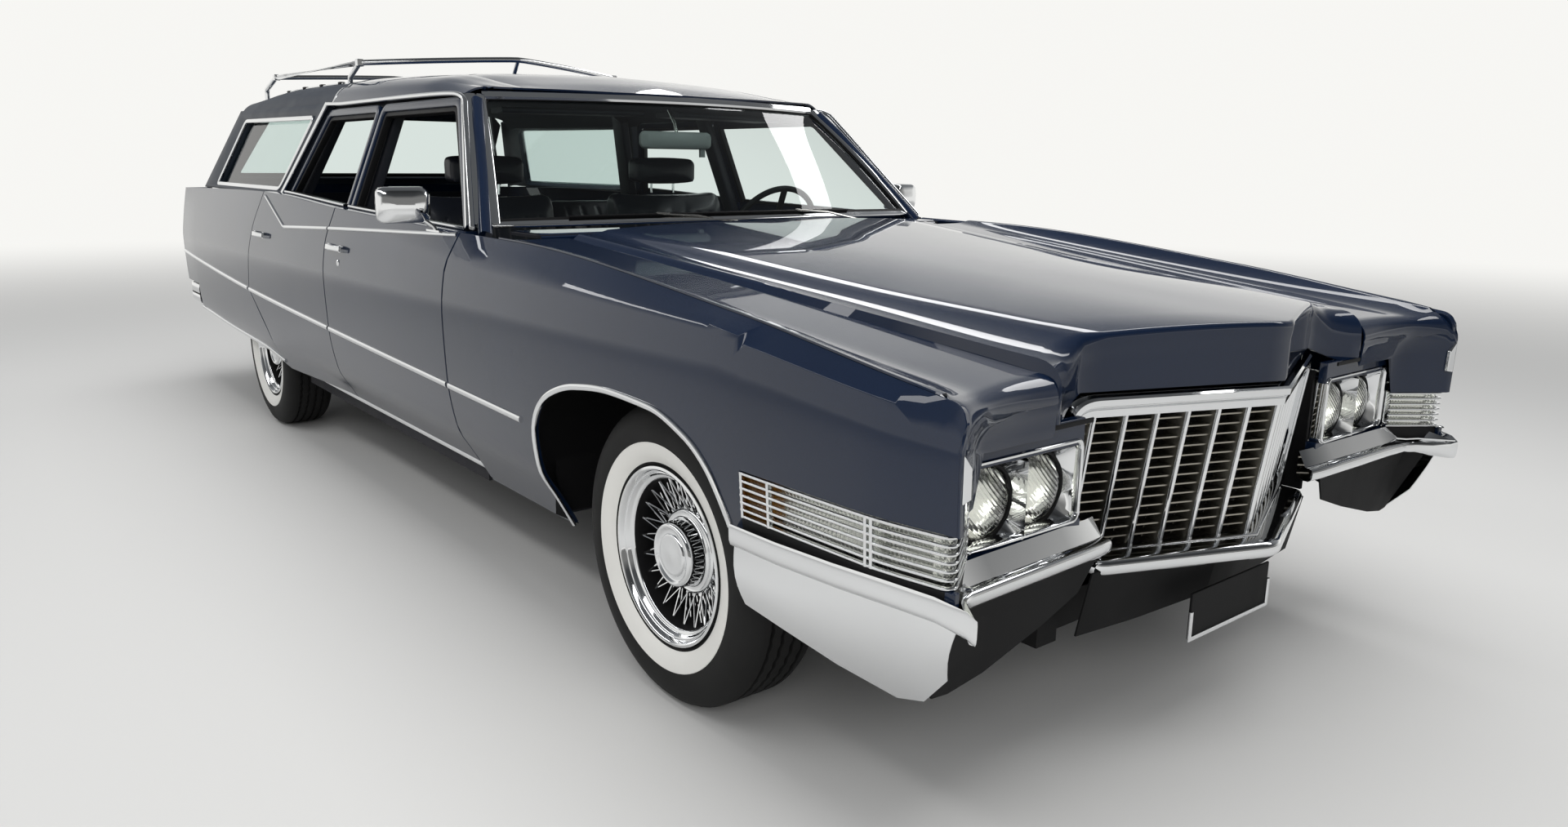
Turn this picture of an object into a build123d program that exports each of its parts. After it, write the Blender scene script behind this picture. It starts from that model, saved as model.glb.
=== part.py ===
# Full-size station wagon, millimetres. +X points forward, +Y to the car's left, +Z up.
# The origin is on the floor, under the middle of the car.
import os
from math import atan2, cos, pi, radians, sin

from build123d import *

# Driving dimensions
overall_length = 5804
half_length = overall_length / 2
wheelbase = 3378
front_axle_x = 1970
rear_axle_x = front_axle_x - wheelbase
half_width = 1000
shut_gap = 6
skin = 16
seal_gap = 0.3

# Wheels and tyres
tyre_radius = 348
tyre_width = 206
tyre_sides = 36
wheel_plane_y = 840
rim_radius = 208
dish_radius = 174
hub_sides = 16
spindle_radius = 30
spindle_reach = 10
kingpin_y = 700
spoke_count = 16
spoke_size = 5

# Heights of the body
floor_z = 285
floor_thickness = 15
floor_top_z = floor_z + floor_thickness
sill_bottom_z = 262
door_bottom_z = 330
belt_front_z = 1009
belt_rear_z = 1068
roof_edge_z = 1414
roof_top_z = 1550
roof_thickness = 26
cargo_z = 575
load_floor_rise = 6
house_top_z = 742
house_wall_y = 725

# Greenhouse side plane, leaning in towards the roof
glass_foot_y = 885
glass_foot_z = 1040
glass_head_y = 742
glass_head_z = 1400
frame_depth = 34
frame_width = 30
post_depth = 48

# Door cuts, along X
door_front_x = 915
door_split_x = -209
door_rear_top_x = -1195
door_rear_mid_x = -1378
door_rear_mid_z = 635
door_rear_low_x = -1150
door_rear_foot_x = -960
door_inner_y = 868
door_taper = 5

# Nose
nose_x = half_length - 32
nose_corner_x = half_length - 207
nose_corner_y = 455
fender_front_x = half_length - 57
fender_cap_x = fender_front_x - 8
nose_row_x = half_length - 242
hood_row_x = half_length - 302
valley_front_x = half_length - 140
lamp_wall_x = half_length - 166
blade_inner_y = 885
header_bottom_z = 735

# Grille
grille_face_x = nose_x - 2
half_grille = 462
grille_top_z = 778
grille_bottom_z = 446
header_height = 46
grille_lean = 44
blade_pitch_y = 68
blade_thickness = 7
blade_depth = 40
slat_pitch_z = 21
slat_thickness = 4
slat_depth = 30
slat_recess = 14

# Lamps of the nose
lamp_radius = 70
lamp_sides = 24
lamp_ys = (572, 719)
lamp_z = 621
lamp_gap = 0.5
side_lamp_z = (548, 642)
side_lamp_rear_x = 2330
strip_bottom_z = 518
bezel_y = (480, 811)
bezel_z = (549, 713)

# Hood
hood_rear_x = 1165
hood_foot_front_y = 600
hood_foot_rear_y = 720

# Bumpers
bumper_front_x = half_length
bumper_end_x = 2306
bumper_rear_x = -half_length
bumper_shelf_z = 513
rail_front_x = half_length - 252

# Tail
tail_x = bumper_rear_x + 50
tail_row_x = bumper_rear_x + 402
gate_half_foot = 800
gate_half_head = 628
gate_head_x = bumper_rear_x + 506
gate_head_z = 1494
gate_belt_x = bumper_rear_x + 212
gate_belt_z = 1062
gate_foot_x = bumper_rear_x + 96
gate_foot_z = 640
gate_thickness = 60
gate_hinge_x = gate_head_x + 6
gate_hinge_z = gate_head_z + 6
gate_hinge_radius = 5
cargo_rear_x = gate_foot_x + 106
tail_lamp_width = 90

# Roof rack
rack_y = 600
rack_rail = 28
rack_rise = 56
rack_front_x = -861
rack_rear_x = gate_head_x + 241
rack_rail_z = 1600


def glass_y(z):
    """Half width of the greenhouse side plane at height z."""
    share = (z - glass_foot_z) / (glass_head_z - glass_foot_z)
    return glass_foot_y + share * (glass_head_y - glass_foot_y)


def yz_face(x, points):
    """Face across the car at station x, from (y, z) points."""
    return make_face(Polyline(*[(x, y, z) for y, z in points], close=True))


def yz_ring(x, points):
    """Ring of points across the car at station x, from (y, z) points."""
    return [(x, y, z) for y, z in points]


def xy_ring(z, points):
    """Level ring of points at height z, from (x, y) points."""
    return [(x, y, z) for x, y in points]


def xz_prism(points, y_low, y_high, taper=0):
    """Side view outline in (x, z), extruded from y_high towards y_low."""
    plane = Plane(origin=(0, y_high, 0), x_dir=(1, 0, 0), z_dir=(0, -1, 0))
    sketch = plane * make_face(Polyline(*points, close=True))
    return extrude(sketch, amount=y_high - y_low, taper=taper)


def yz_prism(points, x_low, x_high):
    """Front view outline in (y, z), extruded forwards."""
    return extrude(yz_face(x_low, points), amount=x_high - x_low, dir=(1, 0, 0))


def xy_prism(points, z_low, z_high):
    """Plan outline in (x, y), extruded upwards."""
    return extrude(Pos(0, 0, z_low) * make_face(Polyline(*points, close=True)), amount=z_high - z_low)


def block(x_low, x_high, y_low, y_high, z_low, z_high):
    """Plain block between two corners."""
    centre = ((x_low + x_high) / 2, (y_low + y_high) / 2, (z_low + z_high) / 2)
    return Pos(*centre) * Box(x_high - x_low, y_high - y_low, z_high - z_low)


def flat(points):
    """Flat face through closed points."""
    return Face(Wire.make_polygon([Vector(*point) for point in points], close=True))


def hull(rings):
    """Solid through closed rings of points, each of its warped sides split into two flat triangles."""
    faces = [flat(rings[0]), flat(rings[-1])]
    for near, far in zip(rings, rings[1:]):
        for i in range(len(near)):
            j = (i + 1) % len(near)
            faces.append(flat([near[i], near[j], far[j]]))
            faces.append(flat([near[i], far[j], far[i]]))
    return Solid(Shell(faces))


def turned(rings, sides):
    """Flat-sided turned piece round the Y axis, from (y, radius) rings."""
    faces = []
    for y, radius in rings:
        faces.append(Pos(0, y, 0) * Rot(-90, 0, 0) * RegularPolygon(radius, sides))
    return loft(faces, ruled=True)


def both(solid):
    """A piece and its mirror image, as two solids of one node."""
    return Compound(children=[solid, mirror(solid, about=Plane.XZ)])


def fuse(first, *rest):
    """Union of several solids."""
    result = first
    for other in rest:
        result = result + other
    return result


def symmetric(solid):
    """Union of a solid and its mirror image."""
    return solid + mirror(solid, about=Plane.XZ)


nodes = {}


def save(name, solid):
    """Keep a node under its name."""
    nodes[name] = solid


def save_pair(name, left):
    """Keep a left piece and its mirror image as two nodes."""
    save(name + "_left", left)
    save(name + "_right", mirror(left, about=Plane.XZ))


# Body side sections: station x, top z, blade y, widest y, share of the tuck-under
side_table = [
    (fender_cap_x, 850, 924, 944, 0.2),
    (nose_row_x, 872, 925, 975, 0.5),
    (2240, 927, 926, 990, 1),
    (1360, 1001, 926, half_width, 1),
    (930, belt_front_z, 932, half_width, 1),
    (door_split_x, 1036, 938, half_width, 1),
    (door_rear_top_x, belt_rear_z, 938, half_width, 0.45),
    (-1800, 1064, 938, 998, 0.45),
    (tail_row_x, 1054, 940, 992, 0.5),
    (tail_x, 1048, 942, 982, 0.6),
]


def side_points(top_z, blade_y, wide_y, tuck, inset=0):
    """Outer line of the body side, from its top to below the sill."""
    upper_z = min(902, top_z - 24)
    return [
        (blade_y - inset, top_z - inset * 0.6),
        (wide_y - 14 - inset, upper_z),
        (wide_y - inset, 780),
        (wide_y - 4 - inset, 600),
        (wide_y - 26 * tuck - inset, 450),
        (wide_y - 80 * tuck - inset, 350),
        (wide_y - 128 * tuck - inset, sill_bottom_z),
    ]


def side_volume(inner_y, first, last, inset=0):
    """Solid between the body side's skin and the plane y = inner_y."""
    rings = []
    for x, top_z, blade_y, wide_y, tuck in side_table[first:last]:
        outer = side_points(top_z, blade_y, wide_y, tuck, inset)
        rings.append(yz_ring(x, [(inner_y, top_z - inset * 0.6)] + outer + [(inner_y, sill_bottom_z)]))
    return hull(rings)


def side_skin(first, last, thickness):
    """Side skin of one thickness, open towards the inside."""
    rings = []
    for x, top_z, blade_y, wide_y, tuck in side_table[first:last]:
        outer = side_points(top_z, blade_y, wide_y, tuck)
        inner = side_points(top_z, blade_y, wide_y, tuck, thickness)
        rings.append(yz_ring(x, outer + inner[::-1]))
    return hull(rings)


def side_sheet(near, far):
    """Leaning sheet between two depths behind the greenhouse side plane."""
    low_z, high_z = glass_foot_z - 120, glass_head_z + 120
    points = [(glass_y(low_z) - near, low_z), (glass_y(high_z) - near, high_z),
              (glass_y(high_z) - far, high_z), (glass_y(low_z) - far, low_z)]
    return yz_prism(points, bumper_rear_x, bumper_front_x)


# Doors
frame_lean = atan2(glass_foot_y - glass_head_y, glass_head_z - glass_foot_z)
frame_sheet = side_sheet(0, frame_depth / cos(frame_lean))
door_top_z = 1100
front_outline = [
    (door_front_x, door_bottom_z),
    (door_front_x, door_top_z),
    (door_split_x + shut_gap / 2, door_top_z),
    (door_split_x + shut_gap / 2, door_bottom_z),
]
rear_outline = [
    (door_split_x - shut_gap / 2, door_bottom_z),
    (door_split_x - shut_gap / 2, door_top_z),
    (door_rear_top_x, door_top_z),
    (door_rear_mid_x, door_rear_mid_z),
    (door_rear_low_x, 490),
    (door_rear_foot_x, door_bottom_z),
]


def make_door(outline, frame_outer, frame_inner, handle_x, handle_z):
    """Door: thick lower body with a leaning window frame on it and a pull handle."""
    body = side_volume(door_inner_y, 3, 8) & xz_prism(outline, door_inner_y, 1010, door_taper)
    belt_cut = [(1100, 1012), (1100, 1120), (-1500, 1120), (-1500, 1066), (door_split_x, 1036)]
    body = body - xz_prism(belt_cut, 800, glass_foot_y - 40)
    window = (xz_prism(frame_outer, 600, 1000) - xz_prism(frame_inner, 600, 1000)) & frame_sheet
    grip = block(handle_x - 70, handle_x + 70, half_width + 2, half_width + 12, handle_z - 10, handle_z + 10)
    stems = [block(x - 9, x + 9, half_width - 26, half_width + 4, handle_z - 8, handle_z + 8)
             for x in (handle_x - 60, handle_x + 60)]
    return fuse(body, window, grip, *stems)


frame_split_x = door_split_x + 11
frame_top_z = glass_head_z - frame_width
front_frame_outer = [(896, 1000), (512, glass_head_z), (frame_split_x, glass_head_z), (frame_split_x, 1000)]
front_frame_inner = [(838, 1038), (500, frame_top_z), (frame_split_x + frame_width, frame_top_z),
                     (frame_split_x + frame_width, 1038)]
rear_split_x = door_split_x - 11
rear_frame_outer = [(rear_split_x, 1020), (rear_split_x, glass_head_z), (-826, glass_head_z), (-1032, 1040)]
rear_frame_inner = [(rear_split_x - frame_width, 1060), (rear_split_x - frame_width, frame_top_z),
                    (-806, frame_top_z), (-985, 1072)]
front_door = make_door(front_outline, front_frame_outer, front_frame_inner, -60, 902)
rear_door = make_door(rear_outline, rear_frame_outer, rear_frame_inner, -1098, 891)
wheel_house_y = wheel_plane_y + tyre_width / 2 + 10
wheel_house = Pos(rear_axle_x, wheel_house_y - 150, tyre_radius) * Rot(90, 0, 0) * Cylinder(tyre_radius + 24, 300)
rear_door = rear_door - wheel_house
save_pair("front_door", front_door)
save_pair("rear_door", rear_door)

# Door mirrors: rounded shell on a slanted arm. Columns: x, width, height, corner
mirror_place = Pos(714, 1016, 1077) * Rot(0, 0, 12)
mirror_table = [(-35, 150, 105, 16), (8, 150, 105, 16), (26, 138, 94, 20), (35, 112, 72, 24)]
mirror_rings = []
for x, width, height, corner in mirror_table:
    half_w, half_h = width / 2, height / 2
    mirror_rings.append(yz_ring(x, [
        (-half_w, -half_h + corner), (-half_w + corner, -half_h), (half_w - corner, -half_h), (half_w, -half_h + corner),
        (half_w, half_h - corner), (half_w - corner, half_h), (-half_w + corner, half_h), (-half_w, half_h - corner)]))
mirror_shell = mirror_place * hull(mirror_rings)
mirror_arm = loft([Pos(740, 925, 1005) * Rectangle(70, 40), Pos(716, 975, 1062) * Rectangle(40, 40)], ruled=True)
save_pair("door_mirror", (mirror_shell + mirror_arm) - front_door)

# Front fender: side skin, top flat to the hood edge, wheel apron
arch_points = [(1440, 200), (1446, 400), (1462, 535), (1500, 610), (1581, 665), (1700, 700), (1860, 716),
               (2020, 710), (2150, 672), (2225, 620), (2274, 552), (2290, 470), (2296, 200)]
below_strip = [(fender_front_x + 20, 100), (fender_front_x + 20, strip_bottom_z), (2290, strip_bottom_z), (2290, 100)]
fender_side = [(door_front_x + shut_gap, 200), (door_front_x + shut_gap, 1100), (fender_front_x, 1100),
               (fender_front_x, 200)]
below_sill = [(900, 100), (900, 268), (1500, 268), (1500, 100)]
fender_skin = side_skin(0, 5, skin) & xz_prism(fender_side, 600, 1010)
for cut in (arch_points, below_strip, below_sill):
    fender_skin = fender_skin - xz_prism(cut, 700, 1010)

# Fender top stations: x, hood edge y, valley z, blade y, blade z
top_table = [
    (valley_front_x, hood_foot_front_y, 836, 924, 858),
    (2240, 628, 888, 926, 927),
    (1360, 702, 978, 926, 1001),
    (hood_rear_x, hood_foot_rear_y, 1000, 929, 1005),
]
top_rings = []
for x, edge_y, valley_z, blade_y, blade_z in top_table:
    top_rings.append(yz_ring(x, [
        (edge_y, valley_z), (blade_y - 30, valley_z), (blade_y - 8, blade_z - 6), (blade_y - 8, blade_z - 40),
        (blade_y - 30, valley_z - skin), (edge_y, valley_z - skin)]))
apron_front_x = half_length - 342
apron = xz_prism([(1360, 500), (1360, 955), (apron_front_x, 834), (apron_front_x, 400), (apron_front_x - 160, 400),
                  (apron_front_x - 260, 560), (apron_front_x - 360, 700), (1740, 700), (1600, 500)], 540, 552)
apron_shelf = hull([
    yz_ring(apron_front_x, [(541, 842), (hood_foot_front_y + 30, 842), (hood_foot_front_y + 30, 828), (541, 828)]),
    yz_ring(1360, [(541, 963), (730, 963), (730, 951), (541, 951)])])
lamp_wall = xy_prism([(lamp_wall_x - 2, nose_corner_y + 22), (lamp_wall_x + 14, blade_inner_y + 8),
                      (lamp_wall_x - 6, blade_inner_y + 8), (lamp_wall_x - 20, nose_corner_y + 22)],
                     header_bottom_z, 834)
blade_cap = hull([
    yz_ring(fender_front_x - 6, [(blade_inner_y + 4, 846), (924, 850), (940, 800), (944, 660), (blade_inner_y + 4, 660)]),
    yz_ring(lamp_wall_x - 20, [(blade_inner_y, 846), (924, 862), (950, 800), (962, 560), (blade_inner_y, 560)])])
lamp_side = block(lamp_wall_x - 30, lamp_wall_x - 8, bezel_y[1] + 4, blade_inner_y + 20, 520, header_bottom_z + 10)
cowl_side = block(door_front_x + shut_gap, hood_rear_x, 820, 925, 984, 1000)
lamp_window = xz_prism([(side_lamp_rear_x, side_lamp_z[0]), (side_lamp_rear_x, side_lamp_z[1]),
                        (fender_front_x + 30, side_lamp_z[1]), (fender_front_x + 30, side_lamp_z[0])],
                       blade_inner_y + 2, 1010)
front_fender = fuse(fender_skin, hull(top_rings), lamp_wall, blade_cap, lamp_side, apron, apron_shelf, cowl_side)
save_pair("front_fender", front_fender - lamp_window)

# Quarter panel: side skin with a low edge over the rear wheel, and its top shelf. Shelf columns: x, z, y
door_cut = [(0, 0), (0, 1200), (door_rear_top_x - shut_gap, 1200), (door_rear_top_x - shut_gap, door_top_z),
            (door_rear_mid_x - shut_gap, door_rear_mid_z), (door_rear_low_x - shut_gap, 486),
            (door_rear_foot_x - shut_gap, door_bottom_z - 4), (-800, 0)]
low_end_x = bumper_rear_x + 354
low_cut = [(100, 0), (100, 330), (-810, 332), (-1200, 375), (-1790, 389), (low_end_x + 208, 410), (low_end_x, 417),
           (low_end_x, 552), (bumper_rear_x, 552), (bumper_rear_x, 0)]
quarter = side_skin(5, 10, skin) - xz_prism(door_cut, 600, 1010) - xz_prism(low_cut, 600, 1010)
shelf_table = [(door_rear_top_x - 30, 1064, 930), (-1800, 1056, 930), (gate_head_x + 16, 1046, 932), (tail_x, 1046, 934)]
shelf_rings = []
for x, z, y in shelf_table:
    shelf_rings.append(yz_ring(x, [(glass_foot_y - 75, z), (y, z), (y, z - 30), (glass_foot_y - 75, z - 20)]))
rear_wall = xz_prism([(tail_x, 1046), (tail_x + 24, 1046), (tail_x + 24, 640), (tail_x, 560)], gate_half_foot + 12, 975)
quarter = fuse(quarter, hull(shelf_rings), rear_wall & side_volume(700, 8, 10, 4))
save_pair("quarter_panel", quarter)

# Roof panel with its pillars. Columns: x, edge z, centre z, edge y, shoulder y, shoulder z
roof_table = [
    (640, 1412, 1422, 700, 600, 1416),
    (420, roof_edge_z, 1472, 716, 612, 1452),
    (100, roof_edge_z, 1520, 720, 600, 1496),
    (-900, roof_edge_z + 3, roof_top_z, 722, 590, 1524),
    (-1800, roof_edge_z + 6, roof_top_z - 2, 722, 590, 1530),
    (gate_head_x + 11, roof_edge_z + 14, 1512, 712, 590, 1494),
]


def roof_section(x, edge_z, centre_z, edge_y, shoulder_y, shoulder_z):
    """Closed section of the roof panel at station x."""
    t = roof_thickness
    mid_y, mid_z = shoulder_y * 0.6, centre_z - (centre_z - shoulder_z) * 0.3
    half = [(0, centre_z), (mid_y, mid_z), (shoulder_y, shoulder_z), (edge_y, edge_z)]
    low = [(edge_y - t, edge_z - 2), (shoulder_y - t * 0.6, shoulder_z - t), (mid_y, mid_z - t), (0, centre_z - t)]
    right = [(-y, z) for y, z in half[::-1]]
    right_low = [(-y, z) for y, z in low[::-1]]
    return yz_ring(x, right + half[1:] + low + right_low[1:])


header_cut = xy_prism([(900, -900), (520, -760), (590, -400), (612, 0), (590, 400), (520, 760), (900, 900)], 1300, 1700)
roof_panel = hull([roof_section(*row) for row in roof_table]) - header_cut


def post(foot, head):
    """Leaning pillar between two rectangles, each (x, y, z, length, depth)."""
    return loft([Pos(x, y, z) * Rectangle(length, depth) for x, y, z, length, depth in (foot, head)], ruled=True)


door_back_y = door_inner_y - seal_gap
post_inset = frame_depth + 10 + post_depth / 2
belt_z = 996
a_post = post((954, glass_y(1000) - 28, 1000, 60, 40), (536, glass_y(1418) - 24, 1418, 60, 40))
b_post = post((door_split_x, glass_y(belt_z) - post_inset, belt_z, 90, post_depth),
              (door_split_x, glass_y(1448) - post_inset, 1448, 70, post_depth))
b_foot = block(door_split_x - 60, door_split_x + 60, door_back_y - 60, door_back_y, door_bottom_z - shut_gap, belt_z)
c_post = post((-1120, glass_y(belt_z) - post_inset, belt_z, 120, post_depth),
              (-930, glass_y(1430) - post_inset, 1430, 120, post_depth))
c_foot = block(-1180, -1060, door_back_y - 50, door_back_y, house_top_z, belt_z)
d_post = post((gate_head_x - 144, glass_foot_y - 32, 1046, 240, 54), (gate_head_x + 96, glass_y(1440) - 34, 1440, 150, 48))
gate_header = block(gate_head_x + 18, gate_head_x + 64, -gate_half_head, gate_half_head, 1440, 1495)


def hinge_barrels(y_low, x_reach):
    """Barrels of the tailgate hinge on both sides, each with a leaf towards x_reach."""
    barrels = []
    for side in (-1, 1):
        middle = side * (y_low + 15)
        barrel = Pos(gate_hinge_x, middle, gate_hinge_z) * turned([(-15 + seal_gap / 2, gate_hinge_radius),
                                                                   (15 - seal_gap / 2, gate_hinge_radius)], 12)
        leaf = block(min(gate_hinge_x, x_reach), max(gate_hinge_x, x_reach), middle - 14.8, middle + 14.8,
                     gate_hinge_z - 10, gate_hinge_z)
        barrels += [barrel, leaf]
    return barrels


pillars = [symmetric(pillar) for pillar in (a_post, fuse(c_post, c_foot), d_post, fuse(b_post, b_foot))]
roof = fuse(roof_panel, *hinge_barrels(300, gate_head_x + 14), *pillars, gate_header)
save("roof", roof)


def screen_ring(z, end_x, centre_x, end_y, thickness, steps=10):
    """Bowed strip of the windscreen at height z, from one side to the other and back."""
    outer = []
    for i in range(steps + 1):
        y = end_y * (2 * i / steps - 1)
        outer.append((centre_x - (centre_x - end_x) * (y / end_y) ** 2, y))
    return xy_ring(z, outer + [(x - thickness, y) for x, y in outer[::-1]])


windscreen = hull([screen_ring(1026, 925, 1100, 815, 7), screen_ring(1404, 532, 610, 668, 7)]) - roof
pane_outline = [(-1228, 1040), (-1040, 1396), (gate_head_x + 181, 1396), (gate_head_x + 12, 1040)]
quarter_pane = (xz_prism(pane_outline, 600, 1000) & side_sheet(12, 18)) - roof - quarter
save("fixed_glass", Compound(children=[windscreen, quarter_pane, mirror(quarter_pane, about=Plane.XZ)]))

# Hood. Columns: x, centre z, crease y, crease z, ridge y, ridge z, foot y, foot z
hood_table = [
    (nose_x, 905, 430, 898, 560, 862, hood_foot_front_y - shut_gap, 834),
    (hood_row_x, 925, 448, 906, 585, 880, hood_foot_front_y - shut_gap + 4, 850),
    (2090, 962, 500, 936, 606, 922, 630 - shut_gap, 903),
    (hood_rear_x + shut_gap, 1032, 600, 1020, 690, 1012, hood_foot_rear_y - shut_gap, 996),
]


def hood_section(x, centre_z, crease_y, crease_z, ridge_y, ridge_z, foot_y, foot_z):
    """Closed section of the hood at station x."""
    t = skin
    half = [(0, centre_z), (crease_y, crease_z), (ridge_y, ridge_z), (foot_y, foot_z)]
    low = [(foot_y - t, foot_z - 4), (ridge_y - t, ridge_z - t), (crease_y - 6, crease_z - t), (0, centre_z - t)]
    return yz_ring(x, [(-y, z) for y, z in half[::-1]] + half[1:] + low + [(-y, z) for y, z in low[::-1]][1:])


nose_half = [(nose_x, 0), (nose_corner_x, nose_corner_y), (lamp_wall_x - 16, 520),
             (valley_front_x, hood_foot_front_y - shut_gap), (1000, 800)]
nose_plan = nose_half + [(x, -y) for x, y in nose_half[:0:-1]]
nose_front = [(nose_x, 0), (nose_corner_x, nose_corner_y), (nose_corner_x - skin, nose_corner_y), (nose_x - skin, 0),
              (nose_corner_x - skin, -nose_corner_y), (nose_corner_x, -nose_corner_y)]
hood_panel = hull([hood_section(*row) for row in hood_table]) & xy_prism(nose_plan, 700, 1100)
save("hood", hood_panel + xy_prism(nose_front, grille_top_z + shut_gap + 2, 892))

# Grille: pointed in plan, leaning back at its foot. The blades pass through the slats and end in a frame.
sweep = (nose_x - nose_corner_x) / nose_corner_y
frame_proud = 6
header_depth = 60


def grille_x(y, z):
    """Front of the grille at one place."""
    share = (grille_top_z - z) / (grille_top_z - grille_bottom_z)
    return grille_face_x - abs(y) * sweep - grille_lean * share


def chevron(z_low, z_high, half, depth, proud=0):
    """Pointed bar across the grille between two heights."""
    rings = []
    for z in (z_low, z_high):
        front = [(grille_x(0, z) + proud, 0), (grille_x(half, z) + proud, half)]
        back = [(x - depth, y) for x, y in front]
        rings.append(xy_ring(z, [(x, -y) for x, y in front[:0:-1]] + front + back[::-1] + [(x, -y) for x, y in back[1:]]))
    return hull(rings)


def upright(y, width, depth, proud):
    """Upright blade that follows the lean of the grille."""
    outline = [(grille_x(y, z) + proud, z) for z in (grille_bottom_z, grille_top_z - 20)]
    outline += [(x - depth, z) for x, z in outline[::-1]]
    return xz_prism(outline, y - width / 2, y + width / 2)


grille = chevron(grille_top_z - header_height, grille_top_z, half_grille, header_depth, frame_proud)
slat_count = int((grille_top_z - header_height - grille_bottom_z) / slat_pitch_z)
for row in range(slat_count + 1):
    z = grille_bottom_z + row * slat_pitch_z
    grille = grille + chevron(z, z + slat_thickness, half_grille, slat_depth, -slat_recess)
blade_count = int((half_grille - 20) / blade_pitch_y)
for column in range(-blade_count, blade_count + 1):
    grille = grille + upright(column * blade_pitch_y, blade_thickness, blade_depth, 0)
for side in (-1, 1):
    grille = grille + upright(side * half_grille, 14, header_depth, frame_proud)
save("grille", grille)

# Headlamps in their bezels
to_front = Rot(0, 0, -90)
bezel = block(lamp_wall_x - 44, lamp_wall_x, bezel_y[0], bezel_y[1], bezel_z[0], bezel_z[1])
bezel = bezel - block(lamp_wall_x - 30, lamp_wall_x + 1, bezel_y[0] + 10, bezel_y[1] - 10, bezel_z[0] + 10, bezel_z[1] - 10)
lamp_shape = to_front * turned([(0, lamp_radius), (26, lamp_radius), (36, lamp_radius * 0.8), (43, lamp_radius * 0.4)],
                               lamp_sides)
lamp_hole = to_front * turned([(-20, lamp_radius + lamp_gap), (40, lamp_radius + lamp_gap)], lamp_sides)
lamps = []
for y in lamp_ys:
    bezel = bezel - Pos(lamp_wall_x - 40, y, lamp_z) * lamp_hole
    for side in (-1, 1):
        lamps.append(Pos(lamp_wall_x - 56, side * y, lamp_z) * lamp_shape)
save("headlamp_bezels", both(bezel))
save("headlamps", Compound(children=lamps))

# Side lamps behind the fender corner
lamp_low_z, lamp_high_z = side_lamp_z[0] + seal_gap, side_lamp_z[1] - seal_gap
side_lamp = side_skin(0, 3, skin) & block(side_lamp_rear_x + seal_gap, fender_cap_x, 850, 1010, lamp_low_z, lamp_high_z)
lamp_return = block(fender_front_x - 30, fender_front_x - 9, blade_inner_y + 2 + seal_gap, 930, lamp_low_z, lamp_high_z)
save("side_lamps", both(side_lamp + lamp_return))

# Front bumper, its wings wrapping round to the wheel arches.
# Wing columns: x, outer y, top z, face foot z, skirt y, skirt z
wing_table = [
    (bumper_end_x, 995, 538, 446, 978, 372),
    (hood_row_x, 988, 545, 446, 925, 303),
    (nose_row_x, 982, 547, 446, 908, 290),
    (half_length - 157, 970, 550, 446, 900, 342),
    (half_length - 40, 946, 553, 482, 925, 470),
]
wing_rings = []
for x, y, top_z, foot_z, skirt_y, skirt_z in wing_table:
    wing_rings.append(yz_ring(x, [
        (y - 34, bumper_shelf_z), (y - 9, bumper_shelf_z), (y - 9, top_z - 4), (y - 3, top_z), (y, top_z - 8), (y, foot_z),
        (skirt_y, skirt_z), (skirt_y - 14, skirt_z + 4), (y - 18, foot_z + 4), (y - 18, 497), (y - 34, 497)]))

# Bar columns: y, front x, depth, top z, step z, foot z
bar_table = [
    (938, half_length - 38, 22, 530, 506, 470),
    (905, half_length - 22, 40, 536, 502, 446),
    (405, half_length - 144, 40, 536, 502, 446),
]
bar_rings = []
for y, x, depth, top_z, step_z, foot_z in bar_table:
    bar_rings.append([(x - depth, y, top_z), (x - 14, y, top_z), (x - 14, y, step_z), (x, y, step_z - 4), (x, y, foot_z),
                      (x - depth, y, foot_z)])
loop_half = [(bumper_front_x, 0), (half_length - 160, 412)]
loop_front = [(x, -y) for x, y in loop_half[:0:-1]] + loop_half
loop = xy_prism(loop_front + [(x - 64, y) for x, y in loop_front[::-1]], 416, 452)
valance_front = [(half_length - 50, 905), (half_length - 87, 760), (half_length - 122, 600), (half_length - 160, 445),
                 (half_length - 127, 250), (half_length - 56, 0)]
valance = xy_prism(valance_front + [(x - skin, y) for x, y in valance_front[::-1]], 322, 470)
bumper_arm = block(rail_front_x, half_length - 152, 415, 465, 310, 440)
save("front_bumper", symmetric(fuse(hull(wing_rings), hull(bar_rings), valance, bumper_arm)) + loop)

# Rear bumper: bar with ends that wrap round, on two arms
rear_half = [(bumper_rear_x, 0), (bumper_rear_x, 880), (bumper_rear_x + 14, 940), (bumper_rear_x + 62, 985),
             (bumper_rear_x + 342, 985), (bumper_rear_x + 342, 965), (bumper_rear_x + 82, 965), (bumper_rear_x + 40, 905),
             (bumper_rear_x + 40, 0)]
rear_bar = xy_prism(rear_half, 440, 545)
rear_arm = block(bumper_rear_x + 32, bumper_rear_x + 162, 535, 585, 330, 460)
save("rear_bumper", symmetric(fuse(rear_bar, rear_arm)))

# Tail lamps in the fins
save("tail_lamps", both(block(tail_x - 20, tail_x, gate_half_foot + 40, gate_half_foot + 40 + tail_lamp_width, 660, 980)))

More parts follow.
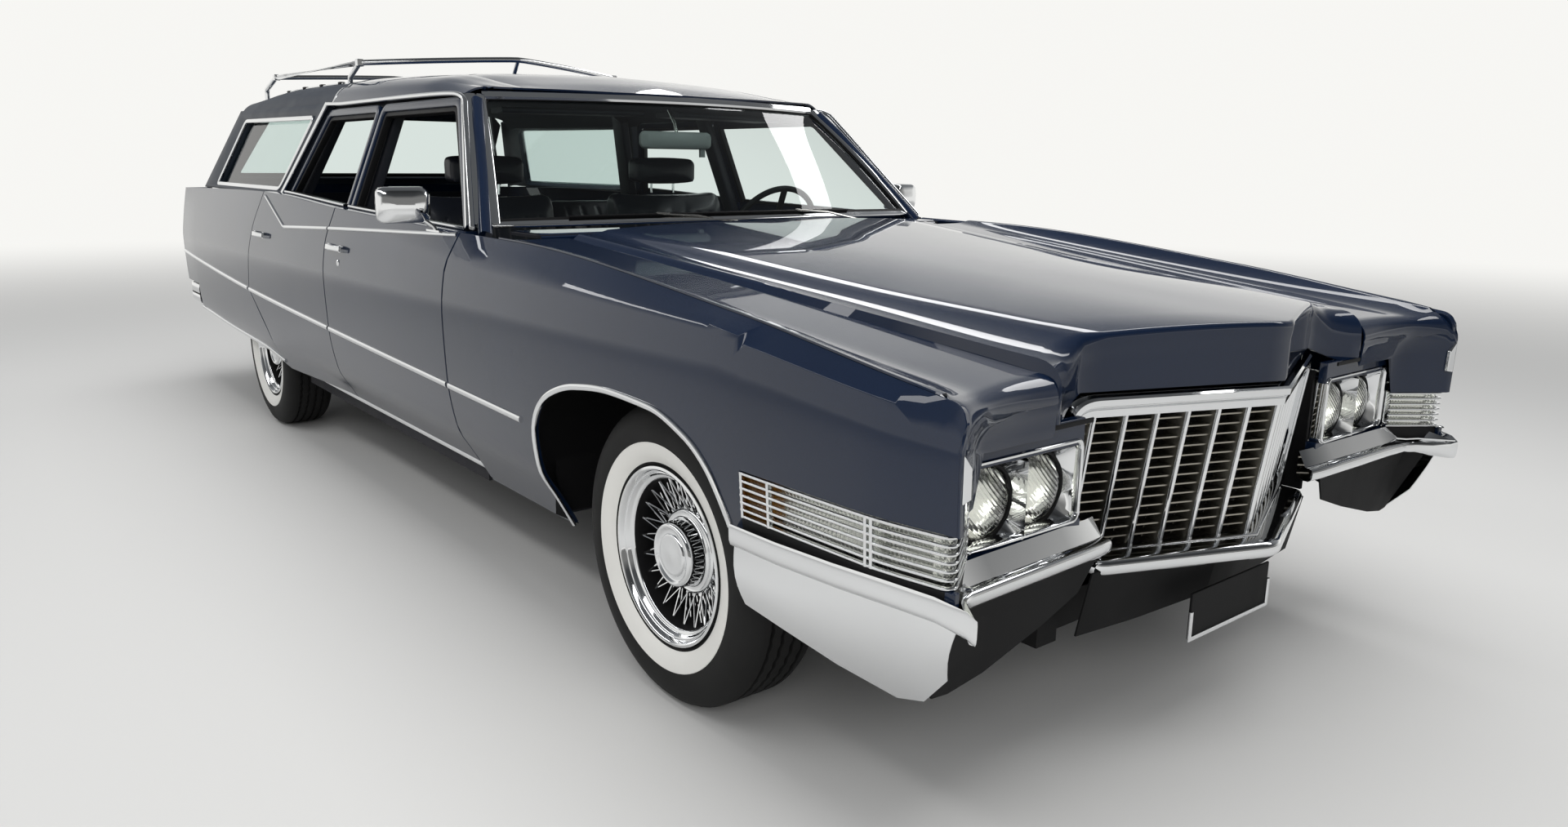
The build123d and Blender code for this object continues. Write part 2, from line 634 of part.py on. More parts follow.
# Tailgate: leaning frame over a lower panel
gate_side = [(gate_head_x, gate_head_z), (gate_belt_x, gate_belt_z), (gate_foot_x, gate_foot_z),
             (gate_foot_x + gate_thickness, gate_foot_z), (gate_belt_x + gate_thickness * 0.8, gate_belt_z - 28),
             (gate_head_x, gate_head_z - 88)]
gate_front_view = [(-gate_half_foot, 600), (-gate_half_foot, gate_belt_z), (-gate_half_head, 1520),
                   (gate_half_head, 1520), (gate_half_foot, gate_belt_z), (gate_half_foot, 600)]
gate_window = [(-gate_half_foot + 60, 1100), (-gate_half_head + 46, 1450), (gate_half_head - 46, 1450),
               (gate_half_foot - 60, 1100)]
gate = xz_prism(gate_side, -900, 900) & yz_prism(gate_front_view, bumper_rear_x - 50, gate_head_x + 140)
gate_bore = yz_prism(gate_window, bumper_rear_x - 50, gate_head_x + 140)
save("tailgate", fuse(gate - gate_bore, *hinge_barrels(330, gate_head_x - 6)))
gate_lean = (gate_head_x - gate_belt_x) / (gate_head_z - gate_belt_z)
pane_side = [(gate_belt_x + (z - gate_belt_z) * gate_lean + 24, z) for z in (1096, 1456)]
pane_side += [(x + 6, z) for x, z in pane_side[::-1]]
pane_view = [(y * 0.998, z) for y, z in gate_window]
save("tailgate_glass", xz_prism(pane_side, -900, 900) & yz_prism(pane_view, bumper_rear_x - 50, gate_head_x + 140))

# Floor pan: floor, sills, tunnel, cargo floor, firewall and cowl in one pressing
seat_step_x = -780
cowl_x = 1125
cowl_shelf_z = 970
pan_outline = [(1180, floor_z), (1180, cowl_shelf_z), (cowl_x, cowl_shelf_z), (cowl_x, 1008), (960, 1008), (960, 1000),
               (cowl_x - 12, 1000), (cowl_x - 12, cowl_shelf_z - 8), (hood_rear_x, cowl_shelf_z - 8),
               (hood_rear_x, floor_top_z), (seat_step_x, floor_top_z), (seat_step_x, cargo_z), (cargo_rear_x, cargo_z),
               (cargo_rear_x, cargo_z - floor_thickness), (seat_step_x - 15, cargo_z - floor_thickness),
               (seat_step_x - 15, floor_z)]
pan = xz_prism(pan_outline, -house_wall_y, house_wall_y)
cowl_wing = block(960, cowl_x, house_wall_y - 5, 800, 1000, 1008)
sill = xy_prism([(1330, 720), (1330, 838), (905, 838), (905, 880), (-950, 880), (-950, 720)], sill_bottom_z,
                door_bottom_z - shut_gap)
side_floor = block(seat_step_x, 1180, house_wall_y - 5, 800, floor_z, floor_top_z)
house_wall = block(cargo_rear_x, seat_step_x, house_wall_y - 12, house_wall_y, cargo_z - floor_thickness, house_top_z)
house_shelf = block(cargo_rear_x, -1000, house_wall_y - 6, 856, house_top_z - 12, house_top_z)
rear_sill = block(gate_foot_x, gate_foot_x + 116, -790, 790, 552, gate_foot_z - 8)
gate_seal = block(gate_foot_x + 64, gate_foot_x + 84, -780, 780, 600, gate_foot_z + 20) - Pos(seal_gap, 0, 0) * gate
tunnel = block(seat_step_x, hood_rear_x, -110, 110, floor_top_z, 400)
tunnel_bore = block(seat_step_x - 20, 1185, -98, 98, floor_z - 1, 388)
load_floor = block(cargo_rear_x + 20, -900, -house_wall_y + 20, house_wall_y - 20, cargo_z, cargo_z + load_floor_rise)
side_parts = symmetric(fuse(sill, side_floor, house_wall, house_shelf))
pan = fuse(pan, side_parts, symmetric(cowl_wing), tunnel, rear_sill, gate_seal, load_floor) - tunnel_bore
save("floor_pan", pan)

# Chassis frame. Columns: x, rail y, rail z
rail_table = [(rail_front_x, 440, 300), (1500, 440, 300), (1180, 600, 235), (-850, 600, 235), (-1130, 560, 470),
              (bumper_rear_x + 1202, 560, 470), (bumper_rear_x + 952, 560, 330), (bumper_rear_x + 162, 560, 330)]
rail_half_width = 32
rail_half_height = 50
rail_rings = []
for x, y, z in rail_table:
    rail_rings.append(yz_ring(x, [
        (y - rail_half_width, z - rail_half_height), (y + rail_half_width, z - rail_half_height),
        (y + rail_half_width, z + rail_half_height), (y - rail_half_width, z + rail_half_height)]))
# Columns: rear x, front x, half width, low z, high z
cross_table = [(apron_front_x, apron_front_x + 70, 420, 262, 338), (1560, 1700, 420, 262, 330), (200, 280, 580, 195, 262),
               (bumper_rear_x + 1012, bumper_rear_x + 1072, 540, 360, 420),
               (bumper_rear_x + 202, bumper_rear_x + 262, 540, 290, 350)]
cross_members = [block(x0, x1, -half, half, z0, z1) for x0, x1, half, z0, z1 in cross_table]
save("chassis_frame", fuse(symmetric(hull(rail_rings)), *cross_members))

# Engine, with the radiator support in front of it
radiator_x = half_length - 452
save("engine_block", block(1250, radiator_x - 200, -330, 330, 330, 840))
hood_rest = Pos(radiator_x, 400, 850) * Rot(90, 0, 0) * turned([(-50, 16), (50, 16)], 12)
side_plate = block(radiator_x + 20, lamp_wall_x - 30, half_grille + 7, bezel_y[0], 430, 730)
radiator_support = block(radiator_x - 30, radiator_x + 30, -520, 520, 350, 810) + symmetric(side_plate + hood_rest)
save("radiator_support", radiator_support - Pos(0, 0, -seal_gap) * nodes["hood"])

# Rear axle with differential and propeller shaft
axle_place = Pos(rear_axle_x, 0, tyre_radius)
axle_end_y = wheel_plane_y + spindle_reach
axle_tube = turned([(100 - wheel_plane_y, 42), (wheel_plane_y - 100, 42)], hub_sides)
axle_ends = Rot(90, 0, 0) * Cylinder(spindle_radius, 2 * axle_end_y)
differential = turned([(-125, 44), (-100, 88), (-40, 126), (40, 126), (100, 88), (125, 44)], hub_sides)
shaft = xz_prism([(rear_axle_x + 100, tyre_radius - 28), (rear_axle_x + 100, tyre_radius + 28), (-800, 346), (1250, 356),
                  (1250, 300), (-800, 290)], -28, 28)
save("rear_axle", fuse(axle_place * fuse(axle_tube, axle_ends, differential), shaft))

# Suspension: front arms and rear links
arm_z = (232, 262)
arm = xy_prism([(front_axle_x - 160, 472), (front_axle_x + 160, 472), (front_axle_x + 30, kingpin_y + 20),
                (front_axle_x - 30, kingpin_y + 20)], *arm_z)
spring = block(rear_axle_x - 45, rear_axle_x + 45, 532, 588, tyre_radius + 42 + seal_gap, 420)
save("suspension", Compound(children=[arm, mirror(arm, about=Plane.XZ), spring, mirror(spring, about=Plane.XZ)]))

# Steering knuckles: upright, spindle
knuckle_post = block(front_axle_x - 40, front_axle_x + 40, kingpin_y - 30, kingpin_y + 25, arm_z[1] + seal_gap, 450)
spindle_place = Pos(front_axle_x, (kingpin_y + axle_end_y) / 2, tyre_radius)
save_pair("steering_knuckle", knuckle_post + spindle_place * Rot(90, 0, 0) * Cylinder(spindle_radius, axle_end_y - kingpin_y))

# Tyre
w = tyre_width / 2
tyre_outer = [(-w, tyre_radius - 70), (-w + 14, tyre_radius - 16), (-w + 34, tyre_radius), (w - 34, tyre_radius),
              (w - 14, tyre_radius - 16), (w, tyre_radius - 70)]
tyre_bore = [(-w - 1, rim_radius + 38), (-w + 26, rim_radius), (w - 26, rim_radius), (w + 1, rim_radius + 38)]
tyre = turned(tyre_outer, tyre_sides) - turned(tyre_bore, tyre_sides)

# Wire wheel: rim with a closed dish, domed hub and crossing spokes
rim = turned([(-w + 22, rim_radius - seal_gap), (w - 20, rim_radius - seal_gap), (w - 12, rim_radius - 8)], tyre_sides)
front_recess = turned([(-12, dish_radius), (w - 26, rim_radius - 24), (w - 11, rim_radius - 16)], tyre_sides)
back_recess = turned([(-w + 21, dish_radius), (-28, dish_radius)], tyre_sides)
hub = turned([(-20, 85), (4, 80), (47, 66), (70, 55), (85, 38)], hub_sides)
spokes = []
for i in range(spoke_count):
    lean, y = ((-1, 25), (1, 42))[i % 2]
    start = 2 * pi * (i + 0.5) / spoke_count
    end = start + lean * radians(22)
    ends = [(70 * cos(start), 70 * sin(start)), (184 * cos(end), 184 * sin(end))]
    along_x, along_z = ends[1][0] - ends[0][0], ends[1][1] - ends[0][1]
    size = (along_x ** 2 + along_z ** 2) ** 0.5
    side_x, side_z = -along_z / size * spoke_size / 2, along_x / size * spoke_size / 2
    outline = [(x + side_x, z + side_z) for x, z in ends] + [(x - side_x, z - side_z) for x, z in ends[::-1]]
    spokes.append(xz_prism(outline, y - spoke_size / 2, y + spoke_size / 2))
wheel_bore = Pos(0, spindle_reach - 100, 0) * Rot(90, 0, 0) * Cylinder(spindle_radius + seal_gap, 200.6)
wheel = fuse(rim - front_recess - back_recess, hub, *spokes) - wheel_bore
for name, x in (("front", front_axle_x), ("rear", rear_axle_x)):
    place = Pos(x, wheel_plane_y, tyre_radius)
    save_pair(name + "_tyre", place * tyre)
    save_pair(name + "_wheel", place * wheel)

# Inside
dashboard = xz_prism([(1165, 700), (1165, 940), (980, 985), (860, 960), (850, 800), (900, 700)], -790, 790)
save("dashboard", dashboard)
rim_place = Pos(645, 400, 940) * Rot(0, -65, 0) * Rot(90, 0, 0)
rim_outer = turned([(-12, 197), (-5, 207), (5, 207), (12, 197)], tyre_sides)
rim_ring = rim_outer - turned([(-13, 194), (-5, 184), (5, 184), (13, 194)], tyre_sides)
column = turned([(-330, 28), (-14, 28), (0, 42)], hub_sides)
steering_wheel = rim_place * fuse(rim_ring, block(-195, 195, -7, 7, -15, 15), column)
save("steering_wheel", steering_wheel - dashboard)
tunnel_room = block(seat_step_x, 600, -114, 114, floor_z, 404)
seat_side = [(520, floor_top_z), (520, 620), (60, 560), (-60, 1080), (-170, 1080), (-150, 500), (-60, floor_top_z)]
head_rest = hull([xy_ring(1076, [(-80, 300), (-150, 300), (-150, 500), (-80, 500)]),
                  xy_ring(1120, [(-68, 245), (-162, 245), (-162, 555), (-68, 555)]),
                  xy_ring(1205, [(-74, 250), (-166, 250), (-166, 550), (-74, 550)]),
                  xy_ring(1230, [(-95, 275), (-150, 275), (-150, 525), (-95, 525)])])
save("front_seat", xz_prism(seat_side, -700, 700) - tunnel_room + symmetric(head_rest))
rear_seat_side = [(-290, floor_top_z), (-290, 620), (-660, 570), (-760, 1060), (-880, 1060), (-860, cargo_z),
                  (-776, cargo_z), (-776, floor_top_z)]
save("rear_seat", xz_prism(rear_seat_side, -690, 690) - tunnel_room)

# Roof rack: two side rails on leaning posts, with arched cross rails
rail_half = rack_rail / 2
side_rails = xz_prism([(rack_rear_x - 14, rack_rail_z - 8), (rack_rear_x + 6, rack_rail_z + 20),
                       (rack_front_x + 4, rack_rail_z + 12), (rack_front_x + 26, rack_rail_z - 16)],
                      rack_y - rail_half, rack_y + rail_half)
rear_foot = xz_prism([(rack_rear_x - 218, 1470), (rack_rear_x - 218, 1556), (rack_rear_x + 6, rack_rail_z + 20),
                      (rack_rear_x - 6, rack_rail_z - 8), (rack_rear_x - 180, 1546), (rack_rear_x - 180, 1470)],
                     rack_y - 12, rack_y + 12)
front_foot = xz_prism([(rack_front_x - 166, 1490), (rack_front_x - 166, 1548), (rack_front_x, rack_rail_z + 12),
                       (rack_front_x + 20, rack_rail_z - 14), (rack_front_x - 128, 1536), (rack_front_x - 128, 1490)],
                      rack_y - 12, rack_y + 12)


def arched_rail(x, end_z, rise, steps=8):
    """Cross rail of the rack that rises towards the middle of the car."""
    upper = []
    for i in range(steps + 1):
        y = rack_y * (2 * i / steps - 1)
        upper.append((y, end_z + rise * (1 - (y / rack_y) ** 2)))
    return yz_prism(upper + [(y, z - 24) for y, z in upper[::-1]], x - 11, x + 11)


prop = block(rack_front_x - 10, rack_front_x + 10, 100, 120, 1530, rack_rail_z + rack_rise - 12)
rack = fuse(symmetric(fuse(side_rails, rear_foot, front_foot, prop)), arched_rail(rack_front_x, rack_rail_z + 10, rack_rise),
            arched_rail(rack_rear_x + 12, rack_rail_z + 16, 20))
save("roof_rack", rack - roof)

# Tank and exhaust
save("fuel_tank", block(bumper_rear_x + 302, bumper_rear_x + 842, -480, 480, 360, cargo_z - floor_thickness))
exhaust_end_x = bumper_rear_x + 302
pipe = Rot(0, 0, -90) * turned([(exhaust_end_x, 28), (1300, 28)], 12)
save("exhaust", Pos(0, 300, 195 - 28 - seal_gap) * pipe)

os.makedirs("parts", exist_ok=True)
for name, solid in nodes.items():
    export_step(solid, f"parts/{name}.step")
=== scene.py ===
import logging
import math
from collections.abc import Callable, Sequence
from dataclasses import dataclass, field
from enum import Enum

import bmesh
import bpy
from mathutils import Matrix, Vector


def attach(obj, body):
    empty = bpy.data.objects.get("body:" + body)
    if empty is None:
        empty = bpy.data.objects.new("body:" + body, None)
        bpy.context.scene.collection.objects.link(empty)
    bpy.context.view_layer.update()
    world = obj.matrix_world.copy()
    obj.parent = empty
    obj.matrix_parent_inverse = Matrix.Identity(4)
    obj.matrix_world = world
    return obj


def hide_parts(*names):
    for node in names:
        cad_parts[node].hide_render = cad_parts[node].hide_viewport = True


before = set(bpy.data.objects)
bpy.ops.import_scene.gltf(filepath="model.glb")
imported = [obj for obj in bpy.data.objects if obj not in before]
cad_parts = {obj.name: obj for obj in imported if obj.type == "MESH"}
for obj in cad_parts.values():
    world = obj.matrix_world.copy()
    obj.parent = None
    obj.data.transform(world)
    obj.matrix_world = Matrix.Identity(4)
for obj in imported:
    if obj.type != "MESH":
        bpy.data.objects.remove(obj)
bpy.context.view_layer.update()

log = logging.getLogger("station_wagon")

Point = tuple[float, float, float]
Flat = tuple[float, float]
SIDES: dict[str, int] = {"left": 1, "right": -1}
WELD = 0.00002
BEVELLED_SHARP = 88.0
SCREEN_LEAN = (0.61, 0.0, 0.78)


class Smooth:
    """Smooth line through points, with no overshoot between them."""

    def __init__(self, points: Sequence[Flat]) -> None:
        """Prepare the slopes.

        Args:
            points: Pairs of place and value, in either order along the place.
        """
        self.points = sorted(points)
        steps = [b[0] - a[0] for a, b in zip(self.points, self.points[1:])]
        rises = [(b[1] - a[1]) / h for a, b, h in zip(self.points, self.points[1:], steps)]
        self.slopes = [rises[0]]
        for before, after in zip(rises, rises[1:]):
            self.slopes.append(2 * before * after / (before + after) if before * after > 0 else 0.0)
        self.slopes.append(rises[-1])

    def __call__(self, place: float) -> float:
        """Value at one place.

        Args:
            place: Where to read the line.

        Returns:
            The value there, going on straight past either end.
        """
        first, last = self.points[0], self.points[-1]
        if place <= first[0]:
            return first[1] + (place - first[0]) * self.slopes[0]
        if place >= last[0]:
            return last[1] + (place - last[0]) * self.slopes[-1]
        for index, (a, b) in enumerate(zip(self.points, self.points[1:])):
            if place <= b[0]:
                break
        step = b[0] - a[0]
        t = (place - a[0]) / step
        hold, lift = 1 + 2 * t, t * (1 - t)
        return (a[1] * hold * (1 - t) ** 2 + b[1] * (3 - 2 * t) * t * t
                + step * lift * (self.slopes[index] * (1 - t) - self.slopes[index + 1] * t))


def spread(first: float, last: float, count: int) -> list[float]:
    """Evenly spaced values.

    Args:
        first: First value.
        last: Last value.
        count: Number of steps between them.

    Returns:
        The values, one more than the steps.
    """
    return [first + (last - first) * i / count for i in range(count + 1)]


def along(points: Sequence[Flat], counts: Sequence[int]) -> list[Flat]:
    """Points along a broken line.

    Args:
        points: Corners of the line.
        counts: Steps on each of its runs.

    Returns:
        The corners with the steps between them.
    """
    result = [points[0]]
    for a, b, count in zip(points, points[1:], counts):
        for i in range(1, count + 1):
            result.append((a[0] + (b[0] - a[0]) * i / count, a[1] + (b[1] - a[1]) * i / count))
    return result


def half_round(width: float, height: float) -> list[Flat]:
    """Section of a moulding that lies on a panel.

    Args:
        width: Width across the panel.
        height: Height over the panel.

    Returns:
        Pairs of place across and height.
    """
    sink = 0.002
    crown = [(-width / 2 * math.cos(a), height * math.sin(a)) for a in spread(0, math.pi, 6)]
    return [(-width / 2, -sink), *crown, (width / 2, -sink)]


def ring_section(width: float, height: float, corner: float, steps: int = 3) -> list[Flat]:
    """Rounded rectangle round the origin.

    Args:
        width: Size along the first direction.
        height: Size along the second.
        corner: Radius of its corners.
        steps: Steps in each corner.

    Returns:
        The points in order.
    """
    points = []
    for turn, (sx, sy) in enumerate(((1, 1), (-1, 1), (-1, -1), (1, -1))):
        for i in range(steps + 1):
            angle = math.pi / 2 * (turn + i / steps)
            points.append((sx * (width / 2 - corner) + corner * math.cos(angle),
                           sy * (height / 2 - corner) + corner * math.sin(angle)))
    return points


class Shape:
    """Points and faces of one piece, gathered before its mesh is made."""

    def __init__(self) -> None:
        """Start with nothing."""
        self.points: list[Vector] = []
        self.faces: list[tuple[int, ...]] = []
        self.tags: list[int] = []

    def face(self, corners: Sequence[int], tag: int = 0) -> None:
        """Add one face by the numbers of its points."""
        self.faces.append(tuple(corners))
        self.tags.append(tag)

    def grid(self, rows: Sequence[Sequence[Point]], around: bool = False, ends: bool = False,
             tag: int = 0) -> "Shape":
        """Add a sheet of four-sided faces.

        Args:
            rows: Rows of points, all as long as each other.
            around: Whether each row closes on itself.
            ends: Whether the first and last rows are closed with a face.
            tag: Number of the finish among those of the piece.

        Returns:
            This shape.
        """
        start, width = len(self.points), len(rows[0])
        for row in rows:
            self.points.extend(Vector(p) for p in row)
        for r in range(len(rows) - 1):
            for c in range(width if around else width - 1):
                d = (c + 1) % width
                self.face((start + r * width + c, start + r * width + d,
                           start + (r + 1) * width + d, start + (r + 1) * width + c), tag)
        if ends:
            self.face(range(start, start + width), tag)
            self.face(range(start + (len(rows) - 1) * width, start + len(rows) * width), tag)
        return self

    def sweep(self, path: Sequence[Point], section: Sequence[Flat], outward: Sequence[Point] | Point,
              closed: bool = False) -> "Shape":
        """Carry a section along a path.

        Args:
            path: Points of the path.
            section: Pairs of place across and place outward.
            outward: One outward direction, or one for each point.
            closed: Whether the path closes on itself.

        Returns:
            This shape.
        """
        line = [Vector(p) for p in path]
        many = isinstance(outward[0], (tuple, list, Vector))
        rows = []
        for i, here in enumerate(line):
            before = line[i - 1] if i or closed else here
            after = line[(i + 1) % len(line)] if i + 1 < len(line) or closed else here
            into, out_of = here - before, after - here
            into = into.normalized() if into.length > 1e-9 else out_of.normalized()
            out_of = out_of.normalized() if out_of.length > 1e-9 else into
            run = (into + out_of).normalized()
            up = Vector(outward[i] if many else outward)
            across = run.cross(up).normalized()
            up = across.cross(run).normalized()
            widen = 1 / max(0.45, into.dot(run))
            turn = out_of - into
            stretch_across = 1 + (widen - 1) * abs(turn.normalized().dot(across)) if turn.length > 1e-6 else 1
            stretch_up = 1 + (widen - 1) * abs(turn.normalized().dot(up)) if turn.length > 1e-6 else 1
            rows.append([here + across * a * stretch_across + up * b * stretch_up for a, b in section])
        if closed:
            rows.append(rows[0])
        return self.grid(rows, around=True, ends=not closed)

    def tube(self, path: Sequence[Point], radius: float, sides: int = 8) -> "Shape":
        """Add a round bar along a path.

        Args:
            path: Points of the path.
            radius: Radius of the bar.
            sides: Sides of its section.

        Returns:
            This shape.
        """
        section = [(radius * math.cos(2 * math.pi * i / sides), radius * math.sin(2 * math.pi * i / sides))
                   for i in range(sides)]
        line = [Vector(p) for p in path]
        run = line[1] - line[0]
        up = Vector((0, 0, 1)) if abs(run.normalized().z) < 0.9 else Vector((1, 0, 0))
        return self.sweep(path, section, tuple(up))

    def turn(self, profile: Sequence[Flat], centre: Point, axis: int = 1, steps: int = 48,
             tags: Sequence[int] | None = None) -> "Shape":
        """Turn a profile round an axis.

        Args:
            profile: Pairs of radius and place along the axis.
            centre: Point on the axis.
            axis: Number of the axis, 0 to 2.
            steps: Steps round.
            tags: Finish of each run of the profile, or nothing for the first.

        Returns:
            This shape.
        """
        others = [i for i in range(3) if i != axis]
        start = len(self.points)
        for radius, place in profile:
            for i in range(steps):
                angle = 2 * math.pi * i / steps
                p = [0.0, 0.0, 0.0]
                p[axis] = centre[axis] + place
                p[others[0]] = centre[others[0]] + radius * math.cos(angle)
                p[others[1]] = centre[others[1]] + radius * math.sin(angle)
                self.points.append(Vector(p))
        for r in range(len(profile) - 1):
            tag = tags[r] if tags else 0
            for c in range(steps):
                d = (c + 1) % steps
                self.face((start + r * steps + c, start + r * steps + d,
                           start + (r + 1) * steps + d, start + (r + 1) * steps + c), tag)
        return self

    def slab(self, outline: Sequence[Point], offset: Point) -> "Shape":
        """Add a flat plate from one outline, as thick as the offset."""
        move = Vector(offset)
        return self.grid([outline, [Vector(p) + move for p in outline]], around=True, ends=True)

    def block(self, low: Point, high: Point) -> "Shape":
        """Add a block between two corners, in either order."""
        (x0, x1), (y0, y1), (z0, z1) = (sorted(pair) for pair in zip(low, high))
        return self.slab([(x0, y0, z0), (x1, y0, z0), (x1, y1, z0), (x0, y1, z0)], (0, 0, z1 - z0))

    def shell(self, inner: Callable[[Vector, Vector], Vector], flip: float = 1.0) -> "Shape":
        """Give the sheet a thickness: a second sheet behind it and a rim between them.

        Args:
            inner: Gives the hidden point behind a point and its normal.
            flip: Sign of the normals.

        Returns:
            This shape, welded.
        """
        mesh = self.welded()
        mesh.normal_update()
        count = len(mesh.verts)
        mesh.verts.ensure_lookup_table()
        outer = [v.co.copy() for v in mesh.verts]
        behind = [inner(v.co, v.normal * flip) for v in mesh.verts]
        faces = [tuple(v.index for v in f.verts) for f in mesh.faces]
        tags = [f.material_index for f in mesh.faces]
        rims = [tuple(v.index for v in e.verts) for e in mesh.edges if len(e.link_faces) == 1]
        mesh.free()
        self.points, self.faces, self.tags = outer + behind, [], []
        for corners, tag in zip(faces, tags):
            self.face(corners, tag)
            self.face([c + count for c in reversed(corners)], tag)
        for a, b in rims:
            self.face((a, b, b + count, a + count), 0)
        return self

    def welded(self) -> bmesh.types.BMesh:
        """The shape as an editable mesh, with points in one place joined.

        Returns:
            The mesh, which the caller frees.
        """
        mesh = bmesh.new()
        verts = [mesh.verts.new(p) for p in self.points]
        for corners, tag in zip(self.faces, self.tags):
            try:
                mesh.faces.new([verts[c] for c in corners]).material_index = tag
            except ValueError:
                continue
        bmesh.ops.remove_doubles(mesh, verts=mesh.verts, dist=WELD)
        loose = [v for v in mesh.verts if not v.link_faces]
        bmesh.ops.delete(mesh, geom=loose, context="VERTS")
        bmesh.ops.recalc_face_normals(mesh, faces=mesh.faces)
        mesh.verts.index_update()
        mesh.faces.index_update()
        return mesh

    def moved(self, matrix: Matrix) -> "Shape":
        """The same shape at another place.

        Args:
            matrix: Where it goes.

        Returns:
            The moved copy.
        """
        other = Shape()
        other.points = [matrix @ p for p in self.points]
        other.faces, other.tags = list(self.faces), list(self.tags)
        return other

    def add(self, other: "Shape") -> "Shape":
        """Take in another shape.

        Args:
            other: The other shape.

        Returns:
            This shape.
        """
        start = len(self.points)
        self.points.extend(other.points)
        for corners, tag in zip(other.faces, other.tags):
            self.face([c + start for c in corners], tag)
        return self


class Grain(Enum):
    """Fine relief of a finish."""

    NONE = "none"
    LEATHER = "leather"
    CLOTH = "cloth"
    CAST = "cast"
    PRISM = "prism"


@dataclass(frozen=True)
class Finish:
    """One surface finish and the values of its shader."""

    name: str
    colour: Point
    roughness: float = 0.5
    metallic: float = 0.0
    coat: float = 0.0
    clear: float = 0.0
    refraction: float = 1.45
    grain: Grain = Grain.NONE
    grain_scale: float = 400.0
    grain_depth: float = 0.1
    smudge: float = 0.08
    shift: float = 0.15
    dust: float = 0.0
    flake: float = 0.0
    sheen: float = 0.5


PAINT = Finish("navy_paint", (0.0036, 0.0105, 0.03), 0.42, coat=1.0, sheen=0.08, flake=0.3, smudge=0.05,
               shift=0.2, dust=0.004)
VINYL = Finish("roof_covering", (0.02, 0.027, 0.04), 0.46, grain=Grain.LEATHER, grain_scale=700,
               grain_depth=0.1)
CHROME = Finish("chrome", (0.8, 0.81, 0.82), 0.05, 1.0, smudge=0.1, shift=0.06)
DULL_METAL = Finish("dull_bright_metal", (0.56, 0.55, 0.52), 0.22, 1.0, smudge=0.16, shift=0.12)
WINDOW = Finish("tinted_glass", (0.88, 0.93, 0.92), 0.0, clear=1.0, refraction=1.0, smudge=0.0, shift=0.0)
LENS = Finish("clear_lens", (0.92, 0.93, 0.9), 0.03, clear=1.0, grain=Grain.PRISM, grain_scale=1.0,
              grain_depth=0.5, smudge=0.0, shift=0.0)
AMBER = Finish("amber_lens", (0.46, 0.2, 0.02), 0.06, clear=0.75, grain=Grain.PRISM, grain_depth=0.4,
               smudge=0.0)
RED = Finish("red_lens", (0.5, 0.01, 0.008), 0.1, clear=0.55, grain=Grain.PRISM, grain_depth=0.4, smudge=0.0)
REFLECTOR = Finish("lamp_reflector", (0.86, 0.86, 0.84), 0.1, 1.0, smudge=0.05, shift=0.05)
TYRE = Finish("tyre_rubber", (0.008, 0.008, 0.008), 0.66, grain=Grain.CAST, grain_scale=900, grain_depth=0.08,
              shift=0.4, dust=0.006, sheen=0.3)
WHITEWALL = Finish("white_rubber", (0.78, 0.77, 0.73), 0.48, grain=Grain.CAST, grain_scale=900,
                   grain_depth=0.05, shift=0.1, dust=0.05)
BLACK_TRIM = Finish("black_seal", (0.005, 0.005, 0.0055), 0.5, grain=Grain.CAST, grain_scale=700,
                    grain_depth=0.08, shift=0.3, sheen=0.25)
SLATS = Finish("grille_slat_metal", (0.38, 0.36, 0.31), 0.3, 1.0, smudge=0.12, shift=0.2)
LEATHER = Finish("seat_leather", (0.012, 0.014, 0.02), 0.4, coat=0.1, grain=Grain.LEATHER, grain_scale=260,
                 grain_depth=0.25, shift=0.4)
SOFT_TRIM = Finish("padded_trim", (0.014, 0.016, 0.022), 0.52, grain=Grain.LEATHER, grain_scale=420,
                   grain_depth=0.2, shift=0.3)
CARPET = Finish("carpet", (0.014, 0.015, 0.02), 0.95, grain=Grain.CLOTH, grain_scale=900, grain_depth=0.5,
                shift=0.6, dust=0.08)
MIRROR_BACK = Finish("mirror_back", (0.16, 0.17, 0.165), 0.35, smudge=0.05)
HEADLINER = Finish("headliner", (0.05, 0.055, 0.062), 0.85, grain=Grain.CLOTH, grain_scale=700,
                   grain_depth=0.3)
FRAME_PAINT = Finish("frame_paint", (0.0055, 0.0055, 0.006), 0.6, grain=Grain.CAST, grain_scale=260,
                     grain_depth=0.2, shift=0.4, dust=0.006, sheen=0.2)
IRON = Finish("cast_iron", (0.1, 0.1, 0.1), 0.6, 0.7, grain=Grain.CAST, grain_scale=180, grain_depth=0.35,
              shift=0.5, dust=0.2)
PIPE_STEEL = Finish("pipe_steel", (0.2, 0.17, 0.15), 0.5, 0.9, grain=Grain.CAST, grain_scale=240,
                    grain_depth=0.2, shift=0.6, dust=0.15)


COAT_ROUGHNESS = 0.02
GRAIN_RELIEF = 0.001
SHIFT_SCALE = 2.2
FLAKE_SCALE = 2400
DUST_COLOUR = (0.3, 0.27, 0.23, 1)
Link = tuple[bpy.types.Node, str | int, bpy.types.Node, str | int]
Begun = tuple[bpy.types.NodeTree, bpy.types.Node, bpy.types.Node, bpy.types.Node]


def new_node(tree: bpy.types.NodeTree, kind: str, given: dict[str | int, object] | None = None,
             **values: object) -> bpy.types.Node:
    """Add one shader node.

    Args:
        tree: The tree that takes it.
        kind: Its type, without the words that all shader nodes begin with.
        given: Values of its own inputs, by name or number.
        values: Its properties.

    Returns:
        The node.
    """
    node = tree.nodes.new(f"ShaderNode{kind}")
    for name, value in values.items():
        setattr(node, name, value)
    for name, value in (given or {}).items():
        node.inputs[name].default_value = value
    return node


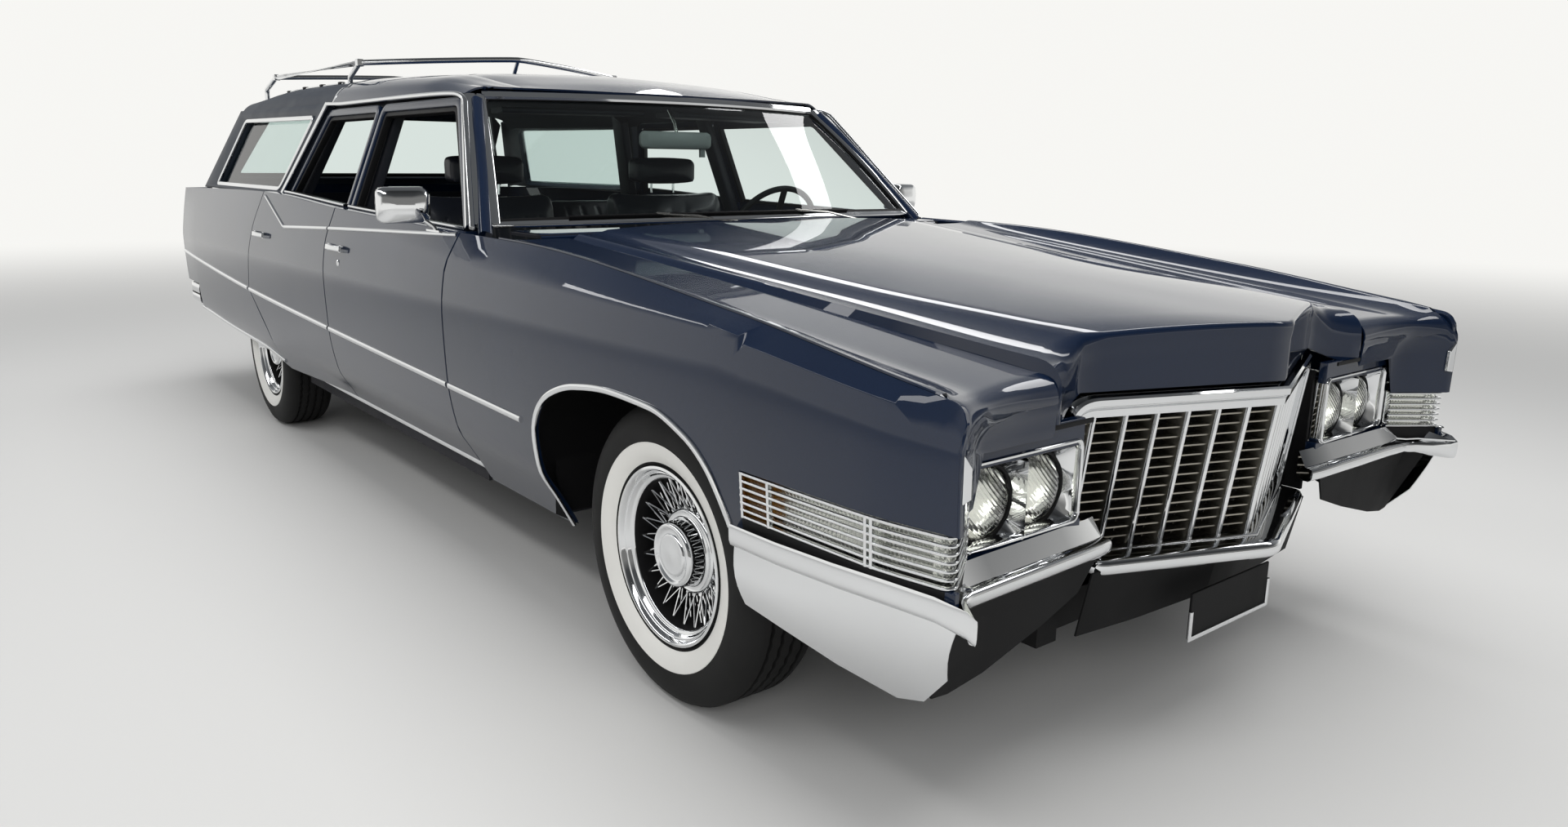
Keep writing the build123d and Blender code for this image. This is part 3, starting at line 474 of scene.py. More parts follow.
def wire(tree: bpy.types.NodeTree, *links: Link) -> None:
    """Link nodes.

    Args:
        tree: Their tree.
        links: For each link, the node and output that it leaves and the node and input that it enters.
    """
    for source, leaves, target, enters in links:
        tree.links.new(source.outputs[leaves], target.inputs[enters])


class FinishShop:
    """Makes the materials. Effects that several finishes share are node groups, built once."""

    def __init__(self) -> None:
        """Build the groups and get ready to make materials."""
        self.made: dict[str, bpy.types.Material] = {}
        self.groups = {"shift": self.group_shift(), "smudge": self.group_smudge(), "dust": self.group_dust(),
                       Grain.LEATHER: self.group_leather(), Grain.CLOTH: self.group_cloth(),
                       Grain.CAST: self.group_cast(), Grain.PRISM: self.group_prism()}

    @staticmethod
    def start(name: str, takes: Sequence[str], gives: str) -> Begun:
        """Begin a node group.

        Args:
            name: Name of the group.
            takes: Names of its inputs.
            gives: Name of its output.

        Returns:
            The tree, its input and output nodes, and the object coordinates.
        """
        tree = bpy.data.node_groups.new(name, "ShaderNodeTree")
        for way, labels in (("INPUT", takes), ("OUTPUT", (gives,))):
            for label in labels:
                kind = "NodeSocketColor" if label == "Colour" else "NodeSocketFloat"
                tree.interface.new_socket(label, in_out=way, socket_type=kind)
        return (tree, tree.nodes.new("NodeGroupInput"), tree.nodes.new("NodeGroupOutput"),
                new_node(tree, "TexCoord"))

    def group_shift(self) -> bpy.types.NodeTree:
        """Slow and fine change of a colour over the surface.

        Returns:
            The group.
        """
        tree, source, result, place = self.start("colour_shift", ("Colour", "Scale", "Amount"), "Colour")
        noise = new_node(tree, "TexNoise", {"Detail": 6})
        centred = new_node(tree, "MapRange", {"From Min": 0.3, "From Max": 0.7, "To Min": -0.5,
                                              "To Max": 0.5})
        scaled = new_node(tree, "Math", {2: 1.0}, operation="MULTIPLY_ADD")
        shade = new_node(tree, "VectorMath", operation="SCALE")
        wire(tree, (place, "Object", noise, "Vector"), (source, "Scale", noise, "Scale"),
             (noise, "Fac", centred, "Value"), (centred, "Result", scaled, 0), (source, "Amount", scaled, 1),
             (source, "Colour", shade, 0), (scaled, 0, shade, "Scale"), (shade, 0, result, "Colour"))
        return tree

    def group_smudge(self) -> bpy.types.NodeTree:
        """Roughness with wiped and handled patches.

        Returns:
            The group.
        """
        tree, source, result, place = self.start("smudges", ("Roughness", "Amount"), "Roughness")
        broad = new_node(tree, "TexNoise", {"Scale": 3.5, "Detail": 8, "Distortion": 0.8})
        mask = new_node(tree, "MapRange", {"From Min": 0.48, "From Max": 0.72})
        total = new_node(tree, "Math", operation="MULTIPLY_ADD")
        wire(tree, (place, "Object", broad, "Vector"), (broad, "Fac", mask, "Value"),
             (mask, "Result", total, 0), (source, "Amount", total, 1), (source, "Roughness", total, 2),
             (total, 0, result, "Roughness"))
        return tree

    def group_dust(self) -> bpy.types.NodeTree:
        """Mask of road dust, more of it low down.

        Returns:
            The group.
        """
        tree, source, result, place = self.start("road_dust", ("Amount",), "Mask")
        split = new_node(tree, "SeparateXYZ")
        low = new_node(tree, "MapRange", {"From Min": 0.75, "From Max": 0.05, "To Min": 0.25})
        noise = new_node(tree, "TexNoise", {"Scale": 24, "Detail": 10})
        joint = new_node(tree, "Math", operation="MULTIPLY")
        total = new_node(tree, "Math", operation="MULTIPLY", use_clamp=True)
        wire(tree, (place, "Object", split, 0), (place, "Object", noise, "Vector"),
             (split, "Z", low, "Value"), (low, "Result", joint, 0), (noise, "Fac", joint, 1),
             (joint, 0, total, 0), (source, "Amount", total, 1), (total, 0, result, "Mask"))
        return tree

    def group_leather(self) -> bpy.types.NodeTree:
        """Pebbled leather height.

        Returns:
            The group.
        """
        tree, source, result, place = self.start("leather_grain", ("Scale",), "Height")
        cells = new_node(tree, "TexVoronoi", feature="SMOOTH_F1")
        fine = new_node(tree, "TexNoise", {"Detail": 4})
        total = new_node(tree, "Math", {1: 0.4}, operation="MULTIPLY_ADD")
        for texture in (cells, fine):
            wire(tree, (place, "Object", texture, "Vector"), (source, "Scale", texture, "Scale"))
        wire(tree, (fine, "Fac", total, 0), (cells, "Distance", total, 2), (total, 0, result, "Height"))
        return tree

    def group_cloth(self) -> bpy.types.NodeTree:
        """Woven or looped pile height.

        Returns:
            The group.
        """
        tree, source, result, place = self.start("cloth_pile", ("Scale",), "Height")
        across = new_node(tree, "TexWave", wave_type="BANDS", bands_direction="X")
        down = new_node(tree, "TexWave", wave_type="BANDS", bands_direction="Y")
        noise = new_node(tree, "TexNoise")
        weave = new_node(tree, "Math", operation="MULTIPLY")
        total = new_node(tree, "Math", operation="ADD")
        for texture in (across, down, noise):
            wire(tree, (place, "Object", texture, "Vector"), (source, "Scale", texture, "Scale"))
        wire(tree, (across, "Fac", weave, 0), (down, "Fac", weave, 1), (weave, 0, total, 0),
             (noise, "Fac", total, 1), (total, 0, result, "Height"))
        return tree

    def group_cast(self) -> bpy.types.NodeTree:
        """Fine cast or moulded surface height.

        Returns:
            The group.
        """
        tree, source, result, place = self.start("cast_grain", ("Scale",), "Height")
        noise = new_node(tree, "TexNoise", {"Detail": 7, "Roughness": 0.7})
        wire(tree, (place, "Object", noise, "Vector"), (source, "Scale", noise, "Scale"),
             (noise, "Fac", result, "Height"))
        return tree

    def group_prism(self) -> bpy.types.NodeTree:
        """Moulded lens flutes: upright ribs crossed by wide steps.

        Returns:
            The group.
        """
        tree, _, result, place = self.start("lens_flutes", ("Scale",), "Height")
        ribs = new_node(tree, "TexWave", {"Scale": 60}, wave_type="BANDS", bands_direction="DIAGONAL")
        split = new_node(tree, "SeparateXYZ")
        steps = new_node(tree, "Math", {1: 0.012}, operation="PINGPONG")
        deep = new_node(tree, "Math", {1: 40}, operation="MULTIPLY_ADD")
        wire(tree, (place, "Object", ribs, "Vector"), (place, "Object", split, 0), (split, "Z", steps, 0),
             (steps, 0, deep, 0), (ribs, "Fac", deep, 2), (deep, 0, result, "Height"))
        return tree

    def call(self, tree: bpy.types.NodeTree, key: str | Grain, **values: object) -> bpy.types.Node:
        """Place one of the groups in a material, with its own values."""
        return new_node(tree, "Group", values, node_tree=self.groups[key])

    def material(self, finish: Finish) -> bpy.types.Material:
        """The material of a finish, made once.

        Args:
            finish: The finish.

        Returns:
            Its material.
        """
        if finish.name in self.made:
            return self.made[finish.name]
        made = bpy.data.materials.new(finish.name)
        made.use_nodes = True
        tree = made.node_tree
        tree.nodes.clear()
        output = new_node(tree, "OutputMaterial")
        shader = new_node(tree, "BsdfPrincipled", {
            "Metallic": finish.metallic, "IOR": finish.refraction, "Transmission Weight": finish.clear,
            "Coat Weight": finish.coat, "Specular IOR Level": finish.sheen, "Coat Roughness": COAT_ROUGHNESS})
        wire(tree, (shader, 0, output, "Surface"))
        self.colour(tree, shader, finish)
        smudge = self.call(tree, "smudge", Roughness=finish.roughness, Amount=finish.smudge)
        if finish.clear:
            shader.inputs["Roughness"].default_value = finish.roughness
        else:
            wire(tree, (smudge, "Roughness", shader, "Roughness"))
        if finish.grain is not Grain.NONE:
            grain = self.call(tree, finish.grain, Scale=finish.grain_scale)
            bump = new_node(tree, "Bump", {"Strength": finish.grain_depth, "Distance": GRAIN_RELIEF})
            wire(tree, (grain, "Height", bump, "Height"), (bump, "Normal", shader, "Normal"))
        if finish.clear and finish.refraction == 1.0:
            self.pane(tree, shader, output, finish)
        self.made[finish.name] = made
        return made

    def colour(self, tree: bpy.types.NodeTree, shader: bpy.types.Node, finish: Finish) -> None:
        """Link the base colour: slow change, paint flake and dust.

        Args:
            tree: Tree of the material.
            shader: Its main shader.
            finish: The finish.
        """
        last, leaves = self.call(tree, "shift", Colour=(*finish.colour, 1), Scale=SHIFT_SCALE,
                                 Amount=finish.shift), "Colour"
        if finish.flake:
            flake = self.call(tree, "shift", Scale=FLAKE_SCALE, Amount=finish.flake * 4)
            wire(tree, (last, leaves, flake, "Colour"))
            last = flake
        if finish.dust:
            dust = self.call(tree, "dust", Amount=finish.dust)
            mix = new_node(tree, "Mix", {"B": DUST_COLOUR}, data_type="RGBA")
            wire(tree, (dust, "Mask", mix, "Factor"), (last, leaves, mix, "A"))
            last, leaves = mix, "Result"
        wire(tree, (last, leaves, shader, "Base Color"))

    @staticmethod
    def pane(tree: bpy.types.NodeTree, shader: bpy.types.Node, output: bpy.types.Node,
             finish: Finish) -> None:
        """Turn a shader into thin window glass: see-through, with a gloss that grows at the edges.

        Args:
            tree: Tree of the material.
            shader: Its main shader, which the glass replaces.
            output: Its output node.
            finish: The finish.
        """
        clear = new_node(tree, "BsdfTransparent", {"Color": (*finish.colour, 1)})
        gloss = new_node(tree, "BsdfGlossy", {"Roughness": 0.01})
        edge = new_node(tree, "Fresnel", {"IOR": 1.5})
        facing = new_node(tree, "NewGeometry")
        front = new_node(tree, "Math", {0: 1.0}, operation="SUBTRACT")
        share = new_node(tree, "Math", operation="MULTIPLY")
        mix = new_node(tree, "MixShader")
        wire(tree, (facing, "Backfacing", front, 1), (front, 0, share, 0), (edge, 0, share, 1),
             (share, 0, mix, 0), (clear, 0, mix, 1), (gloss, 0, mix, 2), (mix, 0, output, "Surface"))
        tree.nodes.remove(shader)


shop = FinishShop()


def piece(name: str, shape: Shape, finish: Finish | Sequence[Finish], body: str = "body", bevel: float = 0.0,
          crease: float = 32.0, replaces: Sequence[str] = (), rounds: int = 2) -> bpy.types.Object:
    """Make one visible piece.

    Args:
        name: Name of the piece.
        shape: Its points and faces.
        finish: Its finish, or its finishes by face tag.
        body: The body that it moves with.
        bevel: Width of the rounding of its edges.
        crease: Angle in degrees past which an edge stays sharp.
        replaces: The construction nodes that it stands for.
        rounds: Steps in the rounding.

    Returns:
        The new object.
    """
    data = bpy.data.meshes.new(name)
    built = shape.welded()
    built.to_mesh(data)
    built.free()
    finishes = [finish] if isinstance(finish, Finish) else list(finish)
    for one in finishes:
        data.materials.append(shop.material(one))
    made = bpy.data.objects.new(name, data)
    bpy.context.scene.collection.objects.link(made)
    data.shade_smooth()
    if bevel:
        rounding = made.modifiers.new("rounding", "BEVEL")
        rounding.width = bevel
        rounding.segments = rounds
        rounding.limit_method = "ANGLE"
        rounding.angle_limit = math.radians(crease)
        rounding.harden_normals = True
        data.set_sharp_from_angle(angle=math.radians(BEVELLED_SHARP))
    else:
        data.set_sharp_from_angle(angle=math.radians(crease))
    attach(made, body)
    if replaces:
        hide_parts(*replaces)
    log.info("%s: %d faces on %s", name, len(data.polygons), body)
    return made


@dataclass
class BodySide:
    """The skin of the body's side, from the fender blade down to the sill."""

    stations: tuple[tuple[float, float, float, float, float], ...] = (
        (2.837, 0.85, 0.924, 0.944, 0.2),
        (2.66, 0.872, 0.925, 0.975, 0.5),
        (2.24, 0.927, 0.926, 0.99, 1.0),
        (1.36, 1.001, 0.926, 1.0, 1.0),
        (0.93, 1.009, 0.932, 1.0, 1.0),
        (-0.209, 1.036, 0.938, 1.0, 1.0),
        (-1.195, 1.068, 0.938, 1.0, 0.45),
        (-1.8, 1.064, 0.938, 0.998, 0.45),
        (-2.5, 1.054, 0.94, 0.992, 0.5),
        (-2.852, 1.048, 0.942, 0.982, 0.6),
    )
    lines: list[Smooth] = field(default_factory=list)
    kept: dict[float, Smooth] = field(default_factory=dict)

    def __post_init__(self) -> None:
        """Prepare the lines of top height, blade, widest half width and tuck along the car."""
        self.lines = [Smooth([(row[0], row[i]) for row in self.stations]) for i in range(1, 5)]

    def top(self, x: float) -> float:
        """Height of the upper edge at station x, rounded at the nose.

        Args:
            x: Station along the car.

        Returns:
            The height.
        """
        brow = 0.032
        past = min(brow, max(0.0, x - (self.stations[0][0] - brow)))
        return self.lines[0](x) - (brow - math.sqrt(brow ** 2 - past ** 2)) * 0.8

    def section(self, x: float) -> Smooth:
        """Half width over height at station x.

        Args:
            x: Station along the car.

        Returns:
            The line of half widths.
        """
        key = round(x, 5)
        if key not in self.kept:
            top, blade, wide, tuck = (line(x) for line in self.lines)
            upper = min(0.902, top - 0.024)
            self.kept[key] = Smooth([(top, blade), (upper, wide - 0.014), (0.78, wide), (0.6, wide - 0.004),
                                     (0.45, wide - 0.026 * tuck), (0.35, wide - 0.08 * tuck),
                                     (0.262, wide - 0.128 * tuck)])
        return self.kept[key]

    def y(self, x: float, z: float) -> float:
        """Half width at a place."""
        return self.section(x)(min(z, self.top(x)))

    def point(self, x: float, z: float, side: int, out: float = 0.0) -> Vector:
        """Point on one side of the car, moved out from the skin."""
        return Vector((x, side * self.y(x, z), z)) + self.normal(x, z, side) * out

    def normal(self, x: float, z: float, side: int) -> Vector:
        """Outward direction at a place.

        Args:
            x: Station along the car.
            z: Height.
            side: 1 for left, -1 for right.

        Returns:
            The direction.
        """
        step = 0.004
        low = min(z, self.top(x) - 2 * step)
        slope_x = (self.y(x + step, low) - self.y(x - step, low)) / (2 * step)
        slope_z = (self.y(x, low + step) - self.y(x, low - step)) / (2 * step)
        return Vector((-slope_x, side, -slope_z)).normalized()

    def sheet(self, shape: Shape, low: Sequence[Flat], high: Sequence[Flat], rows: int, side: int) -> None:
        """Add the skin between two lines of the side view.

        Args:
            shape: Shape that takes the skin.
            low: Lower line of (x, z).
            high: Upper line, with as many points.
            rows: Steps from one to the other.
            side: 1 for left, -1 for right.
        """
        grid = []
        for r in range(rows + 1):
            share = r / rows
            row = []
            for (xa, za), (xb, zb) in zip(low, high):
                x, z = xa + (xb - xa) * share, za + (zb - za) * share
                row.append((x, side * self.y(x, z), z))
            grid.append(row)
        shape.grid(grid)

    def trim(self, line: Sequence[Flat], section: Sequence[Flat], side: int, out: float = 0.0) -> Shape:
        """Moulding along a line of the side view."""
        points = [self.point(x, z, side, out) for x, z in line]
        return Shape().sweep(points, section, [self.normal(x, z, side) for x, z in line])


skin_side = BodySide()
FLANGE = 0.014
EDGE = 0.0022


def flange(depth: float) -> Callable[[Vector, Vector], Vector]:
    """Hidden side of a skin: straight behind it by one depth."""
    return lambda place, normal: place - normal * depth


def rounding(before: Vector, here: Vector, after: Vector, size: float, steps: int) -> list[Vector]:
    """Curve in place of one corner.

    Args:
        before: Corner before it.
        here: The corner.
        after: Corner after it.
        size: How far from the corner the curve starts.
        steps: Steps of the curve.

    Returns:
        Its points.
    """
    start = here + (before - here).normalized() * size
    end = here + (after - here).normalized() * size
    return [start * (1 - t) ** 2 + here * 2 * t * (1 - t) + end * t * t for t in spread(0, 1, steps)]


def soften(corners: Sequence[Flat], sizes: Sequence[float], steps: int = 4) -> list[Flat]:
    """Broken line whose inner corners are rounded.

    Args:
        corners: Corners of the line.
        sizes: How far from each inner corner its rounding starts, 0 to keep it sharp.
        steps: Steps in each rounding.

    Returns:
        The points.
    """
    line = [Vector(c) for c in corners]
    points = [line[0]]
    for before, here, after, size in zip(line, line[1:], line[2:], sizes):
        points += rounding(before, here, after, size, steps) if size else [here]
    return [tuple(p) for p in (*points, line[-1])]


def closed_round(corners: Sequence[Flat], size: float, steps: int = 6) -> list[Vector]:
    """Closed broken line with all its corners rounded alike.

    Args:
        corners: Its corners.
        size: How far from each corner its rounding starts.
        steps: Steps in each rounding.

    Returns:
        The points.
    """
    line = [Vector(c) for c in corners]
    points = []
    for before, here, after in zip(line[-1:] + line[:-1], line, line[1:] + line[:1]):
        points += rounding(before, here, after, size, steps)
    return points


def pane_lean(side: int) -> Point:
    """Outward direction of the side windows' leaning plane."""
    return 0.0, side * 0.93, 0.36


def glass_y(z: float) -> float:
    """Half width of the leaning side window plane at one height."""
    return 0.885 + (z - 1.04) / (1.4 - 1.04) * (0.742 - 0.885)


def panel(rows: Sequence[Sequence[Point]], depth: float) -> Shape:
    """Sheet of one thickness through rows of points."""
    return Shape().grid(rows).shell(flange(depth))


def solid(rows: Sequence[Sequence[Point]]) -> Shape:
    """Closed form through closed rows of points."""
    return Shape().grid(rows, around=True, ends=True)


def plan_bar(path: Sequence[Point], section: Sequence[Flat], centre: Flat) -> Shape:
    """Bar that follows a level line.

    Args:
        path: Points of its face.
        section: Pairs of place outward and place upward.
        centre: Plan point that the bar looks away from.

    Returns:
        The bar.
    """
    rows = []
    for i, p in enumerate(path):
        a, b = Vector(path[max(0, i - 1)]), Vector(path[min(len(path) - 1, i + 1)])
        run = (b - a).normalized()
        out = Vector((run.y, -run.x, 0)).normalized()
        if out.dot(Vector((p[0] - centre[0], p[1] - centre[1], 0))) < 0:
            out = -out
        rows.append([(p[0] + out.x * n, p[1] + out.y * n, p[2] + up) for n, up in section])
    return solid(rows)


@dataclass
class FrontFender:
    """Side skin, blade, top and nose of a front fender."""

    rear_x: float = 0.921
    split_x: float = 2.33
    front_x: float = 2.84
    top_rear_x: float = 1.168
    foot_z: float = 0.268
    strip_z: float = 0.518
    lamp_low_z: float = 0.548
    lamp_high_z: float = 0.642
    bezel_top_z: float = 0.745
    edge_y: Smooth = Smooth([(2.762, 0.6), (2.24, 0.628), (1.36, 0.702), (1.165, 0.72)])
    valley_z: Smooth = Smooth([(2.762, 0.838), (2.24, 0.889), (1.36, 0.978), (1.165, 0.996)])
    nose_x: Smooth = Smooth([(0.6, 2.762), (0.7, 2.772), (0.8, 2.794), (0.87, 2.818), (0.935, 2.842)])
    wall_x: Smooth = Smooth([(0.6, 2.752), (0.7, 2.746), (0.8, 2.748), (0.83, 2.76), (0.88, 2.8),
                             (0.93, 2.838)])
    arch: tuple[Flat, ...] = ((1.44, 0.268), (1.446, 0.4), (1.462, 0.535), (1.5, 0.61), (1.581, 0.665),
                              (1.7, 0.7), (1.86, 0.716), (2.02, 0.71), (2.15, 0.672), (2.225, 0.62),
                              (2.274, 0.552), (2.29, 0.518))

    def arch_line(self) -> list[Flat]:
        """The wheel opening as one smooth line.

        Returns:
            The points.
        """
        lengths = [0.0]
        for a, b in zip(self.arch, self.arch[1:]):
            lengths.append(lengths[-1] + math.dist(a, b))
        xs = Smooth([(s, p[0]) for s, p in zip(lengths, self.arch)])
        zs = Smooth([(s, p[1]) for s, p in zip(lengths, self.arch)])
        return [(xs(s), zs(s)) for s in spread(0, lengths[-1], 60)]

    def skin(self, side: int) -> Shape:
        """Side skin with the wheel opening and the side lamp's window.

        Args:
            side: 1 for left, -1 for right.

        Returns:
            The shape.
        """
        shape = Shape()
        inner = self.arch_line()
        top = skin_side.top
        tops = [(x, top(x)) for x in spread(self.rear_x, self.split_x, 28)]
        drop = along([(self.split_x, top(self.split_x)), (self.split_x, self.lamp_high_z),
                      (self.split_x, self.lamp_low_z), (self.split_x, self.strip_z)], [8, 3, 1])
        rise = along([(self.rear_x, self.foot_z), (self.rear_x, top(self.rear_x))], [20])
        outer = rise + tops[1:] + drop[1:]
        skin_side.sheet(shape, inner, outer, 22, side)
        high = [(x, top(x)) for x in spread(self.split_x, 2.804, 10) + spread(2.808, self.front_x, 8)]
        skin_side.sheet(shape, [(x, self.lamp_high_z) for x, _ in high], high, 8, side)
        skin_side.sheet(shape, [(x, self.strip_z) for x, _ in high], [(x, self.lamp_low_z) for x, _ in high],
                        1, side)
        return shape

    def top(self, side: int) -> Shape:
        """Top from the hood to the blade, rolling over the nose and down to the lamps.

        Args:
            side: 1 for left, -1 for right.

        Returns:
            The shape.
        """
        blade_round = 0.012
        lines = []
        shares = [0.0, 0.1, 0.22, 0.34, 0.46, 0.56, 0.632, 0.7, 0.76, 0.83, 0.89, 0.94, 0.98, 1.0]
        for share in shares:
            lift = max(0.0, (share - 0.62) / 0.38) ** 2.2
            front_y = 0.6 + share * (0.929 - 0.6)
            end_x = self.nose_x(front_y)
            low = self.bezel_top_z if front_y < 0.8 else self.lamp_high_z
            line = []
            for x in spread(self.top_rear_x, end_x, 26):
                edge, blade = self.edge_y(x), skin_side.lines[1](x) - blade_round
                y = edge + share * (blade - edge)
                z = self.valley_z(x) + lift * (skin_side.top(x) - 0.001 - self.valley_z(x))
                line.append((x, y, z))
            reach = line[-1]
            wall = (self.wall_x(front_y), front_y)
            bend = soften([(line[-2][0], line[-2][2]), (reach[0], reach[2]), (wall[0], reach[2] - 0.07),
                           (wall[0], low)], [0.05, 0.03], 7)
            down = [(x, front_y + (line[-2][1] - front_y) * max(0.0, 1 - i), z)
                    for i, (x, z) in enumerate(bend)]
            lines.append([(x, side * y, z) for x, y, z in line[:-1] + down[1:]])
        count = len(lines[0])
        run = spread(self.top_rear_x, self.front_x, 26)
        outer = [(x, side * skin_side.lines[1](x), skin_side.top(x)) for x in run]
        drops = spread(skin_side.top(self.front_x) - 0.006, self.lamp_high_z, count - len(outer) - 1)
        outer += [(self.front_x, side * skin_side.y(self.front_x, z), z) for z in drops]
        lines.append(outer)
        return Shape().grid(lines)

    def lip(self, side: int) -> Shape:
        """Bright moulding round the wheel opening."""
        return skin_side.trim(self.arch_line(), half_round(0.016, 0.006), side, 0.0005)

    def house(self, side: int) -> Shape:
        """Dark wheel house over the front tyre.

        Args:
            side: 1 for left, -1 for right.

        Returns:
            The shape.
        """
        line = self.arch_line()
        wide = [(x + (x - 1.97) * (0.34 if x > 1.97 else 0.05), z + 0.03) for x, z in line]
        rows = [[(x, side * (skin_side.y(x, z) - 0.012), z) for x, z in line],
                [(x, side * 0.915, z) for x, z in wide],
                [(x, side * 0.62, z) for x, z in wide],
                [(x, side * 0.56, z) for x, z in wide]]
        return panel(rows, 0.002)

    def nose_panel(self, side: int) -> Shape:
        """Painted panel round the headlamps.

        Args:
            side: 1 for left, -1 for right.

        Returns:
            The shape.
        """
        x = 2.733
        shape = Shape().block((x - 0.02, side * 0.478, 0.7), (x, side * 0.818, 0.752))
        shape.block((x - 0.03, side * 0.47, 0.492), (x - 0.002, side * 0.818, 0.552))
        return shape.block((x - 0.03, side * 0.808, 0.492), (x, side * 0.83, 0.752))

    def build(self) -> None:
        """Make both fenders."""
        for name, side in SIDES.items():
            piece(f"fender_skin_{name}", self.skin(side).shell(flange(FLANGE)), PAINT, bevel=EDGE,
                  replaces=[f"front_fender_{name}"])
            piece(f"fender_top_{name}", self.top(side).shell(flange(0.004)), PAINT, crease=50)
            piece(f"fender_lip_{name}", self.lip(side), CHROME)
            piece(f"wheel_house_{name}", self.house(side), FRAME_PAINT)
            piece(f"lamp_panel_{name}", self.nose_panel(side), PAINT, bevel=0.002)
            groove = [(self.wall_x(max(0.6, y)) + 0.001, side * y, 0.752) for y in spread(0.484, 0.806, 12)]
            piece(f"nose_groove_{name}", Shape().sweep(groove, ring_section(0.009, 0.004, 0.001), (1, 0, 0)),
                  BLACK_TRIM)
            edge = [(2.842, 0.913, 0.7), (2.846, 0.937, 0.696), (2.8465, 0.938, 0.778),
                    (2.8425, 0.914, 0.752)]
            guard = Shape().slab([(x, side * y, z) for x, y, z in edge], (-0.01, 0, 0))
            piece(f"nose_guard_{name}", guard, CHROME, bevel=0.0025)


@dataclass
class Hood:
    """Hood with a peak, two creases a side and a pointed front."""

    rear_x: float = 1.172
    nose_x: float = 2.87
    corner: Flat = (2.697, 0.447)
    ridge_end: Flat = (2.758, 0.586)
    foot_end: Flat = (2.757, 0.592)
    face_low_z: float = 0.787
    centre: Smooth = Smooth([(2.87, 0.908), (2.6, 0.926), (2.09, 0.963), (1.171, 1.032)])
    crease: tuple[Smooth, Smooth] = (
        Smooth([(2.87, 0.432), (2.695, 0.447), (2.6, 0.456), (2.09, 0.5), (1.171, 0.6)]),
        Smooth([(2.87, 0.886), (2.695, 0.899), (2.6, 0.907), (2.09, 0.938), (1.171, 1.02)]))
    ridge: tuple[Smooth, Smooth] = (
        Smooth([(2.87, 0.578), (2.76, 0.586), (2.6, 0.592), (2.09, 0.61), (1.171, 0.69)]),
        Smooth([(2.87, 0.858), (2.76, 0.866), (2.6, 0.878), (2.09, 0.921), (1.171, 1.011)]))
    foot: tuple[Smooth, Smooth] = (
        Smooth([(2.87, 0.59), (2.76, 0.594), (2.6, 0.598), (2.09, 0.624), (1.171, 0.714)]),
        Smooth([(2.87, 0.826), (2.76, 0.836), (2.6, 0.851), (2.09, 0.901), (1.171, 0.994)]))

    def section(self, x: float) -> list[Flat]:
        """Right half of the section at station x, from the middle outwards, as (y, z).

        Args:
            x: Station along the car.

        Returns:
            The points.
        """
        corners = [(0.0, self.centre(x)), (self.crease[0](x), self.crease[1](x)),
                   (self.ridge[0](x), self.ridge[1](x)), (self.foot[0](x), self.foot[1](x))]
        points = []
        for a, b, count, crown in zip(corners, corners[1:], (10, 6, 3), (0.006, -0.005, 0.0)):
            for i in range(count):
                t = i / count
                points.append((a[0] + (b[0] - a[0]) * t, a[1] + (b[1] - a[1]) * t + crown * 4 * t * (1 - t)))
        return points + [corners[-1]]

    def front_x(self, index: int) -> float:
        """How far forward one lengthwise line goes.

        Args:
            index: Number of the line, from the middle outwards.

        Returns:
            Its last station.
        """
        if index <= 10:
            return self.nose_x + (self.corner[0] - self.nose_x) * index / 10
        if index <= 16:
            t = (index - 10) / 6
            return self.corner[0] + (self.ridge_end[0] - self.corner[0]) * (t * t * 0.6 + t * 0.4)
        return self.ridge_end[0] + (self.foot_end[0] - self.ridge_end[0]) * (index - 16) / 3

    def surface(self) -> Shape:
        """Top and front face.

        Returns:
            The shape.
        """
        lines = []
        for index in range(20):
            line = [(x, *self.section(x)[index]) for x in spread(self.rear_x, self.front_x(index), 40)]
            x, y, z = line[-1]
            low = self.face_low_z if index <= 10 else self.face_low_z - 0.035 * min(1, (index - 10) / 4)
            size = 0.012 + 0.05 * min(1.0, max(0.0, (index - 9) / 4))
            bend = soften([(line[-4][0], line[-4][2]), (x, z), (x - 0.004, low)], [size], 6)
            line = line[:-3] + [(bx, y, bz) for bx, bz in bend[1:-1]]
            for share in spread(0, 1, 4)[1:]:
                line.append((x - 0.004, y, bend[-2][1] + (low - bend[-2][1]) * share))
            lines.append(line)
        right = [[(x, -y, z) for x, y, z in line] for line in lines[::-1]]
        return Shape().grid(right + lines[1:])

    def build(self) -> None:
        """Make the hood."""
        piece("hood_panel", self.surface().shell(flange(0.012)), PAINT, "hood", bevel=0.0015, crease=50,
              replaces=["hood"])


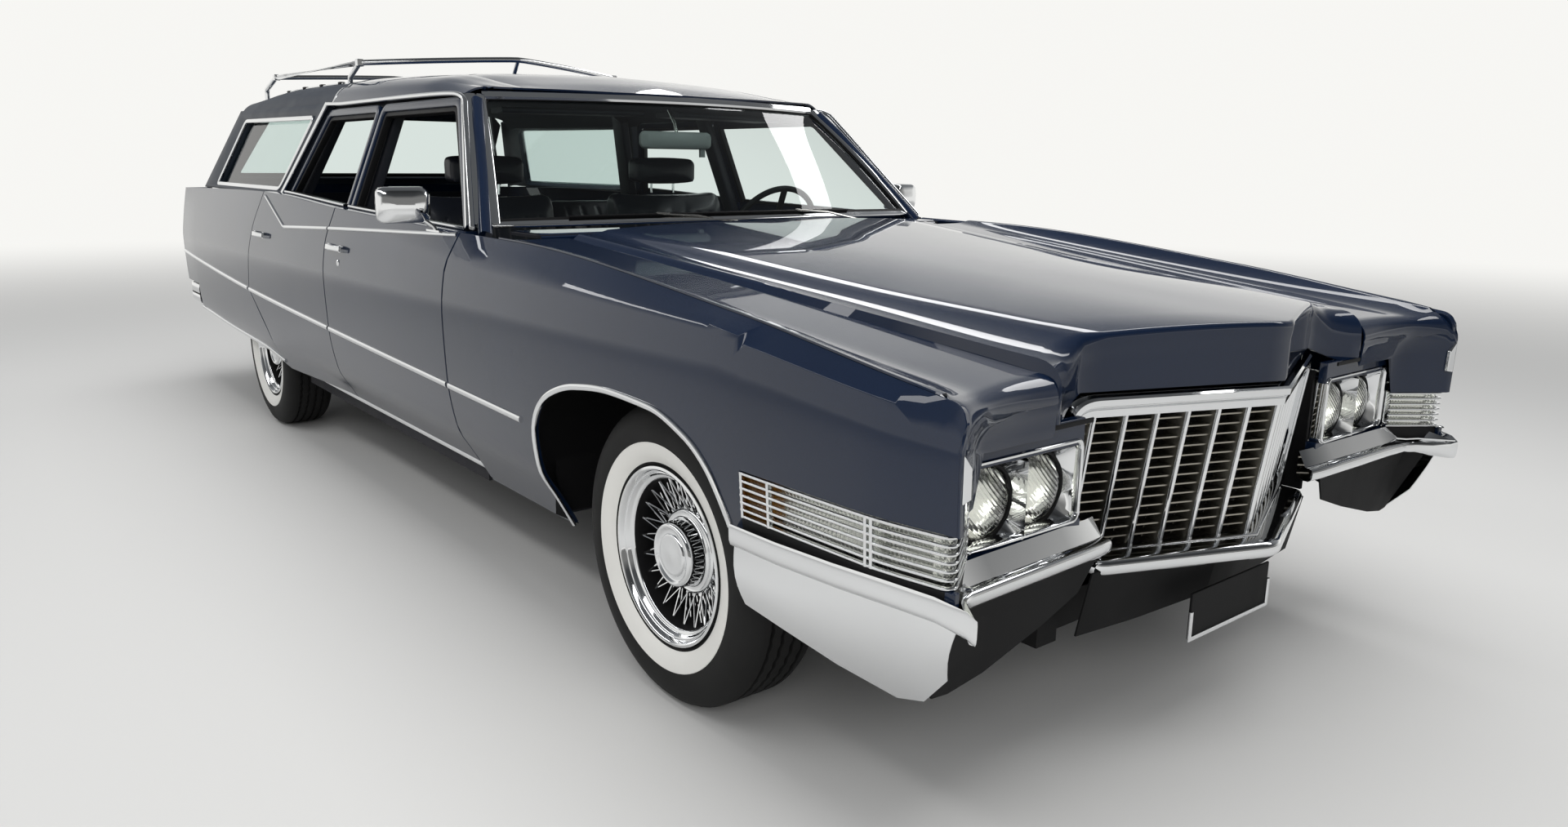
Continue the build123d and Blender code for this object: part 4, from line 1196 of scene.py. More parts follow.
@dataclass
class Doors:
    """Four doors: painted body, window frame, inside panel."""

    bottom_z: float = 0.33
    front_x: float = 0.915
    split_x: float = -0.209
    half_gap: float = 0.003
    inner_y: float = 0.872
    mid: Flat = (-1.378, 0.635)
    rear_top_x: float = -1.195

    def front_skin(self, side: int) -> Shape:
        """Front door skin below the belt.

        Args:
            side: 1 for left, -1 for right.

        Returns:
            The shape.
        """
        shape = Shape()
        low = [(x, self.bottom_z) for x in spread(self.split_x + self.half_gap, self.front_x, 34)]
        skin_side.sheet(shape, low, [(x, skin_side.top(x)) for x, _ in low], 26, side)
        return shape

    def rear_skin(self, side: int) -> Shape:
        """Rear door skin below the belt, cut round the wheel at its rear end.

        Args:
            side: 1 for left, -1 for right.

        Returns:
            The shape.
        """
        shape = Shape()
        last = self.split_x - self.half_gap
        xs = spread(self.mid[0], -1.15, 7) + spread(-1.15, -0.96, 6)[1:] + spread(-0.96, last, 22)[1:]
        cut = Smooth([(self.mid[0], self.mid[1]), (-1.15, 0.49), (-0.96, self.bottom_z + 0.001),
                      (-0.7, self.bottom_z)])
        low = [(x, max(self.bottom_z, cut(x)) if x < -0.96 else self.bottom_z) for x in xs]
        middle = [(x, self.mid[1]) for x in xs]
        share = [(x - self.mid[0]) / (last - self.mid[0]) for x in xs]
        tops = [self.rear_top_x + s * (last - self.rear_top_x) for s in share]
        skin_side.sheet(shape, low, middle, 12, side)
        skin_side.sheet(shape, middle, [(x, skin_side.top(x)) for x in tops], 18, side)
        return shape

    def hidden(self, centre: Flat) -> Callable[[Vector, Vector], Vector]:
        """Inner face of a door: a flat plane, drawn in a little towards the door's middle.

        Args:
            centre: Middle of the door in the side view.

        Returns:
            What gives the hidden point behind a point of the skin.
        """
        def place(point: Vector, normal: Vector) -> Vector:
            """Point behind the skin.

            Args:
                point: Point of the skin.
                normal: Its outward direction; not used.

            Returns:
                The hidden point.
            """
            draw = 0.01 if point.x < centre[0] else -0.01
            x = point.x + draw * min(1, abs(point.x - centre[0]) / 0.3)
            return Vector((x, math.copysign(self.inner_y, point.y), max(point.z, self.bottom_z + 0.004)))
        return place

    def build(self) -> None:
        """Make the doors."""
        for name, side in SIDES.items():
            for row, skin, centre in (("front", self.front_skin(side), (0.35, 0.7)),
                                      ("rear", self.rear_skin(side), (-0.75, 0.7))):
                piece(f"{row}_door_body_{name}", skin.shell(self.hidden(centre)), PAINT, f"{row}_door_{name}",
                      bevel=EDGE, replaces=[f"{row}_door_{name}"])
                self.frames(row, name, side)
                self.card(row, name, side)

    def frames(self, row: str, name: str, side: int) -> None:
        """Window frame, its seal and its bright edge.

        Args:
            row: front or rear.
            name: left or right, for the names.
            side: 1 for left, -1 for right.
        """
        head_z = 1.385
        if row == "front":
            line = [(0.868, 1.012), (0.512, head_z), (-0.183, head_z), (-0.183, 1.036)]
        else:
            line = [(-0.235, 1.036), (-0.235, head_z), (-0.826, head_z), (-1.02, 1.062)]
        corners = soften(line, [0.03, 0.03], 4)
        path = [(x, side * (glass_y(z) - 0.017), z) for x, z in corners]
        lean = pane_lean(side)
        body = f"{row}_door_{name}"
        frame_part = Shape().sweep(path, ring_section(0.03, 0.034, 0.005), lean)
        piece(f"{row}_window_frame_{name}", frame_part, PAINT, body, crease=50)
        mid_x, step = (0.3 if row == "front" else -0.6), 0.022
        inner = soften([(x + (step if x < mid_x else -step), min(z, head_z - step)) for x, z in line],
                       [0.02, 0.02], 4)
        path = [(x, side * (glass_y(z) - 0.02), z) for x, z in inner]
        channel = Shape().sweep(path, ring_section(0.016, 0.024, 0.003), lean)
        piece(f"{row}_window_channel_{name}", channel, BLACK_TRIM, body)
        rail = spread(line[-1][0], line[0][0], 12)
        for label, finish, out, up, size in (("seal", BLACK_TRIM, -0.004, 0.004, (0.03, 0.012)),
                                             ("chrome", CHROME, 0.01, 0.006, (0.012, 0.01))):
            section = ring_section(*size, 0.004)
            path = [(x, side * (glass_y(1.04) + out), skin_side.top(x) + up) for x in rail]
            piece(f"{row}_belt_{label}_{name}", Shape().sweep(path, section, (0, 0, 1)), finish, body)

    def card(self, row: str, name: str, side: int) -> None:
        """Padded panel on the door's inside, with an armrest and a pull.

        Args:
            row: front or rear.
            name: left or right, for the names.
            side: 1 for left, -1 for right.
        """
        x0, x1 = (-0.18, 0.86) if row == "front" else (-0.94, -0.24)
        y = side * (self.inner_y - 0.001)
        body = f"{row}_door_{name}"
        shape = Shape().block((x0, y, 0.4), (x1, y - side * 0.01, 0.985))
        piece(f"{row}_door_card_{name}", shape, SOFT_TRIM, body, bevel=0.006, rounds=3)
        arm = Shape().block((x0 + 0.1, y, 0.66), (x1 - 0.22, y - side * 0.06, 0.72))
        piece(f"{row}_door_armrest_{name}", arm, LEATHER, body, bevel=0.018, rounds=4)


@dataclass
class Quarter:
    """Quarter panel over the rear wheel and the fin behind it."""

    door_top_x: float = -1.201
    door_mid: Flat = (-1.384, 0.635)
    rear_x: float = -2.852

    def skin(self, side: int) -> Shape:
        """Side skin.

        Args:
            side: 1 for left, -1 for right.

        Returns:
            The shape.
        """
        shape = Shape()
        back = -2.548
        middle = [(x, 0.635) for x in spread(self.door_mid[0], back, 30)]
        tail = [(x, 0.635) for x in spread(back, self.rear_x, 8)]
        whole = middle + tail[1:]
        share = [(x - self.door_mid[0]) / (self.rear_x - self.door_mid[0]) for x, _ in whole]
        tops = [self.door_top_x + s * (self.rear_x - self.door_top_x) for s in share]
        skin_side.sheet(shape, whole, [(x, skin_side.top(x)) for x in tops], 18, side)
        edge = Smooth([(-0.966, 0.334), (-1.2, 0.375), (-1.79, 0.389), (-2.34, 0.41), (-2.548, 0.417)])
        toe = along([(-0.97, 0.334), (-1.156, 0.486), self.door_mid], [7, 7])
        toe_low = spread(-0.97, -1.384, 14)
        high = toe + middle[1:]
        low = [(x, edge(x)) for x in toe_low] + [(x, edge(x)) for x, _ in middle[1:]]
        skin_side.sheet(shape, low, high, 10, side)
        skin_side.sheet(shape, [(x, 0.552) for x, _ in tail], tail, 3, side)
        return shape

    def shelf(self, side: int) -> Shape:
        """Flat top between the skin and the side window.

        Args:
            side: 1 for left, -1 for right.

        Returns:
            The shape.
        """
        rows = []
        for x in spread(-1.205, self.rear_x, 24):
            z, y = skin_side.top(x), skin_side.lines[1](x)
            rows.append([(x, side * y, z), (x, side * (y - 0.006), z - 0.001), (x, side * 0.8, z - 0.004)])
        return panel(rows, 0.006)

    def rear(self, side: int) -> Shape:
        """Rear face of the fin, round the tail lamp.

        Args:
            side: 1 for left, -1 for right.

        Returns:
            The shape.
        """
        rows = []
        for z in spread(0.552, skin_side.top(self.rear_x), 14):
            y = skin_side.y(self.rear_x, z)
            rows.append([(self.rear_x, side * y, z), (self.rear_x - 0.001, side * (y - 0.012), z),
                         (self.rear_x, side * 0.812, z)])
        return panel(rows, 0.01)

    def build(self) -> None:
        """Make both quarters."""
        for name, side in SIDES.items():
            piece(f"quarter_skin_{name}", self.skin(side).shell(flange(FLANGE)), PAINT, bevel=EDGE,
                  replaces=[f"quarter_panel_{name}"])
            piece(f"quarter_shelf_{name}", self.shelf(side), PAINT, bevel=0.001)
            piece(f"quarter_rear_{name}", self.rear(side), PAINT, bevel=0.002)


@dataclass
class Roof:
    """Roof panel, its raised rear house with the side panes, pillars and drip rails."""

    centre: Smooth = Smooth([(0.65, 1.42), (0.42, 1.474), (0.1, 1.52), (-0.9, 1.55), (-1.8, 1.548),
                             (-2.385, 1.512)])
    shoulder: Smooth = Smooth([(0.65, 1.414), (0.42, 1.45), (0.1, 1.494), (-0.9, 1.524), (-1.8, 1.53),
                               (-2.385, 1.494)])
    edge: Smooth = Smooth([(0.65, 1.408), (0.42, 1.412), (0.1, 1.414), (-0.9, 1.417), (-1.8, 1.42),
                           (-2.385, 1.428)])
    split_x: float = -0.86
    rear_x: float = -2.386
    rail: tuple[Flat, ...] = ((0.925, 1.02), (0.76, 1.192), (0.62, 1.34), (0.56, 1.396), (0.5, 1.412),
                              (0.3, 1.418), (-0.2, 1.42), (-0.6, 1.42), (-0.85, 1.426))

    def front_x(self, y: float) -> float:
        """Front edge of the roof over the windscreen."""
        return 0.606 - 0.085 * (y / 0.7) ** 2

    def section(self, x: float) -> list[Flat]:
        """Left half of the section at station x, from the middle outwards.

        Args:
            x: Station along the car.

        Returns:
            The points.
        """
        narrow = 0.0 if x < 0.42 else (x - 0.42) * 0.06
        corners = [(0.0, self.centre(x)), (0.4, self.centre(x) - (self.centre(x) - self.shoulder(x)) * 0.42),
                   (0.6 - narrow, self.shoulder(x)), (0.69, (self.shoulder(x) + self.edge(x)) / 2 + 0.01),
                   (0.722, self.edge(x))]
        return soften(corners, [0.18, 0.075, 0.035], 5)

    def surface(self, first: float | None, last: float, lift: float) -> Shape:
        """Panel between two stations.

        Args:
            first: First station, or nothing for the edge over the windscreen.
            last: Last station.
            lift: How far it lies above the roof.

        Returns:
            The shape.
        """
        count = len(self.section(0.0))
        lines = []
        for index in range(count):
            y = self.section(0.3)[index][0]
            start = self.front_x(y) if first is None else first
            sections = [(x, *self.section(x)[index]) for x in spread(start, last, 30)]
            lines.append([(x, a, b + lift) for x, a, b in sections])
        right = [[(x, -y, z) for x, y, z in line] for line in lines[::-1]]
        return Shape().grid(right + lines[1:])

    def house_side(self, side: int) -> Shape:
        """Side of the rear house round its pane.

        Args:
            side: 1 for left, -1 for right.

        Returns:
            The shape.
        """
        outer = [(-1.1, 1.05), (-0.868, 1.43), (-2.39, 1.444), (-2.668, 1.056)]
        inner = [(-1.196, 1.082), (-1.018, 1.372), (-2.196, 1.384), (-2.376, 1.082)]
        rings = closed_round(outer, 0.004), closed_round(inner, 0.03)
        rows = []
        for share in spread(0, 1, 4):
            row = []
            for a, b in zip(*rings):
                p = a.lerp(b, share)
                bulge = 0.01 * math.sin(math.pi * min(1, share * 1.2)) + 0.004 * (1 - share)
                row.append((p.x, side * (glass_y(p.y) + bulge), p.y))
            rows.append(row)
        return Shape().grid([r + [r[0]] for r in rows])

    def pane(self, side: int) -> Shape:
        """Side pane of the rear house."""
        line = [(-1.19, 1.076), (-1.01, 1.378), (-2.204, 1.39), (-2.384, 1.076)]
        return Shape().slab([(x, side * (glass_y(z) - 0.014), z) for x, z in line], (0, -side * 0.005, 0))

    def pane_trim(self, side: int) -> Shape:
        """Bright moulding round the pane.

        Args:
            side: 1 for left, -1 for right.

        Returns:
            The shape.
        """
        line = soften([(-1.7, 1.078), (-1.192, 1.078), (-1.014, 1.376), (-2.2, 1.388), (-2.38, 1.078),
                       (-1.7, 1.078)], [0.03] * 4, 6)
        path = [(x, side * (glass_y(z) + 0.004), z) for x, z in line[:-1]]
        return Shape().sweep(path, ring_section(0.02, 0.012, 0.004), pane_lean(side), closed=True)

    def build(self) -> None:
        """Make the roof, its pillars and its mouldings."""
        piece("roof_front", self.surface(None, self.split_x, 0.0).shell(flange(0.006)), PAINT,
              replaces=["roof"], crease=40)
        piece("roof_rear", self.surface(self.split_x, self.rear_x, 0.0).shell(flange(0.006)), VINYL,
              crease=40)
        piece("headliner", self.surface(0.4, -2.3, -0.04).shell(flange(0.003)), HEADLINER)
        for name, side in SIDES.items():
            piece(f"house_side_{name}", self.house_side(side).shell(flange(0.03)), VINYL, bevel=0.003,
                  crease=40)
            piece(f"side_pane_{name}", self.pane(side), WINDOW)
            piece(f"pane_trim_{name}", self.pane_trim(side), CHROME)
            self.pillars(name, side)
            self.rails(name, side)

    def pillars(self, name: str, side: int) -> None:
        """Windscreen pillar and the posts behind the doors' edges.

        Args:
            name: left or right, for the names.
            side: 1 for left, -1 for right.
        """
        path = [(0.945, side * (glass_y(1.0) - 0.032), 0.998), (0.785, side * (glass_y(1.18) - 0.03), 1.166),
                (0.635, side * (glass_y(1.33) - 0.03), 1.314), (0.551, side * (glass_y(1.41) - 0.034), 1.39)]
        piece(f"front_pillar_{name}", Shape().sweep(path, ring_section(0.036, 0.038, 0.012), pane_lean(side)),
              PAINT)
        for label, foot, head, wide in (("centre", -0.209, -0.209, 0.07), ("rear", -1.12, -0.925, 0.11)):
            path = [(foot, side * (glass_y(1.0) - 0.07), 0.4), (foot, side * (glass_y(1.0) - 0.07), 1.0),
                    (head, side * (glass_y(1.42) - 0.066), 1.42)]
            piece(f"{label}_post_{name}", Shape().sweep(path, ring_section(wide, 0.04, 0.01), (0, side, 0)),
                  SOFT_TRIM)

    def rails(self, name: str, side: int) -> None:
        """Drip rail over the doors and the strip that divides roof and rear house.

        Args:
            name: left or right, for the names.
            side: 1 for left, -1 for right.
        """
        line = [(x, side * (glass_y(min(z, 1.4)) + 0.006), z) for x, z in self.rail]
        keys = spread(0, 1, len(line) - 1)
        runs = [Smooth([(k, p[i]) for k, p in zip(keys, line)]) for i in range(3)]
        fine = [tuple(run(t) for run in runs) for t in spread(0, 1, 48)]
        piece(f"drip_rail_{name}", Shape().sweep(fine, ring_section(0.014, 0.016, 0.005), (0, side, 0.2)),
              CHROME)
        path = [(-1.096, side * (glass_y(1.062) + 0.014), 1.062),
                (-0.856, side * (glass_y(1.43) + 0.014), 1.43)]
        for y, z in self.section(self.split_x)[::-1]:
            path.append((self.split_x, side * y, z + 0.003))
        piece(f"roof_strip_{name}", Shape().sweep(path[1:], ring_section(0.026, 0.01, 0.004),
                                                  (0, side * 0.3, 1)), CHROME)
        post = Shape().sweep(path[:2], ring_section(0.026, 0.012, 0.004), pane_lean(side))
        piece(f"pillar_strip_{name}", post, CHROME)


@dataclass
class Wheels:
    """Whitewall tyres on crossed-wire wheels."""

    plane_y: float = 0.84
    height: float = 0.348
    steps: int = 120
    axles: tuple[tuple[str, float], ...] = (("front", 1.97), ("rear", -1.408))
    rubber: tuple[Flat, ...] = (
        (0.208, -0.077), (0.225, -0.092), (0.25, -0.1), (0.28, -0.103), (0.306, -0.1), (0.328, -0.091),
        (0.34, -0.079), (0.3475, -0.064), (0.348, -0.052), (0.34, -0.05), (0.34, -0.044), (0.348, -0.042),
        (0.348, -0.021), (0.34, -0.019), (0.34, -0.013), (0.348, -0.011), (0.348, 0.011), (0.34, 0.013),
        (0.34, 0.019), (0.348, 0.021), (0.348, 0.042), (0.34, 0.044), (0.34, 0.05), (0.348, 0.052),
        (0.3475, 0.064), (0.34, 0.079), (0.328, 0.091), (0.306, 0.1), (0.285, 0.1028), (0.264, 0.1026),
        (0.2625, 0.1022), (0.261, 0.1034), (0.24, 0.1), (0.2155, 0.088), (0.214, 0.0862), (0.208, 0.08),
        (0.203, 0.074))
    white: Flat = (0.215, 0.262)
    tread_half: float = 0.051
    tread_radius: float = 0.335
    rim: tuple[Flat, ...] = ((0.2076, -0.08), (0.2076, 0.076), (0.2086, 0.083), (0.2062, 0.0895),
                             (0.2005, 0.0912), (0.1965, 0.088), (0.1945, 0.0795), (0.1925, 0.0775),
                             (0.1895, 0.0785), (0.1865, 0.0765), (0.1845, 0.0685), (0.1815, 0.0665),
                             (0.1775, 0.0655), (0.1745, 0.062), (0.1725, 0.05), (0.1715, 0.02),
                             (0.169, -0.005), (0.164, -0.02), (0.15, -0.026), (0.06, -0.028), (0.032, -0.028))
    hub: tuple[Flat, ...] = (
        (0.1, -0.026), (0.1, 0.021), (0.0975, 0.027), (0.093, 0.029), (0.089, 0.027), (0.084, 0.0262),
        (0.079, 0.029), (0.077, 0.036), (0.0765, 0.056), (0.075, 0.066),
        (0.0715, 0.072), (0.0675, 0.0745), (0.0635, 0.0735), (0.061, 0.069), (0.056, 0.0672), (0.05, 0.0676),
        (0.048, 0.0712), (0.0455, 0.073), (0.042, 0.0724), (0.02, 0.0738), (0.0005, 0.0742))
    spokes: tuple[tuple[float, float, float, float, float], ...] = (
        (0.0985, 0.006, 0.1705, 0.012, 11.0), (0.0985, 0.006, 0.1705, 0.012, -11.0),
        (0.0985, 0.019, 0.1722, 0.042, 9.0), (0.0985, 0.019, 0.1722, 0.042, -9.0))
    spoke_count: int = 24
    wire: float = 0.0023
    nipple: float = 0.0042

    def tyre(self, centre: Point, side: int) -> Shape:
        """Tyre with a grooved tread, a zigzag in its grooves and a white band.

        Args:
            centre: Middle of the wheel.
            side: 1 for left, -1 for right.

        Returns:
            The shape.
        """
        shape = Shape()
        rows = []
        for radius, place in self.rubber:
            row = []
            inside = abs(place) < self.tread_half and radius > self.tread_radius
            for i in range(self.steps):
                angle = 2 * math.pi * i / self.steps
                zig = 0.0022 * (1 if i % 2 else -1) if inside else 0.0
                row.append((centre[0] + radius * math.cos(angle), centre[1] + side * (place + zig),
                            centre[2] + radius * math.sin(angle)))
            rows.append(row)
        for a, b, (radius, place) in zip(rows, rows[1:], self.rubber[1:]):
            white = place > 0 and self.white[0] < radius < self.white[1]
            shape.grid([a, b], around=True, tag=int(white))
        return shape

    def wires(self, centre: Point, side: int) -> Shape:
        """Crossed wires between the hub and the rim, with a nipple at each hub end.

        Args:
            centre: Middle of the wheel.
            side: 1 for left, -1 for right.

        Returns:
            The shape.
        """
        shape = Shape()
        for layer, (r_in, p_in, r_out, p_out, lean) in enumerate(self.spokes):
            for i in range(self.spoke_count):
                start = 2 * math.pi * (i + 0.25 * (layer % 2) + 0.5 * (layer // 2)) / self.spoke_count
                end = start + math.radians(lean)
                ends = []
                for radius, angle, place in ((r_in, start, p_in), (r_out, end, p_out)):
                    ends.append(Vector((centre[0] + radius * math.cos(angle), centre[1] + side * place,
                                        centre[2] + radius * math.sin(angle))))
                shape.tube(ends, self.wire, 6)
                shape.tube([ends[0], ends[0].lerp(ends[1], 0.1)], self.nipple, 6)
        return shape

    def build(self) -> None:
        """Make the four wheels."""
        for end, x in self.axles:
            for name, side in SIDES.items():
                centre, flat = (x, side * self.plane_y, self.height), (x, 0.0, self.height)
                body = f"{end}_wheel_{name}"
                piece(f"{end}_tyre_body_{name}", self.tyre(centre, side), [TYRE, WHITEWALL], body,
                      crease=40, replaces=[f"{end}_tyre_{name}"])
                tags = [1 if r < 0.1735 else 0 for r, _ in self.rim[1:]]
                rim = Shape().turn([(r, side * (self.plane_y + p)) for r, p in self.rim], flat, 1, 96, tags)
                piece(f"{end}_rim_{name}", rim, [CHROME, FRAME_PAINT], body, crease=50,
                      replaces=[f"{end}_wheel_{name}"])
                hub = Shape().turn([(r, side * (self.plane_y + p)) for r, p in self.hub], flat, 1, 64)
                piece(f"{end}_hub_{name}", hub, CHROME, body, crease=50)
                piece(f"{end}_wires_{name}", self.wires(centre, side), CHROME, body, crease=50)


@dataclass
class Grille:
    """Pointed egg-crate grille in a bright frame."""

    tip_x: float = 2.868
    half: float = 0.462
    top_z: float = 0.778
    low_z: float = 0.446
    bar_z: float = 0.733
    lean: float = 0.044
    sweep_back: float = 0.3846
    blade_pitch: float = 0.068
    slat_pitch: float = 0.021

    def x(self, y: float, z: float) -> float:
        """Front of the grille at one place."""
        fall = (self.top_z - z) / (self.top_z - self.low_z)
        return self.tip_x - abs(y) * self.sweep_back - self.lean * fall

    def frame(self) -> Shape:
        """Header bar that turns down at its rounded ends.

        Returns:
            The shape.
        """
        half, drop = self.half + 0.004, 0.05
        inward = soften([(half - 0.016, self.low_z + 0.006), (half - 0.016, self.bar_z + 0.004),
                         (0.0, self.bar_z + 0.004)], [drop - 0.014], 8)
        outer = soften([(half + 0.005, self.low_z + 0.006), (half + 0.005, self.top_z), (0.0, self.top_z)],
                       [drop + 0.004], 8)
        lips = (0.0, 0.006, 0.006, -0.004, -0.004, 0.0, 0.0)
        shares = (0.0, 0.12, 0.44, 0.5, 0.56, 0.62, 1.0)
        rows = []
        for share, lip in zip(shares, lips):
            row = [(self.x(y, z) + 0.008 + lip, y, z)
                   for (oy, oz), (iy, iz) in zip(outer, inward)
                   for y, z in [(oy + (iy - oy) * share, oz + (iz - oz) * share)]]
            rows.append(row)
        mirrored = [[(x, -y, z) for x, y, z in row] for row in rows]
        whole = [a + b[::-1][1:] for a, b in zip(rows, mirrored)]
        return panel(whole, 0.03)

    def blades(self, outline: Sequence[Flat]) -> Shape:
        """Upright blades of one section, given as places forward and sideways.

        Args:
            outline: Places forward and sideways round the blade.

        Returns:
            The shape.
        """
        shape = Shape()
        for k in range(-6, 7):
            y = k * self.blade_pitch
            rows = []
            for z in (self.low_z + 0.002, self.bar_z + 0.006):
                rows.append([(self.x(y, z) + a, y + b, z) for a, b in outline])
            shape.grid(rows, around=True, ends=True)
        return shape

    def slats(self) -> Shape:
        """Thin level bars behind the blades' edges.

        Returns:
            The shape.
        """
        shape = Shape()
        count = int((self.bar_z - self.low_z) / self.slat_pitch)
        for k in range(count + 1):
            z = self.low_z + k * self.slat_pitch + 0.002
            rows = []
            for y in (-self.half + 0.01, 0.0, self.half - 0.01):
                front = self.x(y, z) - 0.013
                rows.append([(front, y, z - 0.0016), (front - 0.03, y, z - 0.0016),
                             (front - 0.03, y, z + 0.0016), (front, y, z + 0.0016)])
            shape.grid(rows, around=True, ends=True)
        return shape

    def build(self) -> None:
        """Make the grille."""
        piece("grille_frame", self.frame(), CHROME, bevel=0.0015, replaces=["grille"])
        edge = ((0.0, -0.002), (-0.002, -0.0036), (-0.009, -0.0036), (-0.009, 0.0036), (-0.002, 0.0036),
                (0.0, 0.002))
        web = ((-0.009, -0.003), (-0.046, -0.003), (-0.046, 0.003), (-0.009, 0.003))
        piece("grille_blades", self.blades(edge), CHROME, crease=40)
        piece("grille_webs", self.blades(web), SLATS, crease=40)
        piece("grille_slats", self.slats(), SLATS, crease=40)
        rows = []
        for z in (self.low_z - 0.01, self.bar_z + 0.02):
            rows.append([(self.x(y, z) - 0.062, y, z) for y in (-self.half + 0.005, 0.0, self.half - 0.005)])
        piece("grille_screen", panel(rows, 0.004), FRAME_PAINT)
        sill = [(self.x(y, self.low_z) + 0.006, y, self.low_z + 0.002) for y in (-self.half, 0.0, self.half)]
        piece("grille_sill", Shape().sweep(sill, ring_section(0.03, 0.01, 0.003), (0, 0, 1)), CHROME)


@dataclass
class Headlamps:
    """Paired headlamps in bright bezels."""

    places: tuple[float, float] = (0.572, 0.719)
    z: float = 0.621
    front_x: float = 2.738
    plate_x: float = 2.7
    radius: float = 0.074
    low: Flat = (0.482, 0.548)
    high: Flat = (0.808, 0.714)

    def rim(self, side: int) -> Shape:
        """Bright frame round both lamps, with rounded corners.

        Args:
            side: 1 for left, -1 for right.

        Returns:
            The shape.
        """
        (y0, z0), (y1, z1) = self.low, self.high
        mid_y = (y0 + y1) / 2
        section = ring_section(y1 - y0, z1 - z0, 0.016, 5)
        rows = []
        for grow, x in ((-0.001, -0.04), (0.0, -0.003), (-0.002, 0.0), (-0.006, 0.0), (-0.008, -0.003),
                        (-0.009, -0.03)):
            scale_y = 1 + 2 * grow / (y1 - y0)
            scale_z = 1 + 2 * grow / (z1 - z0)
            rows.append([(self.front_x + x, side * (mid_y + a * scale_y), (z0 + z1) / 2 + b * scale_z)
                         for a, b in section])
        return Shape().grid(rows + [rows[0]], around=True)

    def plate(self, side: int) -> Shape:
        """Folded bright plate between the frame and the lamps.

        Args:
            side: 1 for left, -1 for right.

        Returns:
            The shape.
        """
        shape = Shape()
        half_z = (self.high[1] - self.low[1]) / 2 - 0.007
        mid = sum(self.places) / 2
        spans = ((self.low[0] + 0.007, mid), (mid, self.high[0] - 0.007))
        for y, (y0, y1) in zip(self.places, spans):
            rows = []
            for share in (0.0, 0.04, 0.5, 1.0):
                row = []
                for i in range(64):
                    angle = 2 * math.pi * i / 64
                    c, s = math.cos(angle), math.sin(angle)
                    reach_y = (y1 - y) if c > 0 else (y - y0)
                    scale = min(reach_y / max(abs(c), 1e-6), half_z / max(abs(s), 1e-6))
                    scale = max(scale, self.radius + 0.0005)
                    r = self.radius + (scale - self.radius) * share
                    fold = 0.026 * share + (0.012 * share if abs(y + r * c - mid) < 0.004 else 0.0)
                    row.append((self.plate_x + fold, side * (y + r * c), self.z + r * s))
                rows.append(row)
            back = [(self.plate_x - 0.03, p[1], p[2]) for p in rows[0]]
            shape.grid([back] + rows, around=True)
        return shape

    def build(self) -> None:
        """Make the headlamps."""
        bowl = ((0.07, -0.006), (0.066, -0.02), (0.054, -0.036), (0.036, -0.048), (0.016, -0.054),
                (0.0005, -0.055))
        dome = ((0.0005, 0.024), (0.02, 0.0225), (0.04, 0.0175), (0.056, 0.01), (0.066, 0.002),
                (0.069, -0.006), (0.066, -0.008), (0.054, 0.006), (0.038, 0.0135), (0.018, 0.0185),
                (0.0005, 0.0198))
        ring = ((0.07, -0.03), (0.0745, -0.02), (0.0755, 0.0), (0.0735, 0.0045), (0.07, 0.003),
                (0.0685, -0.004), (0.07, -0.03))
        for name, side in SIDES.items():
            piece(f"lamp_rim_{name}", self.rim(side), CHROME, crease=50,
                  replaces=["headlamp_bezels", "headlamps"] if side > 0 else [])
            piece(f"lamp_plate_{name}", self.plate(side), CHROME, crease=35)
            for number, y in enumerate(self.places, start=1):
                centre = (self.plate_x, side * y, self.z)
                piece(f"lamp_bowl_{name}_{number}", Shape().turn(bowl, centre, 0, 48), REFLECTOR)
                piece(f"lamp_lens_{name}_{number}", Shape().turn(dome, centre, 0, 48), LENS)
                piece(f"lamp_ring_{name}_{number}", Shape().turn(ring, centre, 0, 48), BLACK_TRIM)
                bulb = ((0.0005, -0.03), (0.006, -0.032), (0.008, -0.04), (0.007, -0.052))
                piece(f"lamp_bulb_{name}_{number}", Shape().turn(bulb, centre, 0, 16), REFLECTOR)


